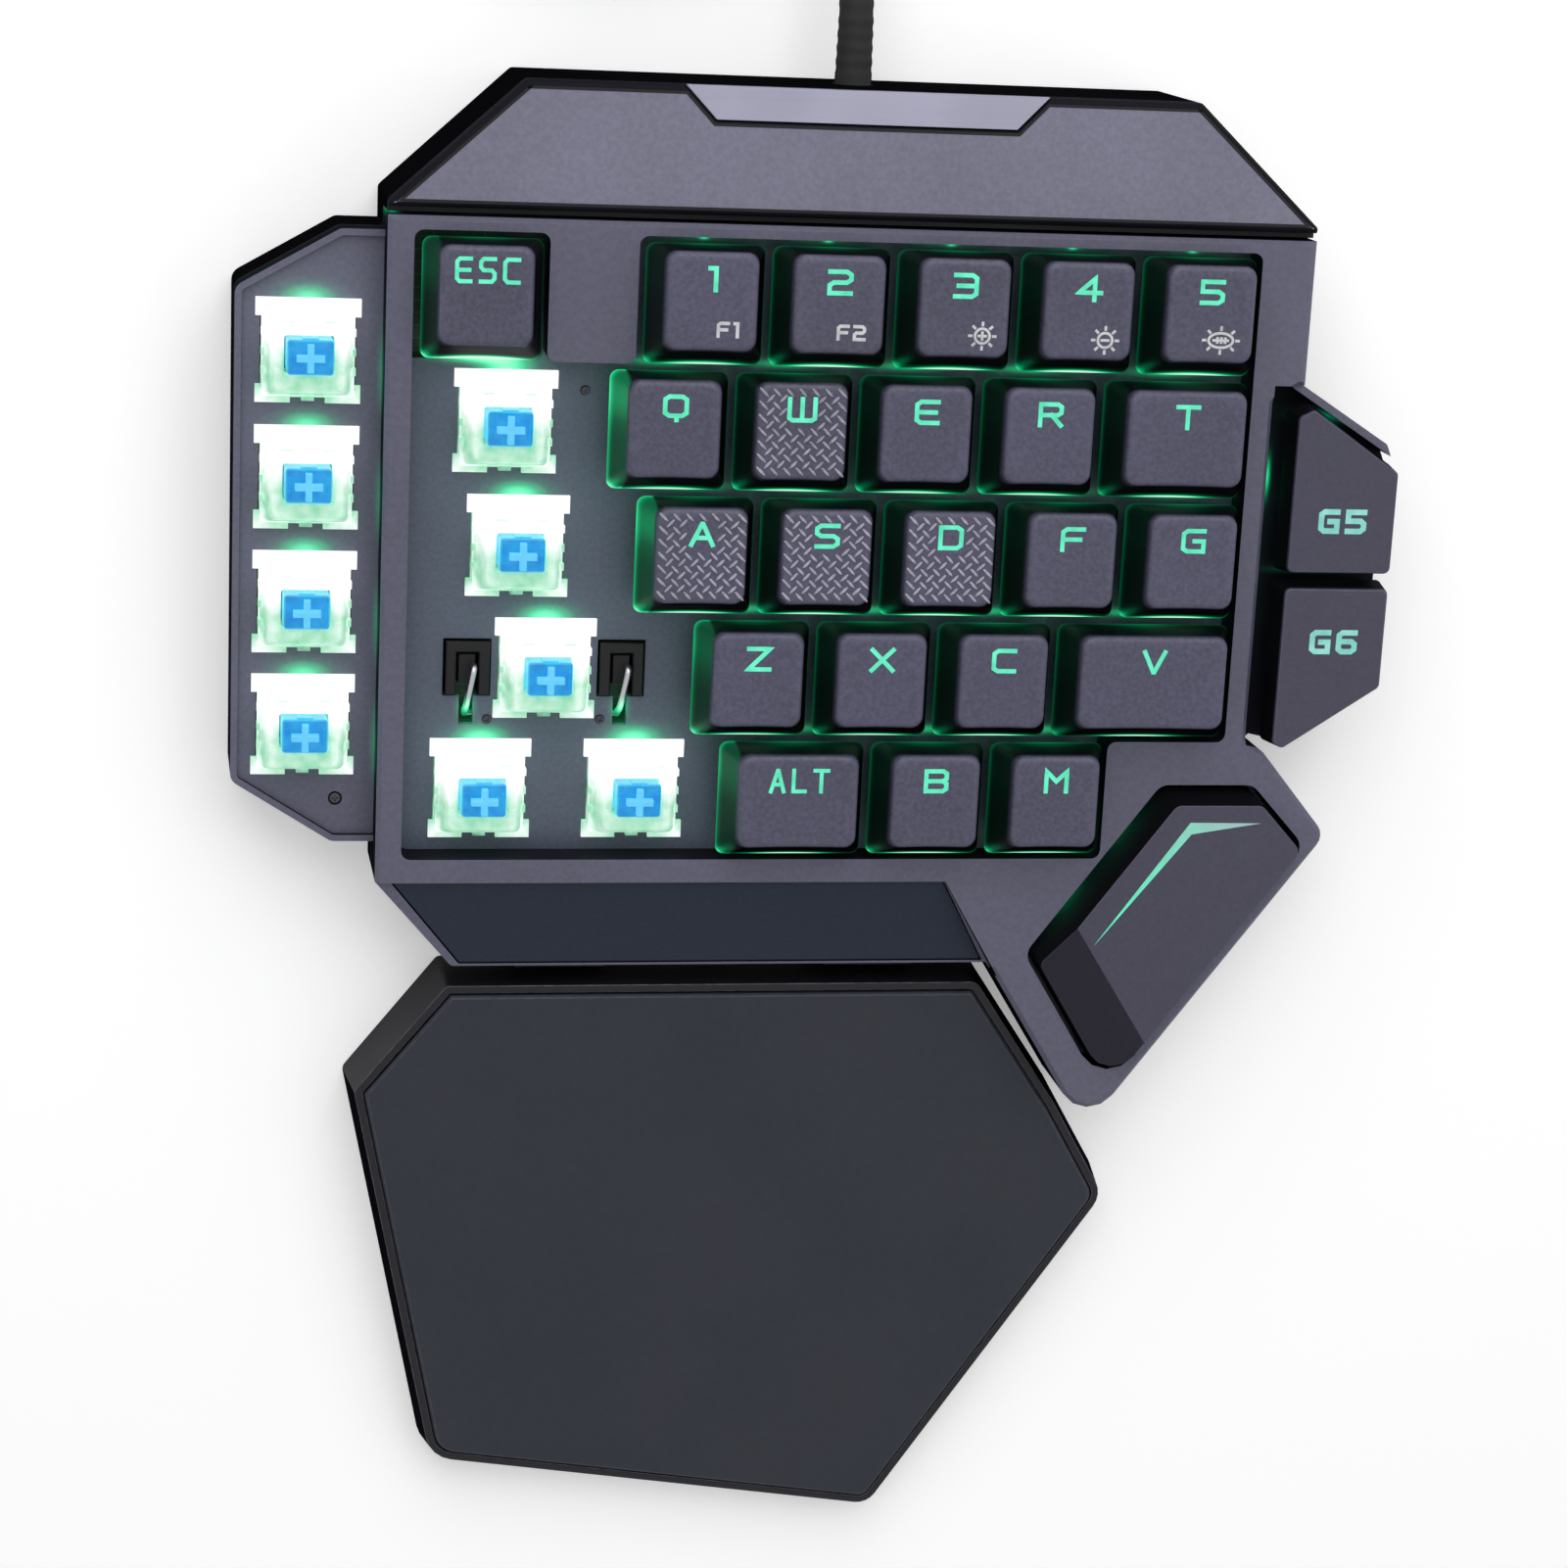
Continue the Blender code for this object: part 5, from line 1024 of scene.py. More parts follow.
@dataclass(frozen=True)
class Studio:
    """A pale floor, a white background and soft light from above."""

    floor: float = 3.0
    floor_sink: float = 0.05 * MM
    floor_lift: float = 0.3
    ambient: float = 0.42
    key_watts: float = 3.4
    key_place: Point3 = (-0.05, 0.55, 0.55)
    key_size: float = 0.8
    fill_watts: float = 1.6
    fill_place: Point3 = (0.8, 0.2, 1.0)
    fill_size: float = 1.04

    def make(self) -> None:
        """Makes the floor, the world and the lamps."""
        self._floor()
        self._world()
        self._lamp("key_light", self.key_place, self.key_watts, self.key_size)
        self._lamp("fill_light", self.fill_place, self.fill_watts, self.fill_size)
        bpy.context.scene.view_settings.view_transform = "Standard"

    def _floor(self) -> None:
        """A plain pale floor just under the rubber feet."""
        work = bmesh.new()
        half = self.floor / 2
        corners = [(half, half), (-half, half), (-half, -half), (half, -half)]
        work.faces.new([work.verts.new(point) for point in at_height(corners, -self.floor_sink)])
        floor = add_object("studio_floor", read_mesh(work, "studio_floor", None))
        made, graph, shader = new_material("floor_pale")
        noise = graph.node("ShaderNodeTexNoise", {"Scale": 3.0, "Detail": 2.0}).outputs[0]
        seen = graph.node("ShaderNodeLightPath").outputs["Is Camera Ray"]
        graph.feed(shader, {"Base Color": graph.mix(noise, (0.93, 0.93, 0.935), (0.96, 0.96, 0.965)),
                            "Emission Color": (1, 1, 1, 1), "Roughness": 0.9, "Specular IOR Level": 0.1,
                            "Emission Strength": graph.product(seen, self.floor_lift)})
        floor.data.materials.append(made)

    def _world(self) -> None:
        """White where it is seen or mirrored, and soft where it only lights."""
        world = bpy.data.worlds.new("studio_world")
        world.use_nodes = True
        bpy.context.scene.world = world
        graph = Graph(world.node_tree)
        path = graph.node("ShaderNodeLightPath").outputs
        seen = reduce(partial(graph.math, "MAXIMUM"),
                      (path[name] for name in ("Is Camera Ray", "Is Glossy Ray", "Is Transmission Ray")))
        graph.feed(world.node_tree.nodes["Background"],
                   {"Color": (1, 1, 1, 1), "Strength": graph.span(seen, 0, 1, self.ambient, 1.0)})

    def _lamp(self, name: str, place: Point3, watts: float, size: float) -> None:
        """Adds a soft square lamp aimed at the keypad.

        Args:
            name: the lamp's name.
            place: where it hangs.
            watts: its power.
            size: its side.
        """
        data = bpy.data.lights.new(name, "AREA")
        data.energy = watts
        data.size = size
        lamp = add_object(name, data)
        lamp.location = place
        lamp.rotation_euler = (-Vector(place)).to_track_quat("-Z", "Y").to_euler()


# Cord


@dataclass(frozen=True)
class CordSet:
    """The lead, its strain relief, its coil with a tie, and the plug."""

    diameter: float = 4.4 * MM
    outlet_x: float = 28.5 * MM
    outlet_y: float = 51.2 * MM
    outlet_z: float = -8.0 * MM
    relief_in: float = 4.0 * MM
    relief_out: float = 4.9 * MM
    relief_d: float = 5.8 * MM
    relief_taper: float = 0.17
    rib: float = 0.1 * MM
    rib_pitch: float = 2.1 * MM
    rib_start: float = 5.0 * MM
    seat: float = 0.3 * MM
    step: float = 3.2 * MM
    turns: float = 9.25
    mean_r: float = 26.4 * MM
    pitch: float = 5.0 * MM
    climb: float = 0.5
    coil_y: float = 110.0 * MM
    per_turn: int = 48
    tail: float = 36.0 * MM
    plug: Triple = (20.0 * MM, 12.0 * MM, 7.6 * MM)
    nose: Pair = (12.0 * MM, 4.5 * MM)
    nose_wall: float = 0.3 * MM
    strap: float = 0.7 * MM
    strap_half: float = 5.0 * MM
    strap_turn: float = math.radians(205)

    def make(self) -> None:
        run = self._run()
        coil = self._coil()
        points = run + coil + self._tail(coil[-1])
        centreline = [BASE @ point for point in points]
        curve = round_line("usb_cord", centreline, self.diameter / 2, 3)
        curve.materials.append(JACKET.material())
        cord = add_object("usb_cord", curve)
        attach(cord, ROOT_BODY)
        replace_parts(cord, "cord_run", "cord_coil")
        relief = self._relief(run)
        grip, shell = self._plug(points[-1])
        length = sum((b - a).length for a, b in zip(points, points[1:]))
        LOG.info("usb_cord: %.3f m long, %d points", length, len(points))
        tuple(centreline[0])
        self._tie()

    def _on_desk(self, x: float, y: float, z: float) -> Vector:
        """A point of the deck's frame, in the frame that lies flat on the desk."""
        return Matrix.Rotation(DECK_TILT, 3, "X") @ Vector((x, y, z)) + Vector((0, 0, DECK_LIFT))

    def _radius(self, turns: float) -> float:
        """Distance of the cord's centre from the coil's axis.

        Args:
            turns: how many turns from the coil's start.
        Returns:
            The distance.
        """
        away = abs(turns - self.turns / 2)
        bend = self.climb / 2
        if away < bend:
            away = (away * away + bend * bend) / (2 * bend)
        return self.mean_r + self.pitch * (away - self.turns / 4)

    def _coil(self) -> Ring:
        """The coil: in on the lower layer and out on the upper one."""
        reach = self._radius(0)
        centre = Vector((self.outlet_x - reach, self.coil_y, self.diameter / 2))
        count = round(self.turns * self.per_turn)
        points = [centre + Vector((reach, -self.diameter, 0))]
        for index in range(count + 1):
            turns = self.turns * index / count
            angle = 2 * math.pi * turns
            radius = self._radius(turns)
            share = ease(turns, self.turns / 2 - self.climb / 2, self.turns / 2 + self.climb / 2)
            points.append(centre + Vector((radius * math.cos(angle), radius * math.sin(angle),
                                           self.pitch * share)))
        return points

    def _tail(self, start: Vector) -> Ring:
        """The cord's end, down from the upper layer to the plug on the desk.

        Args:
            start: the coil's last point.
        Returns:
            The points on its middle line.
        """
        drop = start.z - self.plug[2] / 2
        steps = round(self.tail / self.diameter) + 1
        points = [start + Vector((-self.tail * i / steps, 0, -drop * ease(i / steps, 0, 1)))
                  for i in range(1, steps + 1)]
        return points + [points[-1] + Vector((-self.diameter, 0, 0))]

    def _run(self) -> Ring:
        """The free run from the outlet to the coil, on one smooth curve."""
        outlet = self.outlet_y + self.relief_out
        start = self._on_desk(self.outlet_x, outlet + self.seat, self.outlet_z)
        ahead = self._on_desk(self.outlet_x, outlet + self.diameter, self.outlet_z)
        heading = (ahead - self._on_desk(self.outlet_x, outlet, self.outlet_z)).normalized()
        end = self._coil()[0] - Vector((0, self.seat, 0))
        route = [start, start + heading * self.diameter]
        route += [start + Vector((0, y * MM, z * MM)) for y, z in ((14, -0.6), (24, -4.8), (34, -8.9))]
        route += [end - Vector((0, away * self.diameter, 0)) for away in (2, 1)]
        ends = [2 * route[0] - route[1], *route, end, end + Vector((0, self.diameter, 0))]
        points: Ring = []
        for before, first, second, after in zip(ends, ends[1:], ends[2:], ends[3:]):
            count = max(int((second - first).length / self.step + 0.5), 1)
            for index in range(count):
                t = index / count
                points.append(0.5 * (2 * first + (second - before) * t
                                     + (2 * before - 5 * first + 4 * second - after) * t * t
                                     + (3 * first - before - 3 * second + after) * t * t * t))
        return points

    def _relief(self, run: Ring) -> Object:
        """A tapered, ribbed sleeve from the outlet along the start of the cord.

        Args:
            run: the cord's free run.
        Returns:
            The sleeve's piece.
        """
        line = [self._on_desk(self.outlet_x, y, self.outlet_z)
                for y in (self.outlet_y - self.relief_in, self.outlet_y)] + run[:7]
        lengths = [0.0]
        for first, second in zip(line, line[1:]):
            lengths.append(lengths[-1] + (second - first).length)
        steps, sides = 60, 28
        angles = [2 * math.pi * index / sides for index in range(sides)]
        rings: list[Ring] = []
        for step in range(steps + 1):
            along = lengths[-1] * step / steps
            index = max(i for i, value in enumerate(lengths[:-1]) if value <= along)
            share = (along - lengths[index]) / (lengths[index + 1] - lengths[index])
            centre = line[index].lerp(line[index + 1], share)
            ribbed = along > self.rib_start and math.cos(along / self.rib_pitch * 2 * math.pi) > 0
            radius = self.relief_d / 2 * (1 - self.relief_taper * along / lengths[-1]) - self.rib * ribbed
            if step == steps:
                radius = self.diameter / 2 + 0.05 * MM
            rings.append([BASE @ (centre + radius * Vector((math.sin(a), 0, math.cos(a)))) for a in angles])
        work = bmesh.new()
        skin(work, rings)
        made = solid("strain_relief_sleeve", work, RUBBER, smooth=50)
        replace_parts(made, "strain_relief")
        return made

    def _plug(self, face: Vector) -> tuple[Object, Object]:
        """The plug: a moulded grip with ridges, and a metal shell with its tongue and contacts.

        Args:
            face: where the cord meets the grip.
        Returns:
            The grip and the shell.
        """
        length, width, thick = self.plug
        start = face.x - self.seat
        profile = ((0, -0.9), (0.05, -0.2), (0.12, 0), (0.3, 0), (0.36, -0.35), (0.64, -0.35), (0.7, 0),
                   (0.96, 0), (1, -0.5))
        work = bmesh.new()
        skin(work, [[BASE @ Vector((start - length * share, face.y + y, face.z + z)) for y, z in
                     rounded_box(width / 2 + grow * MM, thick / 2 + grow * MM, 1.6 * MM, 5, 2)]
                    for share, grow in profile])
        ridges = 7
        for index in range(ridges):
            share = 0.4 + 0.2 * index / (ridges - 1)
            middle = BASE @ Vector((start - length * share, face.y, face.z + thick / 2))
            half = Vector((0.35 * MM, width * 0.32, 0))
            block(work, middle - half - Vector((0, 0, 0.6 * MM)), middle + half - Vector((0, 0, 0.05 * MM)),
                  0.15 * MM)
        grip = solid("plug_grip", work, RUBBER)
        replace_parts(grip, "usb_plug")
        return grip, self._shell(Vector((start - length, face.y, face.z)))

    def _shell(self, root: Vector) -> Object:
        """The plug's metal shell, open at its end, with the tongue and four contacts.

        Args:
            root: middle of the grip's end.
        Returns:
            The shell.
        """
        reach, thick = self.nose
        half_y = self.plug[1] / 2 - 0.8 * MM
        place = BASE @ Matrix.Translation(root)
        inside, wall = 0.5 * MM, self.nose_wall
        margin, top = 0.35 * MM, 0.1 * MM
        work = bmesh.new()
        skin(work, [[Vector((x, y, z)) for y, z in
                     rounded_box(half_y - inward, thick / 2 - inward, 0.6 * MM, 3, 2)]
                    for x, inward in ((inside, 0), (-reach, 0), (-reach, wall), (inside, wall))], False)
        shell = solid("plug_shell", work, STEEL, place=place)
        work = bmesh.new()
        block(work, (0.6 * MM - reach, margin - half_y, margin - thick / 2), (0, half_y - margin, top))
        tongue = solid("plug_tongue", work, TONGUE, place=place)
        work = bmesh.new()
        for y in (-3.5, -1.0, 1.0, 3.5):
            low = Vector((1.2 * MM - reach, (y - 0.5) * MM, top))
            block(work, low, low + Vector((7.5, 1.0, 0.12)) * MM)
        contacts = solid("plug_contacts", work, CONTACT, place=place)
        for part in (tongue, contacts):
            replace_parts(part, "usb_plug")
        return shell

    def _tie(self) -> None:
        """A soft strap round the coil's bundle."""
        reach = self._radius(0)
        low_r = self._radius(self.turns / 2) - self.diameter / 2 - 0.5 * MM
        high_r = reach + self.diameter / 2 + 0.4 * MM
        half_z = (self.pitch + self.diameter + self.strap) / 2
        outward = Vector((math.cos(self.strap_turn), math.sin(self.strap_turn), 0))
        side = Vector((-outward.y, outward.x, 0))
        middle = Vector((self.outlet_x - reach, self.coil_y, half_z + 0.02 * MM))
        middle += outward * (low_r + high_r) / 2
        outer = rounded_box((high_r - low_r) / 2 + self.strap, half_z, 2.4 * MM, 6, 6)
        inner = inset(outer, self.strap)
        work = bmesh.new()
        skin(work, [[BASE @ (middle + outward * r + side * across + Vector((0, 0, z))) for r, z in outline]
                    for outline, across in ((outer, -self.strap_half), (outer, self.strap_half),
                                            (inner, self.strap_half), (inner, -self.strap_half))], False)
        solid("coil_tie", work, JACKET, smooth=50)


# Repeated shapes


class RepeatNodes:
    """A Geometry Nodes tree that puts one shape on each point of a mesh, with named inputs."""

    NAME = ""
    INPUTS: dict[str, str] = {}

    @classmethod
    def run(cls, name: str, places: list[Vector], finish: Finish, turns: list[float] | None = None,
            **values: object) -> Mesh:
        """Runs the tree on some places and makes the result one plain mesh.

        Args:
            name: the new mesh's name.
            places: where the shape stands.
            finish: the shape's finish.
            turns: how far the shape is turned about Z at each place.
            values: the tree's inputs, with their spaces written as underscores.
        Returns:
            The mesh, with the finish on it.
        """
        points = bpy.data.meshes.new(name + "_places")
        points.from_pydata(places, [], [])
        angles = points.attributes.new("turn", "FLOAT", "POINT")
        for item, angle in zip(angles.data, turns or [0.0] * len(places)):
            item.value = angle
        holder = add_object(name + "_holder", points)
        modifier = holder.modifiers.new("repeat", "NODES")
        modifier.node_group = bpy.data.node_groups.get(cls.NAME) or cls._tree()
        given = {key.replace("_", " "): value for key, value in values.items()}
        given["Material"] = finish.material()
        for item in modifier.node_group.interface.items_tree:
            if item.item_type == "SOCKET" and item.in_out == "INPUT" and item.name in given:
                modifier[item.identifier] = given[item.name]
        return evaluated(holder, name)

    @classmethod
    def _tree(cls) -> bpy.types.NodeTree:
        """Makes the tree: the shape on the points, realized, with its material."""
        tree = bpy.data.node_groups.new(cls.NAME, "GeometryNodeTree")
        inputs = {"Geometry": "NodeSocketGeometry", **cls.INPUTS, "Material": "NodeSocketMaterial"}
        for name, kind in inputs.items():
            tree.interface.new_socket(name, in_out="INPUT", socket_type=kind)
        tree.interface.new_socket("Geometry", in_out="OUTPUT", socket_type="NodeSocketGeometry")
        graph = Graph(tree)
        given = graph.node("NodeGroupInput").outputs
        stored = graph.node("GeometryNodeInputNamedAttribute", {"Name": "turn"}, data_type="FLOAT").outputs[0]
        euler = graph.node("ShaderNodeCombineXYZ", {"Z": cls.turn(graph, given, stored)}).outputs[0]
        stand = graph.node("GeometryNodeInstanceOnPoints", {
            "Points": given["Geometry"], "Instance": cls.shape(graph, given),
            "Rotation": graph.node("FunctionNodeEulerToRotation", {0: euler}).outputs[0]})
        real = graph.node("GeometryNodeRealizeInstances", {0: stand.outputs[0]}).outputs[0]
        dress = graph.node("GeometryNodeSetMaterial", {"Geometry": real, "Material": given["Material"]})
        graph.node("NodeGroupOutput", {"Geometry": dress.outputs[0]})
        return tree

    @classmethod
    def turn(cls, graph: Graph, given: Outputs, stored: Socket) -> Socket:
        """The turn about Z at a point: the one stored there."""
        return stored

    @classmethod
    def shape(cls, graph: Graph, given: Outputs) -> Socket:
        """Adds the shape's nodes.

        Args:
            graph: the tree.
            given: what comes into it.
        Returns:
            The shape's geometry socket.
        """
        raise NotImplementedError

    @staticmethod
    def sized(graph: Graph, geometry: Socket, x: Value, y: Value, z: Value, lift: Value) -> Socket:
        """Scales a unit shape and lifts it.

        Args:
            graph: the tree's nodes.
            geometry: the unit shape.
            x: its width.
            y: its depth.
            z: its height.
            lift: how far it moves up.
        Returns:
            The geometry socket.
        """
        size = graph.node("ShaderNodeCombineXYZ", {0: x, 1: y, 2: z}).outputs[0]
        move = graph.node("ShaderNodeCombineXYZ", {2: lift}).outputs[0]
        values = {"Geometry": geometry, "Translation": move, "Scale": size}
        return graph.node("GeometryNodeTransform", values).outputs[0]


class TreadNodes(RepeatNodes):
    """Raised lozenges of a tread plate."""

    NAME = "tread marks"
    INPUTS = dict.fromkeys(("Length", "Width", "Height"), "NodeSocketFloat")
    SUNK = -0.35

    @classmethod
    def shape(cls, graph: Graph, given: Outputs) -> Socket:
        """A low cone with its point cut off, drawn out into a lozenge."""
        cone = graph.node("GeometryNodeMeshCone", {"Vertices": 10, "Radius Top": 0.28, "Radius Bottom": 0.5,
                                                   "Depth": 1.0}).outputs[0]
        return cls.sized(graph, cone, given["Length"], given["Width"], given["Height"],
                         graph.product(given["Height"], cls.SUNK))


class ScrewNodes(RepeatNodes):
    """Screw heads with a cross recess, each turned as it came to rest."""

    NAME = "screw heads"
    INPUTS = {**dict.fromkeys(("Head", "Height", "Recess"), "NodeSocketFloat"), "Seed": "NodeSocketInt"}

    @classmethod
    def turn(cls, graph: Graph, given: Outputs, stored: Socket) -> Socket:
        """The stored turn and a seeded random one."""
        random = graph.node("FunctionNodeRandomValue", {"Min": 0.0, "Max": math.pi, "Seed": given["Seed"]},
                            data_type="FLOAT")
        return graph.total(stored, next(out for out in random.outputs if out.enabled))

    @classmethod
    def shape(cls, graph: Graph, given: Outputs) -> Socket:
        """A chamfered head less two crossed blades."""
        cone = graph.node("GeometryNodeMeshCone", {"Vertices": 28, "Radius Top": 0.41, "Radius Bottom": 0.5,
                                                   "Depth": 1.0}).outputs[0]
        recess, height = given["Recess"], given["Height"]
        head = cls.sized(graph, cone, given["Head"], given["Head"], height, 0.0)
        thin, lift = graph.product(recess, 0.3), graph.product(height, 0.6)
        cube = graph.node("GeometryNodeMeshCube", {"Size": (1.0, 1.0, 1.0)}).outputs[0]
        cut = graph.node("GeometryNodeMeshBoolean", {"Mesh 1": head}, operation="DIFFERENCE", solver="EXACT")
        for sizes in ((recess, thin), (thin, recess)):
            graph.tree.links.new(cls.sized(graph, cube, *sizes, height, lift), cut.inputs["Mesh 2"])
        return cut.outputs[0]


class LensNodes(RepeatNodes):
    """Low domed lenses over the lights."""

    NAME = "lamp lenses"
    INPUTS = dict.fromkeys(("Width", "Depth", "Height"), "NodeSocketFloat")

    @classmethod
    def shape(cls, graph: Graph, given: Outputs) -> Socket:
        """A ball drawn out and mostly sunk in."""
        ball = graph.node("GeometryNodeMeshUVSphere", {"Segments": 20, "Rings": 10, "Radius": 0.5}).outputs[0]
        return cls.sized(graph, ball, given["Width"], given["Depth"], given["Height"], 0.0)


class CopyNodes(RepeatNodes):
    """Copies of a shape that is made once."""

    NAME = "copies of a shape"
    INPUTS = {"Shape": "NodeSocketObject"}

    @classmethod
    def shape(cls, graph: Graph, given: Outputs) -> Socket:
        """The shape object's own mesh."""
        info = graph.node("GeometryNodeObjectInfo", {"Object": given["Shape"]}, transform_space="ORIGINAL")
        return info.outputs["Geometry"]


# Lettering


BRACKET = ((4, 6), (0.8, 6), (0, 5.2), (0, 0.8), (0.8, 0), (4, 0))
GLYPHS: dict[str, tuple[tuple[Point2, ...], ...]] = {
    "A": (((0, 0), (1.9, 6), (2.1, 6), (4, 0)), ((0.75, 2), (3.25, 2))),
    "B": (((0, 0), (0, 6), (3.3, 6), (4, 5.3), (4, 3.7), (3.3, 3), (0, 3)),
          ((3.3, 3), (4, 2.3), (4, 0.7), (3.3, 0), (0, 0))),
    "C": (BRACKET,),
    "D": (((0, 0), (0, 6), (3.2, 6), (4, 5.2), (4, 0.8), (3.2, 0), (0, 0)),),
    "E": (BRACKET, ((0, 3), (3.6, 3))),
    "F": ((*BRACKET[:3], (0, 0)), ((0, 3), (3.4, 3))),
    "G": ((*BRACKET, (4, 3), (2.2, 3)),),
    "L": (((0, 6), (0, 0), (3.6, 0)),),
    "M": (((0, 0), (0, 6), (2, 3), (4, 6), (4, 0)),),
    "Q": (((0.8, 0.6), (0, 1.4), (0, 5.2), (0.8, 6), (3.2, 6), (4, 5.2), (4, 1.4), (3.2, 0.6), (0.8, 0.6)),
          ((2.2, 0.6), (2.2, -0.6))),
    "R": (((0, 0), (0, 6), (3.3, 6), (4, 5.3), (4, 3.6), (3.3, 2.9), (0, 2.9)), ((2.2, 2.9), (4, 0))),
    "S": (((4, 6), (0.8, 6), (0, 5.2), (0, 3.8), (0.8, 3), (3.2, 3), (4, 2.2), (4, 0.8), (3.2, 0), (0, 0)),),
    "T": (((0, 6), (4, 6)), ((2, 6), (2, 0))),
    "V": (((0, 6), (1.9, 0), (2.1, 0), (4, 6)),),
    "W": (((0, 6), (0, 0.6), (0.6, 0), (4.2, 0), (4.8, 0.6), (4.8, 6)), ((2.4, 6), (2.4, 0))),
    "X": (((0, 6), (4, 0)), ((0, 0), (4, 6))),
    "Z": (((0, 6), (4, 6), (0, 0), (4, 0)),),
    "1": (((0, 6), (1.1, 6), (1.1, 0)),),
    "2": (((0, 6), (3.2, 6), (4, 5.2), (4, 3.8), (3.2, 3), (0.8, 3), (0, 2.2), (0, 0), (4, 0)),),
    "3": (((0, 6), (3.2, 6), (4, 5.2), (4, 0.8), (3.2, 0), (0, 0)), ((0.6, 3), (4, 3))),
    "4": (((3, 0), (3, 6), (0, 2), (4.2, 2)),),
    "5": (((4, 6), (0, 6), (0, 3.2), (3.2, 3.2), (4, 2.4), (4, 0.8), (3.2, 0), (0, 0)),),
    "6": ((*BRACKET[:5], (3.2, 0), (4, 0.8), (4, 2.4), (3.2, 3.2), (0, 3.2)),),
}


@dataclass(frozen=True)
class Lettering:
    """A word in plain stroked capitals, on a grid 4 units wide and 6 high."""

    text: str
    high: float = 3.85 * MM
    wide: float = 3.9 * MM
    gap: float = 1.0 * MM
    stroke: float = 0.68 * MM

    def lines(self) -> list[list[Point2]]:
        """The strokes' middle lines, round the word's centre."""
        units = [max(x for line in GLYPHS[letter] for x, _ in line) for letter in self.text]
        across = (self.wide - self.stroke) / 4
        up = (self.high - self.stroke) / 6
        x = -(sum(units) * across + len(units) * self.stroke + (len(units) - 1) * self.gap) / 2
        drawn: list[list[Point2]] = []
        for letter, unit in zip(self.text, units):
            x += self.stroke / 2
            drawn += [[(x + px * across, (py - 3) * up) for px, py in line] for line in GLYPHS[letter]]
            x += unit * across + self.stroke / 2 + self.gap
        return drawn


class Sign(Enum):
    """What a brightness icon shows inside its ring."""

    PLUS = (((-0.5, 0), (0.5, 0)), ((0, -0.5), (0, 0.5)))
    MINUS = (((-0.5, 0), (0.5, 0)),)
    LAMPS = (((-1.1, 0), (1.1, 0)), ((-0.5, -0.3), (-0.5, 0.3)), ((0.1, -0.3), (0.1, 0.3)),
             ((0.7, -0.3), (0.7, 0.3)))


@dataclass(frozen=True)
class SunIcon:
    """A ring with rays and a sign in it."""

    sign: Sign
    ring: Pair = (1.1 * MM, 1.1 * MM)
    ray: float = 0.3 * MM
    rays: int = 8
    space: float = 0.55 * MM
    stroke: float = 0.4 * MM
    steps: int = 28

    def lines(self) -> list[list[Point2]]:
        """The ring, its rays and the sign, round the icon's centre."""
        def place(angle: float, more: float) -> Point2:
            """A point beyond the ring by a distance."""
            return ((self.ring[0] + more) * math.cos(angle), (self.ring[1] + more) * math.sin(angle))
        turn = 2 * math.pi
        drawn = [[place(turn * (index % self.steps) / self.steps, 0) for index in range(self.steps + 1)]]
        for index in range(self.rays):
            angle = turn * index / self.rays
            drawn.append([place(angle, self.space), place(angle, self.space + self.ray)])
        return drawn + [[(x * MM, y * MM) for x, y in line] for line in self.sign.value]


PRINT_UP = 0.03 * MM
PRINT_DOWN = 0.08 * MM
PRINT_STEP = 0.7 * MM
MITRE = 0.45


def ribbon(work: Work, line: list[Point2], width: float, surface: Surface) -> None:
    """Adds a printed stroke, a thin closed band that follows a surface.

    Args:
        work: the bmesh that gets it.
        line: its middle line, which ends where it starts if the stroke is a ring.
        width: its width.
        surface: the surface's height at a place.
    """
    ring = (Vector(line[0]) - Vector(line[-1])).length < EPS
    corners = [Vector(point) for point in line]
    if not ring:
        corners[0] += (corners[0] - corners[1]).normalized() * width / 2
        corners[-1] += (corners[-1] - corners[-2]).normalized() * width / 2
    points: list[Vector] = []
    for first, second in zip(corners, corners[1:]):
        count = max(math.ceil((second - first).length / PRINT_STEP), 1)
        points += [first.lerp(second, index / count) for index in range(count)]
    if not ring:
        points.append(corners[-1])
    bands: list[Ring] = []
    for index, here in enumerate(points):
        before = points[index - 1] if index or ring else 2 * here - points[1]
        after = points[(index + 1) % len(points)] if index < len(points) - 1 or ring else 2 * here - before
        arrive, leave = (here - before).normalized(), (after - here).normalized()
        first = Vector((-arrive.y, arrive.x))
        side = (first + Vector((-leave.y, leave.x))).normalized()
        side *= width / 2 / max(side.dot(first), MITRE)
        bands.append([Vector((place.x, place.y, surface(place.x, place.y) + lift))
                      for place, lift in ((here + side, -PRINT_DOWN), (here - side, -PRINT_DOWN),
                                          (here - side, PRINT_UP), (here + side, PRINT_UP))])
    skin(work, bands, not ring)


def printed(name: str, drawing: Lettering | SunIcon, centre: Point2, surface: Surface, place: Matrix,
            finish: Finish, body: str) -> None:
    """Prints a word or an icon on a surface.

    Args:
        name: the piece's name.
        drawing: the word or icon.
        centre: where its centre lies.
        surface: the surface's height at a place.
        place: the frame of centre and surface.
        finish: its finish.
        body: the body that it rides on.
    """
    work = bmesh.new()
    for line in drawing.lines():
        ribbon(work, [(x + centre[0], y + centre[1]) for x, y in line], drawing.stroke, surface)
    solid(name, work, finish, body, place)


# Keycaps


class TopSurface(Enum):
    """How a keycap's top is finished."""

    PLAIN = "plain"
    TREAD = "tread"


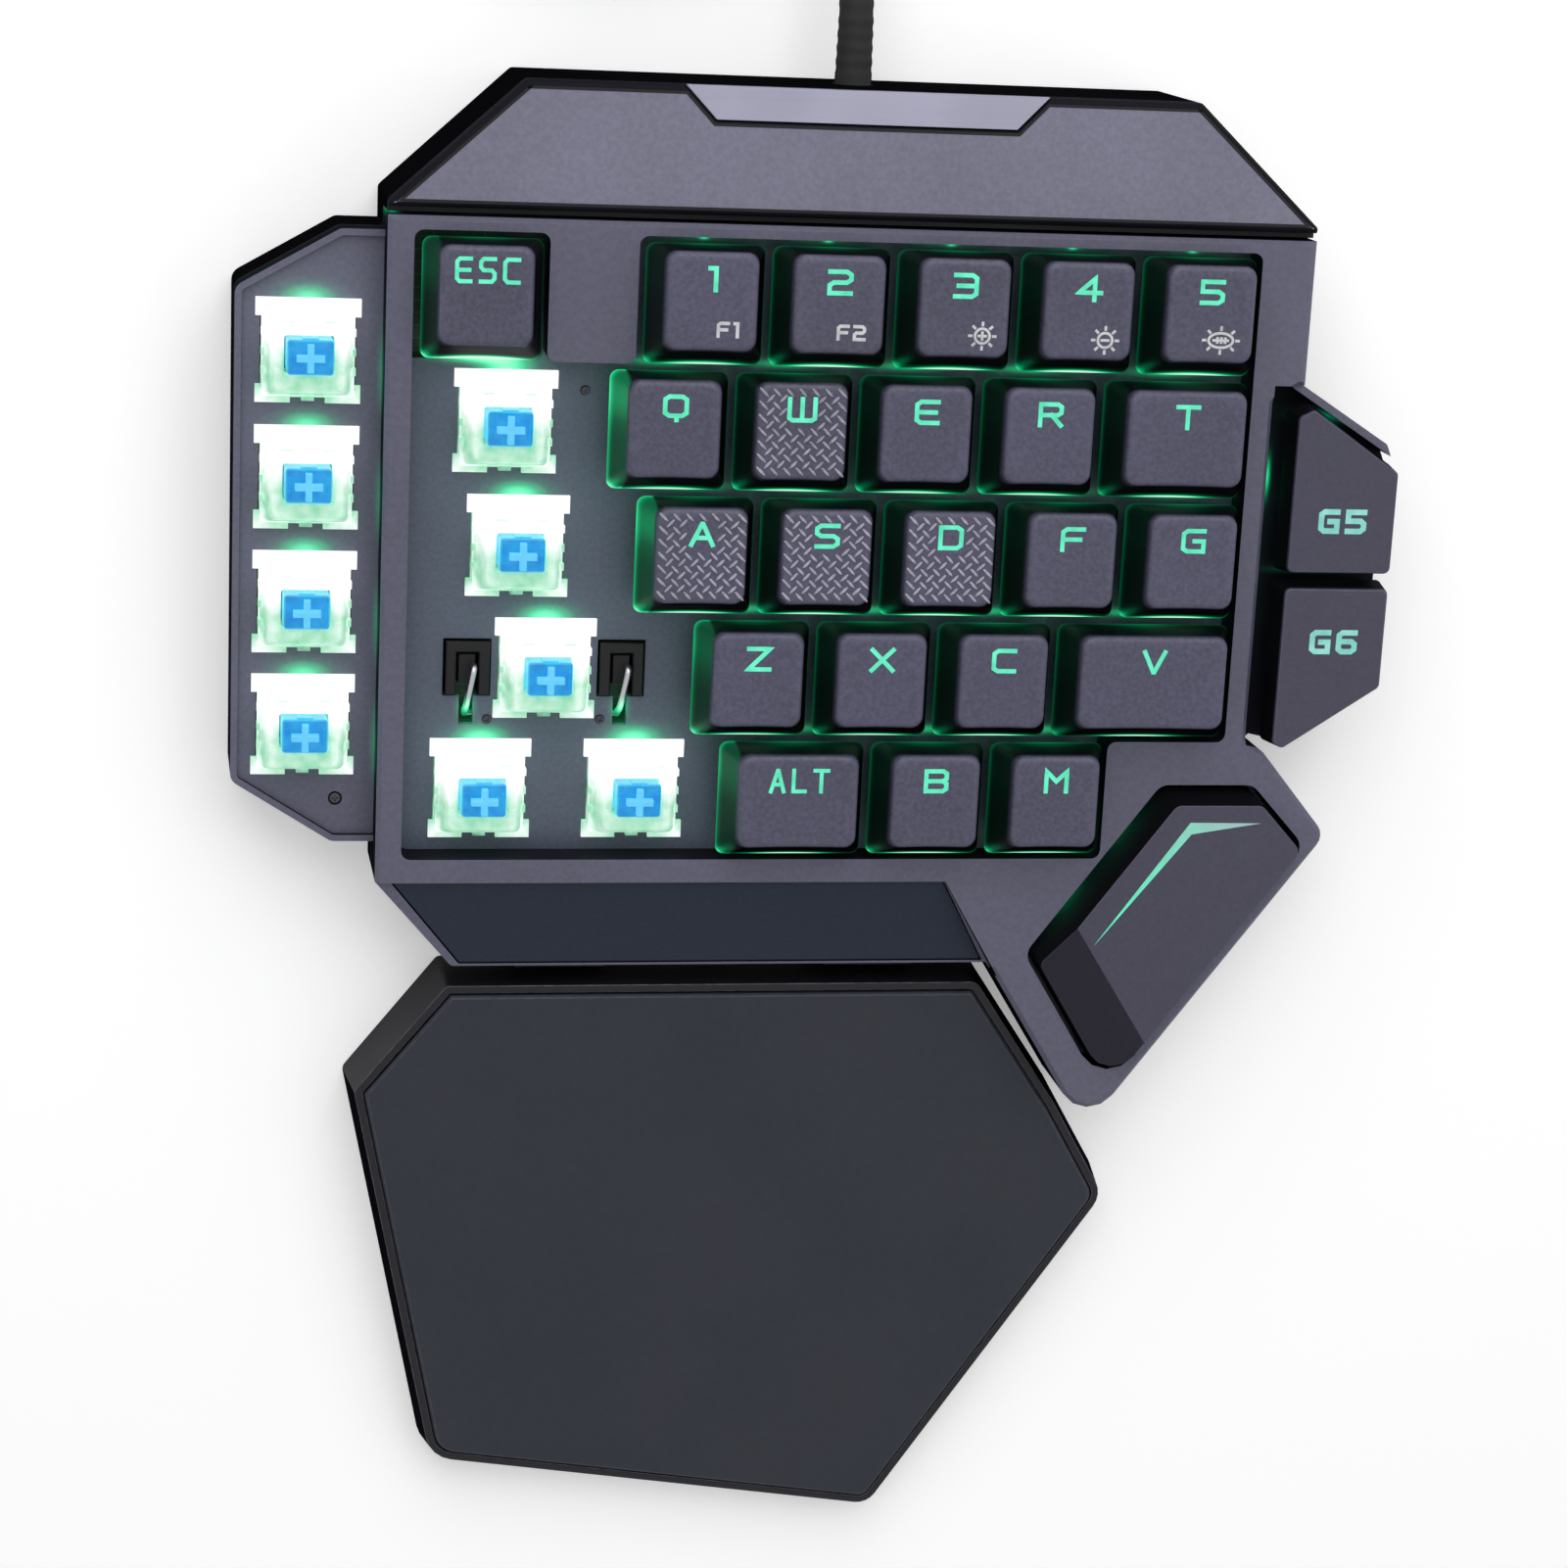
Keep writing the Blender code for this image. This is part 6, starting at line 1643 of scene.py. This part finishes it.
@dataclass(frozen=True)
class Key:
    """A capped key: its name, place and width in key pitches, its prints and its left skirt's light."""

    name: str
    column: float
    row: float
    width: float = 1.0
    back: float = 3.3 * MM
    top: TopSurface = TopSurface.PLAIN
    second: Lettering | SunIcon | None = None
    second_place: Point2 = (2.5 * MM, -4.1 * MM)
    light: float = 0.15
    front: float = 1.4

    def legend(self) -> Lettering:
        """The key's main legend: a wide letter, or a narrower word."""
        if len(self.name) > 1:
            return Lettering(self.name.upper(), 3.9 * MM, 2.6 * MM, 0.9 * MM, 0.6 * MM)
        return Lettering(self.name.upper())


SMALL = {"high": 2.4 * MM, "wide": 1.95 * MM, "gap": 0.5 * MM, "stroke": 0.5 * MM}
KEYS = (
    Key("esc", -1.49, 1, back=3.7 * MM, light=0.45, front=3.0),
    Key("1", 0.25, 1, second=Lettering("F1", **SMALL)),
    Key("2", 1.25, 1, second=Lettering("F2", **SMALL), second_place=(2.0 * MM, -4.1 * MM)),
    Key("3", 2.25, 1, second=SunIcon(Sign.PLUS), second_place=(2.9 * MM, -4.1 * MM)),
    Key("4", 3.25, 1, second=SunIcon(Sign.MINUS), second_place=(2.8 * MM, -4.3 * MM)),
    Key("5", 4.25, 1, second=SunIcon(Sign.LAMPS, (1.9 * MM, 1.1 * MM)), second_place=(1.8 * MM, -3.9 * MM)),
    Key("q", 0, 0, light=1.1), Key("w", 1, 0, top=TopSurface.TREAD), Key("e", 2, 0), Key("r", 3, 0),
    Key("t", 4.125, 0, 1.25),
    Key("a", 0.25, -1, top=TopSurface.TREAD, light=1.0), Key("s", 1.25, -1, top=TopSurface.TREAD),
    Key("d", 2.25, -1, top=TopSurface.TREAD), Key("f", 3.25, -1), Key("g", 4.25, -1),
    Key("z", 0.75, -2, light=0.7), Key("x", 1.75, -2), Key("c", 2.75, -2), Key("v", 4, -2, 1.5),
    Key("alt", 1.125, -3, 1.25, light=0.7), Key("b", 2.25, -3), Key("m", 3.25, -3),
)


@dataclass(frozen=True)
class Keycaps:
    """The 23 keycaps: hollow, with drawn-in skirts, soft shoulders and dished tops."""

    gap: float = 1.0 * MM
    foot: float = 6.2 * MM
    top: float = 14.5 * MM
    draw: Pair = (4.55 * MM, 3.65 * MM)
    drawn_at: float = 14.0 * MM
    shift: float = 1.4 * MM
    corner: Pair = (1.3 * MM, 1.9 * MM)
    shoulder: float = 0.9 * MM
    shoulder_steps: int = 6
    lip: float = 0.18 * MM
    dish: float = 0.45 * MM
    dish_steps: int = 6
    wall: float = 1.3 * MM
    ceiling: float = 12.9 * MM
    ceiling_draw: float = 0.43
    inner_corner: float = 0.8 * MM
    shaft: float = 4.2 * MM
    shaft_foot: float = 1.5 * MM
    foot_wall: float = 1.1 * MM
    overlap: float = 0.3 * MM
    tread: Triple = (2.0 * MM, 0.55 * MM, 0.28 * MM)
    tread_step: float = 1.4 * MM
    tread_clear: Pair = (2.6 * MM, 2.5 * MM)

    def make(self) -> None:
        """Makes each key's cap, its print and its tread."""
        for key in KEYS:
            body = "key_" + key.name
            place = DECK @ Matrix.Translation((key.column * PITCH, key.row * PITCH, 0))
            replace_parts(piece("cap_" + key.name, self._cap(key), CAP, body, place), body)
            surface = self._surface(key)
            centre = (0.0, self.shift + key.back)
            printed("legend_" + key.name, key.legend(), centre, surface, place, LEGEND, body)
            if key.second:
                centre = (key.second_place[0], self.shift + key.second_place[1])
                printed("function_" + key.name, key.second, centre, surface, place, LEGEND_WHITE, body)
            if key.top is TopSurface.TREAD:
                self._tread(key, surface, place, body)

    def _half(self, key: Key, height: float) -> Triple:
        """Half the cap's width and depth at a height, and how far it leans to the rear there.

        Args:
            key: the key.
            height: the height above the plate.
        Returns:
            Half the width, half the depth and the lean.
        """
        share = (height - self.foot) / (self.drawn_at - self.foot)
        half_x = (key.width * PITCH - self.gap - self.draw[0] * share) / 2
        half_y = (PITCH - self.gap - self.draw[1] * share) / 2
        return half_x, half_y, self.shift * share

    def _surface(self, key: Key) -> Surface:
        """How high a key's dished top is.

        Args:
            key: the key.
        Returns:
            A function for the height at a place.
        """
        half = self._half(key, self.top - self.shoulder)[0] - self.shoulder

        def height(x: float, y: float) -> float:
            """The top, lowest along its middle."""
            return self.top - self.dish * (1 - min(abs(x) / half, 1) ** 2)
        return height

    def _cap(self, key: Key) -> Mesh:
        """A keycap, round its switch's axis.

        Args:
            key: the key.
        Returns:
            The mesh, with its worn edges marked.
        """
        surface = self._surface(key)
        start = self.top - self.shoulder
        levels = [(self.foot, self.lip), (self.foot + self.lip, 0.0)]
        levels += [(self.foot + (start - self.foot) * share, 0.0) for share in (0.35, 0.7, 1.0)]
        for index in range(1, self.shoulder_steps + 1):
            angle = math.pi / 2 * index / self.shoulder_steps
            levels.append((start + self.shoulder * math.sin(angle), self.shoulder * (1 - math.cos(angle))))

        def ring(height: float, inward: float, scale: float = 1.0) -> Ring:
            """The cap's outline at a height.

            Args:
                height: the height above the plate.
                inward: how far the outline is moved inwards.
                scale: how far it is then drawn together round its middle.
            Returns:
                Its points.
            """
            half_x, half_y, lean = self._half(key, min(height, start))
            share = (height - self.foot) / (self.top - self.foot)
            radius = self.corner[0] + (self.corner[1] - self.corner[0]) * share - inward * 0.5
            outline = rounded_box(half_x - inward, half_y - inward, radius, 5, 6)
            sink = ease(height, start - 2 * MM, self.top)
            return [Vector((x * scale, y * scale + lean,
                            height - sink * (self.top - surface(x * scale, y * scale)))) for x, y in outline]
        rings = [ring(*level) for level in levels]
        rings += [ring(self.top, self.shoulder, 1 - index / self.dish_steps)
                  for index in range(1, self.dish_steps)]
        half_x, half_y, _ = self._half(key, self.foot)
        inside: list[Ring] = []
        for height, wall in ((self.ceiling, self.wall + self.draw[0] * self.ceiling_draw),
                             (self.foot + self.overlap, self.wall), (self.foot, self.foot_wall)):
            lean = self._half(key, height)[2]
            inside.append([Vector((x, y + lean, height))
                           for x, y in rounded_box(half_x - wall, half_y - wall, self.inner_corner)])
        work = bmesh.new()
        skin(work, inside + rings)
        half = self.shaft / 2
        block(work, (-half, -half, self.shaft_foot), (half, half, self.ceiling + self.overlap))
        bmesh.ops.recalc_face_normals(work, faces=work.faces)
        mesh = read_mesh(work, "cap_" + key.name, 40)
        low, high = start + 0.2 * self.shoulder, self.top - 0.03 * MM
        for name, rule in (("edge", lambda co: self._edge(key, co, low, high)),
                           ("side", lambda co: (co.x + (key.width * PITCH - self.gap) / 2) / MM),
                           ("gain", lambda co: key.light), ("front", lambda co: key.front)):
            mark(mesh, name, rule)
        mark(mesh, "at", lambda co: (co - Vector((0, 0, self.foot))) / MM, "FLOAT_VECTOR")
        return mesh

    def _edge(self, key: Key, place: Vector, low: float, high: float) -> float:
        """How much of a worn edge a point of the cap is: the shoulder and the foot.

        Args:
            key: the key.
            place: the point, round the switch's axis.
            low: where the shoulder starts.
            high: where it ends.
        Returns:
            The value for the materials.
        """
        if place.z < self.foot + 0.3 * MM:
            return 0.7
        half_x, half_y, lean = self._half(key, low)
        inner = self.shoulder * 1.3
        rim = max((abs(place.x) - half_x + inner) / inner, (abs(place.y - lean) - half_y + inner) / inner)
        return ease(place.z, low - 0.5 * MM, high - 0.3 * MM) * min(max(rim, 0), 1)

    def _tread(self, key: Key, surface: Surface, place: Matrix, body: str) -> None:
        """Raised lozenges over the top, turned in two ways by turns and left out round the legend.

        Args:
            key: the key.
            surface: the top's height at a place.
            place: the key's frame.
            body: the body that it rides on.
        """
        half_x, half_y, lean = self._half(key, self.top - self.shoulder)
        reach = Vector((half_x, half_y)) - Vector((0.8, 0.8)) * self.shoulder
        count = int(reach.length / self.tread_step)
        quarter = Matrix.Rotation(math.pi / 4, 2)
        places: list[Vector] = []
        turns: list[float] = []
        for i in range(-count, count + 1):
            for j in range(-count, count + 1):
                x, y = quarter @ Vector((i, j)) * self.tread_step
                outside = abs(x) > reach.x or abs(y) > reach.y
                if outside or (abs(x) < self.tread_clear[0] and abs(y - key.back) < self.tread_clear[1]):
                    continue
                places.append(Vector((x, y + lean, surface(x, y))))
                turns.append(math.radians(45 if (i + j) % 2 else -45))
        sizes = dict(zip(("Length", "Width", "Height"), self.tread))
        mesh = TreadNodes.run("tread_" + key.name, places, TREAD, turns, **sizes)
        piece("tread_" + key.name, mesh, TREAD, body, place)


# Switches


BARE_SWITCHES = {
    "tab": (-1.25 * PITCH, 0.0), "caps": (-1.125 * PITCH, -PITCH), "shift": (-0.875 * PITCH, -2 * PITCH),
    "ctrl": (-1.375 * PITCH, -3 * PITCH), "fn": (-0.125 * PITCH, -3 * PITCH),
    **{f"g{n + 1}": (-53.45 * MM, 10 * MM - n * PITCH) for n in range(4)},
}


@dataclass(frozen=True)
class BareSwitches:
    """The nine switches without caps: clear housings, lit from the rear, and blue stems."""

    body_w: float = 13.6 * MM
    body_low: float = -4.7 * MM
    flange_w: float = 15.6 * MM
    flange_z: Pair = (0.3 * MM, 1.3 * MM)
    flange_ring: float = 1.3 * MM
    side_notch: Pair = (0.9 * MM, 10.2 * MM)
    front_notch: Pair = (0.85 * MM, 5.2 * MM)
    top: float = 6.6 * MM
    draw: float = 1.35 * MM
    well: Pair = (7.5 * MM, 5.9 * MM)
    well_low: float = -3.4 * MM
    stem: Pair = (6.8 * MM, 5.2 * MM)
    stem_z: Pair = (1.5 * MM, 8.6 * MM)
    cross: Pair = (4.1 * MM, 0.95 * MM)
    cross_top: float = 10.2 * MM
    lens: Triple = (3.2 * MM, 2.0 * MM, 0.9 * MM)
    lens_y: float = 4.9 * MM

    def make(self) -> None:
        """Makes the housings, the lenses over their lights and the stems."""
        shape = add_object("housing_shape", self._housing())
        places = [Vector((x, y, 0)) for x, y in BARE_SWITCHES.values()]
        mesh = CopyNodes.run("switch_housings", places, HOUSING, Shape=shape)
        bpy.data.objects.remove(shape)
        housings = piece("switch_housings", mesh, HOUSING, place=DECK)
        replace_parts(housings, *("switch_" + name for name in BARE_SWITCHES))
        lamps = [place + Vector((0, self.lens_y, self.top)) for place in places]
        sizes = dict(zip(("Width", "Depth", "Height"), self.lens))
        mesh = LensNodes.run("switch_lamps", lamps, LAMP_GLASS, **sizes)
        mesh.shade_smooth()
        piece("switch_lamps", mesh, LAMP_GLASS, place=DECK)
        for name, (x, y) in BARE_SWITCHES.items():
            body, place = "stem_" + name, DECK @ Matrix.Translation((x, y, 0))
            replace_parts(piece(f"stem_{name}_blue", self._stem(name), STEM, body, place), "stem_" + name)

    def _housing(self) -> Mesh:
        """One housing round its axis, with how brightly each point of it is lit."""
        half, flange_top = self.body_w / 2, self.flange_z[1]
        head, at_knee = half - self.draw, half - 0.7 * self.draw
        knee = flange_top + 0.75 * (self.top - flange_top)
        rim, step = 0.35 * MM, 0.4 * MM
        well_x, well_y = self.well[0] / 2, self.well[1] / 2
        work = bmesh.new()
        skin(work, [at_height(rounded_box(half_x, half_y, radius * MM, 3, 3), height)
                    for half_x, half_y, radius, height in (
            (half, half, 0.5, self.body_low), (half, half, 0.5, flange_top), (at_knee, at_knee, 0.9, knee),
            (head, head, 1.1, self.top - step), (head - rim, head - rim, 1.0, self.top),
            (well_x + rim, well_y + rim, 0.6, self.top), (well_x, well_y, 0.4, self.top - step),
            (well_x, well_y, 0.4, self.well_low))])
        self._flange(work)
        rail, top = half / MM - 0.25, self.top / MM
        nubs = [(rail, y, 0.45, 0.55, 0.8, 2.6, 0.15) for y in (-2.9, 0.0, 2.9)]
        nubs += [(4.75, -2.3, 0.4, 0.4, top - 0.3, top + 0.25, 0.1),
                 (3.15, 5.0, 0.95, 0.25, top - 0.3, top + 0.12, 0.1)]
        for x, *sizes in nubs:
            for side in (-1, 1):
                nub(work, side * x, *sizes)
        nub(work, 0.0, 1.0 - self.flange_w / MM / 2, 0.95, 0.6, 0.0, 1.9, 0.2)
        bmesh.ops.recalc_face_normals(work, faces=work.faces)
        mesh = read_mesh(work, "switch_housing", 30)
        mark(mesh, "lit", self._lit)
        return mesh

    def _flange(self, work: Work) -> None:
        """Adds the flange, a ring notched at both sides and in front.

        Args:
            work: the housing's bmesh.
        """
        out = self.flange_w / 2
        deep, long = self.side_notch[0], self.side_notch[1] / 2
        front, wide = self.front_notch[0], self.front_notch[1] / 2
        right = [(out, -out), (out, -long), (out - deep, -long), (out - deep, long), (out, long), (out, out)]
        outline = [(wide, -out), *right, *((-x, y) for x, y in reversed(right)), (-wide, -out),
                   (-wide, front - out), (wide, front - out)]
        low, high = self.flange_z
        edge, inner = 0.2 * MM, inset(outline, self.flange_ring)
        levels = ((outline, low), (outline, high - edge), (inset(outline, edge), high), (inner, high),
                  (inner, low))
        skin(work, [at_height(*level) for level in levels], False)

    def _lit(self, place: Vector) -> float:
        """White-hot over the light at the rear, paler round it, and pale at the front corners.

        Args:
            place: a point of the housing.
        Returns:
            How brightly it is lit.
        """
        x, y, z = abs(place.x) / MM, place.y / MM, place.z / MM
        shade = 0.4 * ease(x, 5.3, 6.5) * ease(-y, -5.2, -4.4) if z < 6 else 0
        rear = ease(y, -1.2, 2.4) * 1.3 - shade
        corner = 0.9 * ease(x, 4.6, 6.6) * ease(-y, 4.6, 6.0) * ease(2.2 - z, 0, 0.8)
        front = 0.46 + 0.2 * ease(x, 3.6, 4.6) * ease(z, 5.8, 6.6)
        front -= 0.22 * ease(-y, 6.2, 7.0) * ease(2 - x, 0, 0.8)
        dimple = 0.5 * (2.15 < x < 4.15 and 4.7 < y < 5.3 and z > 6.65)
        return (max(rear, corner, front) - dimple) * ease(z, -1.6, 0.7)

    def _stem(self, name: str) -> Mesh:
        """A stem round its axis: a block with guide rails, and a cross of a lighter blue.

        Args:
            name: the switch's name.
        Returns:
            The mesh, with a material for the block and one for the cross.
        """
        half_x, half_y = self.stem[0] / 2, self.stem[1] / 2
        low, high = self.stem_z
        work = bmesh.new()
        prism(work, rounded_box(half_x, half_y, 0.5 * MM, 3, 1), low, high, 0.3 * MM)
        rail, deep, base, top = half_x / MM - 0.55, half_y / MM, low / MM, high / MM
        for x in (-rail, rail):
            nub(work, x, 0.0, 0.3, deep / 2, top - 0.2, top + 0.35, 0.1)
        nub(work, 0.0, deep + 0.04, 1.2, 0.24, base, top - 0.1, 0.1)
        count = len(work.faces)
        long, thick = self.cross[0] / 2, self.cross[1] / 2
        quarters = [Matrix.Rotation(math.radians(90 * turn), 2) for turn in range(4)]
        outline = [tuple(quarter @ Vector(point)) for quarter in quarters
                   for point in ((thick, thick), (thick, long), (-thick, long))]
        prism(work, outline, high - 0.1 * MM, self.cross_top, 0.12 * MM)
        bmesh.ops.recalc_face_normals(work, faces=work.faces)
        work.faces.ensure_lookup_table()
        for face in work.faces[count:]:
            face.material_index = 1
        mesh = read_mesh(work, f"stem_{name}_blue", 30)
        for finish in (STEM, CROSS):
            mesh.materials.append(finish.material())
        mark(mesh, "lit", lambda co: 0.95 if co.z < high - 0.05 * MM
             else 0.45 + 0.3 * (co.z > high + 0.5 * MM))
        return mesh


@dataclass(frozen=True)
class ShiftStabiliser:
    """The bare Shift key's stabiliser: two black housings and a bent steel wire."""

    spread: float = 23.8 * MM
    fore: float = 0.1 * MM
    width: float = 6.8 * MM
    depth: float = 8.4 * MM
    low: float = -4.7 * MM
    top: float = 1.0 * MM
    slot: Pair = (3.4 * MM, 5.0 * MM)
    wire_r: float = 0.5 * MM

    def make(self) -> None:
        """Makes both housings and the wire."""
        x, y = BARE_SWITCHES["shift"]
        y -= self.fore
        ends = (x - self.spread / 2, x + self.spread / 2)
        work = bmesh.new()
        for end in ends:
            self._housing(work, end, y)
        housings = solid("stabiliser_housings", work, SHELL, place=DECK)
        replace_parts(housings, "shift_stabiliser")
        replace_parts(self._wire(ends, y), "shift_stabiliser")

    def _housing(self, work: Work, x: float, y: float) -> None:
        """Adds a housing with a slot and its slider, open to the front.

        Args:
            work: the bmesh that gets it.
            x: middle of the housing.
            y: middle of the housing.
        """
        half_x, half_y = self.width / 2, self.depth / 2
        slot_x, slot_y = self.slot[0] / 2, self.slot[1] / 2
        left = [(-half_x, half_y), (-half_x, -half_y), (-slot_x, -half_y), (-slot_x, slot_y)]
        outline = left + [(-a, b) for a, b in reversed(left)]
        prism(work, [(x + a, y + b) for a, b in outline], self.low, self.top, 0.2 * MM)
        inner = slot_x - 0.3 * MM
        block(work, (x - inner, y - slot_y, self.low),
              (x + inner, y + slot_y - 0.3 * MM, self.top - 0.9 * MM), 0.2 * MM)

    def _wire(self, ends: Pair, y: float) -> Object:
        """The wire: up from each housing, forward, down through the plate and across under it.

        Args:
            ends: middles of the housings.
            y: middle of the housings.
        Returns:
            The wire's piece.
        """
        leg = ((0.9, 0.4, 0.3), (0.9, 0.4, 1.9), (0.85, 0.1, 2.4), (0.75, -0.6, 2.4), (0.2, -3.8, 1.9),
               (0.0, -5.4, 1.3), (-0.1, -6.5, 0.2), (-0.1, -6.9, -1.0), (0.0, -7.6, -2.2), (0.0, -7.9, -2.9))
        low = leg[-1][2] - 0.5
        left, right = ([Vector((end, y, 0)) + Vector(point) * MM for point in route] for end, route in (
            (ends[0], (*leg, (0.3, leg[-1][1], low + 0.25), (1.0, leg[-1][1], low))),
            (ends[1], ((-1.0, leg[-1][1], low), (-0.3, leg[-1][1], low + 0.25), *reversed(leg)))))
        curve = round_line("stabiliser_wire", left + right, self.wire_r, 4)
        mesh = evaluated(add_object("stabiliser_wire_line", curve), "stabiliser_wire")
        mesh.materials.clear()
        return piece("stabiliser_wire", mesh, WIRE, place=DECK)


# Large keys


@dataclass(frozen=True)
class LargeKeys:
    """G5, G6 and the thumb bar with their light-through prints."""

    top: float = 9.0 * MM
    edge: float = 0.25 * MM
    crease: tuple[Point2, Point2] = ((69.4, -78.3), (80.7, -97.0))
    crease_from: float = 6.5 * MM
    stripe: tuple[Point2, ...] = ((71.2, -80.8), (85.9, -62.4), (97.2, -60.6), (85.6, -60.5))
    words: tuple[tuple[str, float, float], ...] = (("g5", 106.3, -11.9), ("g6", 106.5, -31.1))

    def make(self) -> None:
        """Makes the three keys."""
        for name, x, y in self.words:
            body = "key_" + name
            # The key's steep sides get painted shade.
            finished(body, BIG_CAP, body, self.edge)
            word = Lettering(name.upper(), 3.9 * MM, 3.45 * MM, 0.9 * MM, 0.88 * MM)
            printed("legend_" + name, word, (x * MM, y * MM), lambda x, y: self.top, DECK, LEGEND_PALE, body)
        self._thumb_bar()

    def _thumb_bar(self) -> None:
        """The thumb bar, darker beyond its crease, with painted shade on its steep sides and a lit stripe
        along its rear edge.
        """
        mesh = softened("thumb_bar", self.edge, lambda place, level: level < 0.5)
        for finish in (BIG_CAP, BAR_END):
            mesh.materials.append(finish.material())
        start, end = (Vector(point) * MM for point in self.crease)
        for face in mesh.polygons:
            place = TO_DECK @ face.center
            beyond = (end - start).cross(place.xy - start) < 0
            face.material_index = int(beyond and place.z > self.crease_from)
        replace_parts(piece("thumb_bar_finished", mesh, BIG_CAP, "thumb_bar"), "thumb_bar")
        outer = [Vector(point) * MM for point in self.stripe]
        rear, corner, tip, front = outer
        shares = (0.2, 0.4, 0.6, 0.8)
        pairs = [(rear.lerp(corner, share), rear.lerp(front, share)) for share in (0.01, *shares, 1.0)]
        pairs += [(corner.lerp(tip, share), front.lerp(tip, share)) for share in (*shares, 0.99)]
        low, high = self.top - PRINT_DOWN, self.top + PRINT_UP
        work = bmesh.new()
        skin(work, [[Vector((*one, low)), Vector((*two, low)), Vector((*two, high)), Vector((*one, high))]
                    for one, two in pairs])
        bmesh.ops.recalc_face_normals(work, faces=work.faces)
        mesh = read_mesh(work, "thumb_bar_stripe")
        mark(mesh, "lit", lambda co: ease(co.x, rear.x, tip.x))
        piece("thumb_bar_stripe", mesh, STRIPE, "thumb_bar", DECK)


# Case and wrist rest


@dataclass(frozen=True)
class Case:
    """The covers, panels, plate and board, with the screws that hold them."""

    edge: float = 0.22 * MM
    bottom_edge: float = 0.3 * MM
    border: float = 0.45 * MM
    plate_screws: tuple[Point2, ...] = ((-11.8, 4.8), (-25.3, -46.4), (-7.8, -46.3))
    wing_screw: Point2 = (-48.3, -59.0)
    pit_left: float = 90 * MM

    def make(self) -> None:
        """Dresses the case's nodes and puts the screws in."""
        for node, finish in (("front_panel", SLATE), ("rear_badge", SILVER), ("switch_plate", PLATE),
                             ("circuit_board", BOARD), ("rear_foot", RUBBER), ("front_foot", RUBBER)):
            finish_node(node, finish)
        # The cover's steep faces and the floor beside the large keys get painted shade, and so does the rear
        # panel's sloped rim.
        finished("top_cover", COVER, ROOT_BODY, self.edge, self._is_shaded)
        panel = finished("rear_panel", REAR_PANEL, ROOT_BODY, self.edge, self._is_rim)
        finished("bottom_cover", SHELL, ROOT_BODY, self.bottom_edge, self._is_rim)
        self._panel_border(panel.data)
        self._screws("plate_screws", [Vector((x, y, 0.05)) for x, y in self.plate_screws], 1.5, 0.35, 3)
        self._screws("wing_screw", [Vector((*self.wing_screw, -0.55))], 1.9, 0.4, 5)

    def _panel_border(self, panel: Mesh) -> None:
        """Puts a black line round the rear panel's top, within its edge.

        Args:
            panel: the panel's mesh.
        """
        level = [face for face in panel.polygons if face.normal.dot(DECK_UP) > 0.99]
        top = max(level, key=lambda face: face.area)
        corners = [TO_DECK @ panel.vertices[index].co for index in top.vertices]
        line = inset([tuple(corner.xy) for corner in corners], self.border / 2)
        work = bmesh.new()
        ribbon(work, line + line[:1], self.border, lambda x, y: corners[0].z)
        solid("panel_border", work, SHELL, place=DECK)

    def _is_rim(self, place: Vector, level: float) -> bool:
        """Whether a face is a wall or the sloped rim round a top, which gets painted shade."""
        return level < 0.98

    def _is_shaded(self, place: Vector, level: float) -> bool:
        """Whether a face gets painted shade: a wall, or the floor beside the right wing's large keys."""
        return is_wall(place, level) or (level > 0.9 and place.x > self.pit_left and abs(place.z) < 0.5 * MM)

    def _screws(self, name: str, places: list[Vector], head: float, height: float, seed: int) -> None:
        """Puts screw heads at some places on the deck, in millimetres, turned as the seed says."""
        mesh = ScrewNodes.run(name, [place * MM for place in places], SCREW, Head=head * MM,
                              Height=height * MM, Recess=head * 0.55 * MM, Seed=seed)
        piece(name, mesh, SCREW, place=DECK)


@dataclass(frozen=True)
class WristRest:
    """The wrist rest: a black shell with a soft-touch pad let into it."""

    shell_edge: float = 0.35 * MM
    pad_edge: float = 0.15 * MM

    def make(self) -> None:
        """Dresses the shell and the pad."""
        finished("palm_rest_base", REST_SHELL, REST_BODY, self.shell_edge)
        finished("palm_rest_pad", PAD, REST_BODY, self.pad_edge)


def main() -> None:
    """Builds the keypad's pieces in order."""
    for part in (PhotoCamera(), Studio(), CordSet(), Case(), WristRest(), BareSwitches(), ShiftStabiliser(),
                 Keycaps(), LargeKeys()):
        LOG.info("%s", type(part).__name__)
        part.make()


if __name__ == "__main__":
    logging.basicConfig(level=logging.INFO, format="%(message)s")
    main()
    bpy.context.view_layer.update()
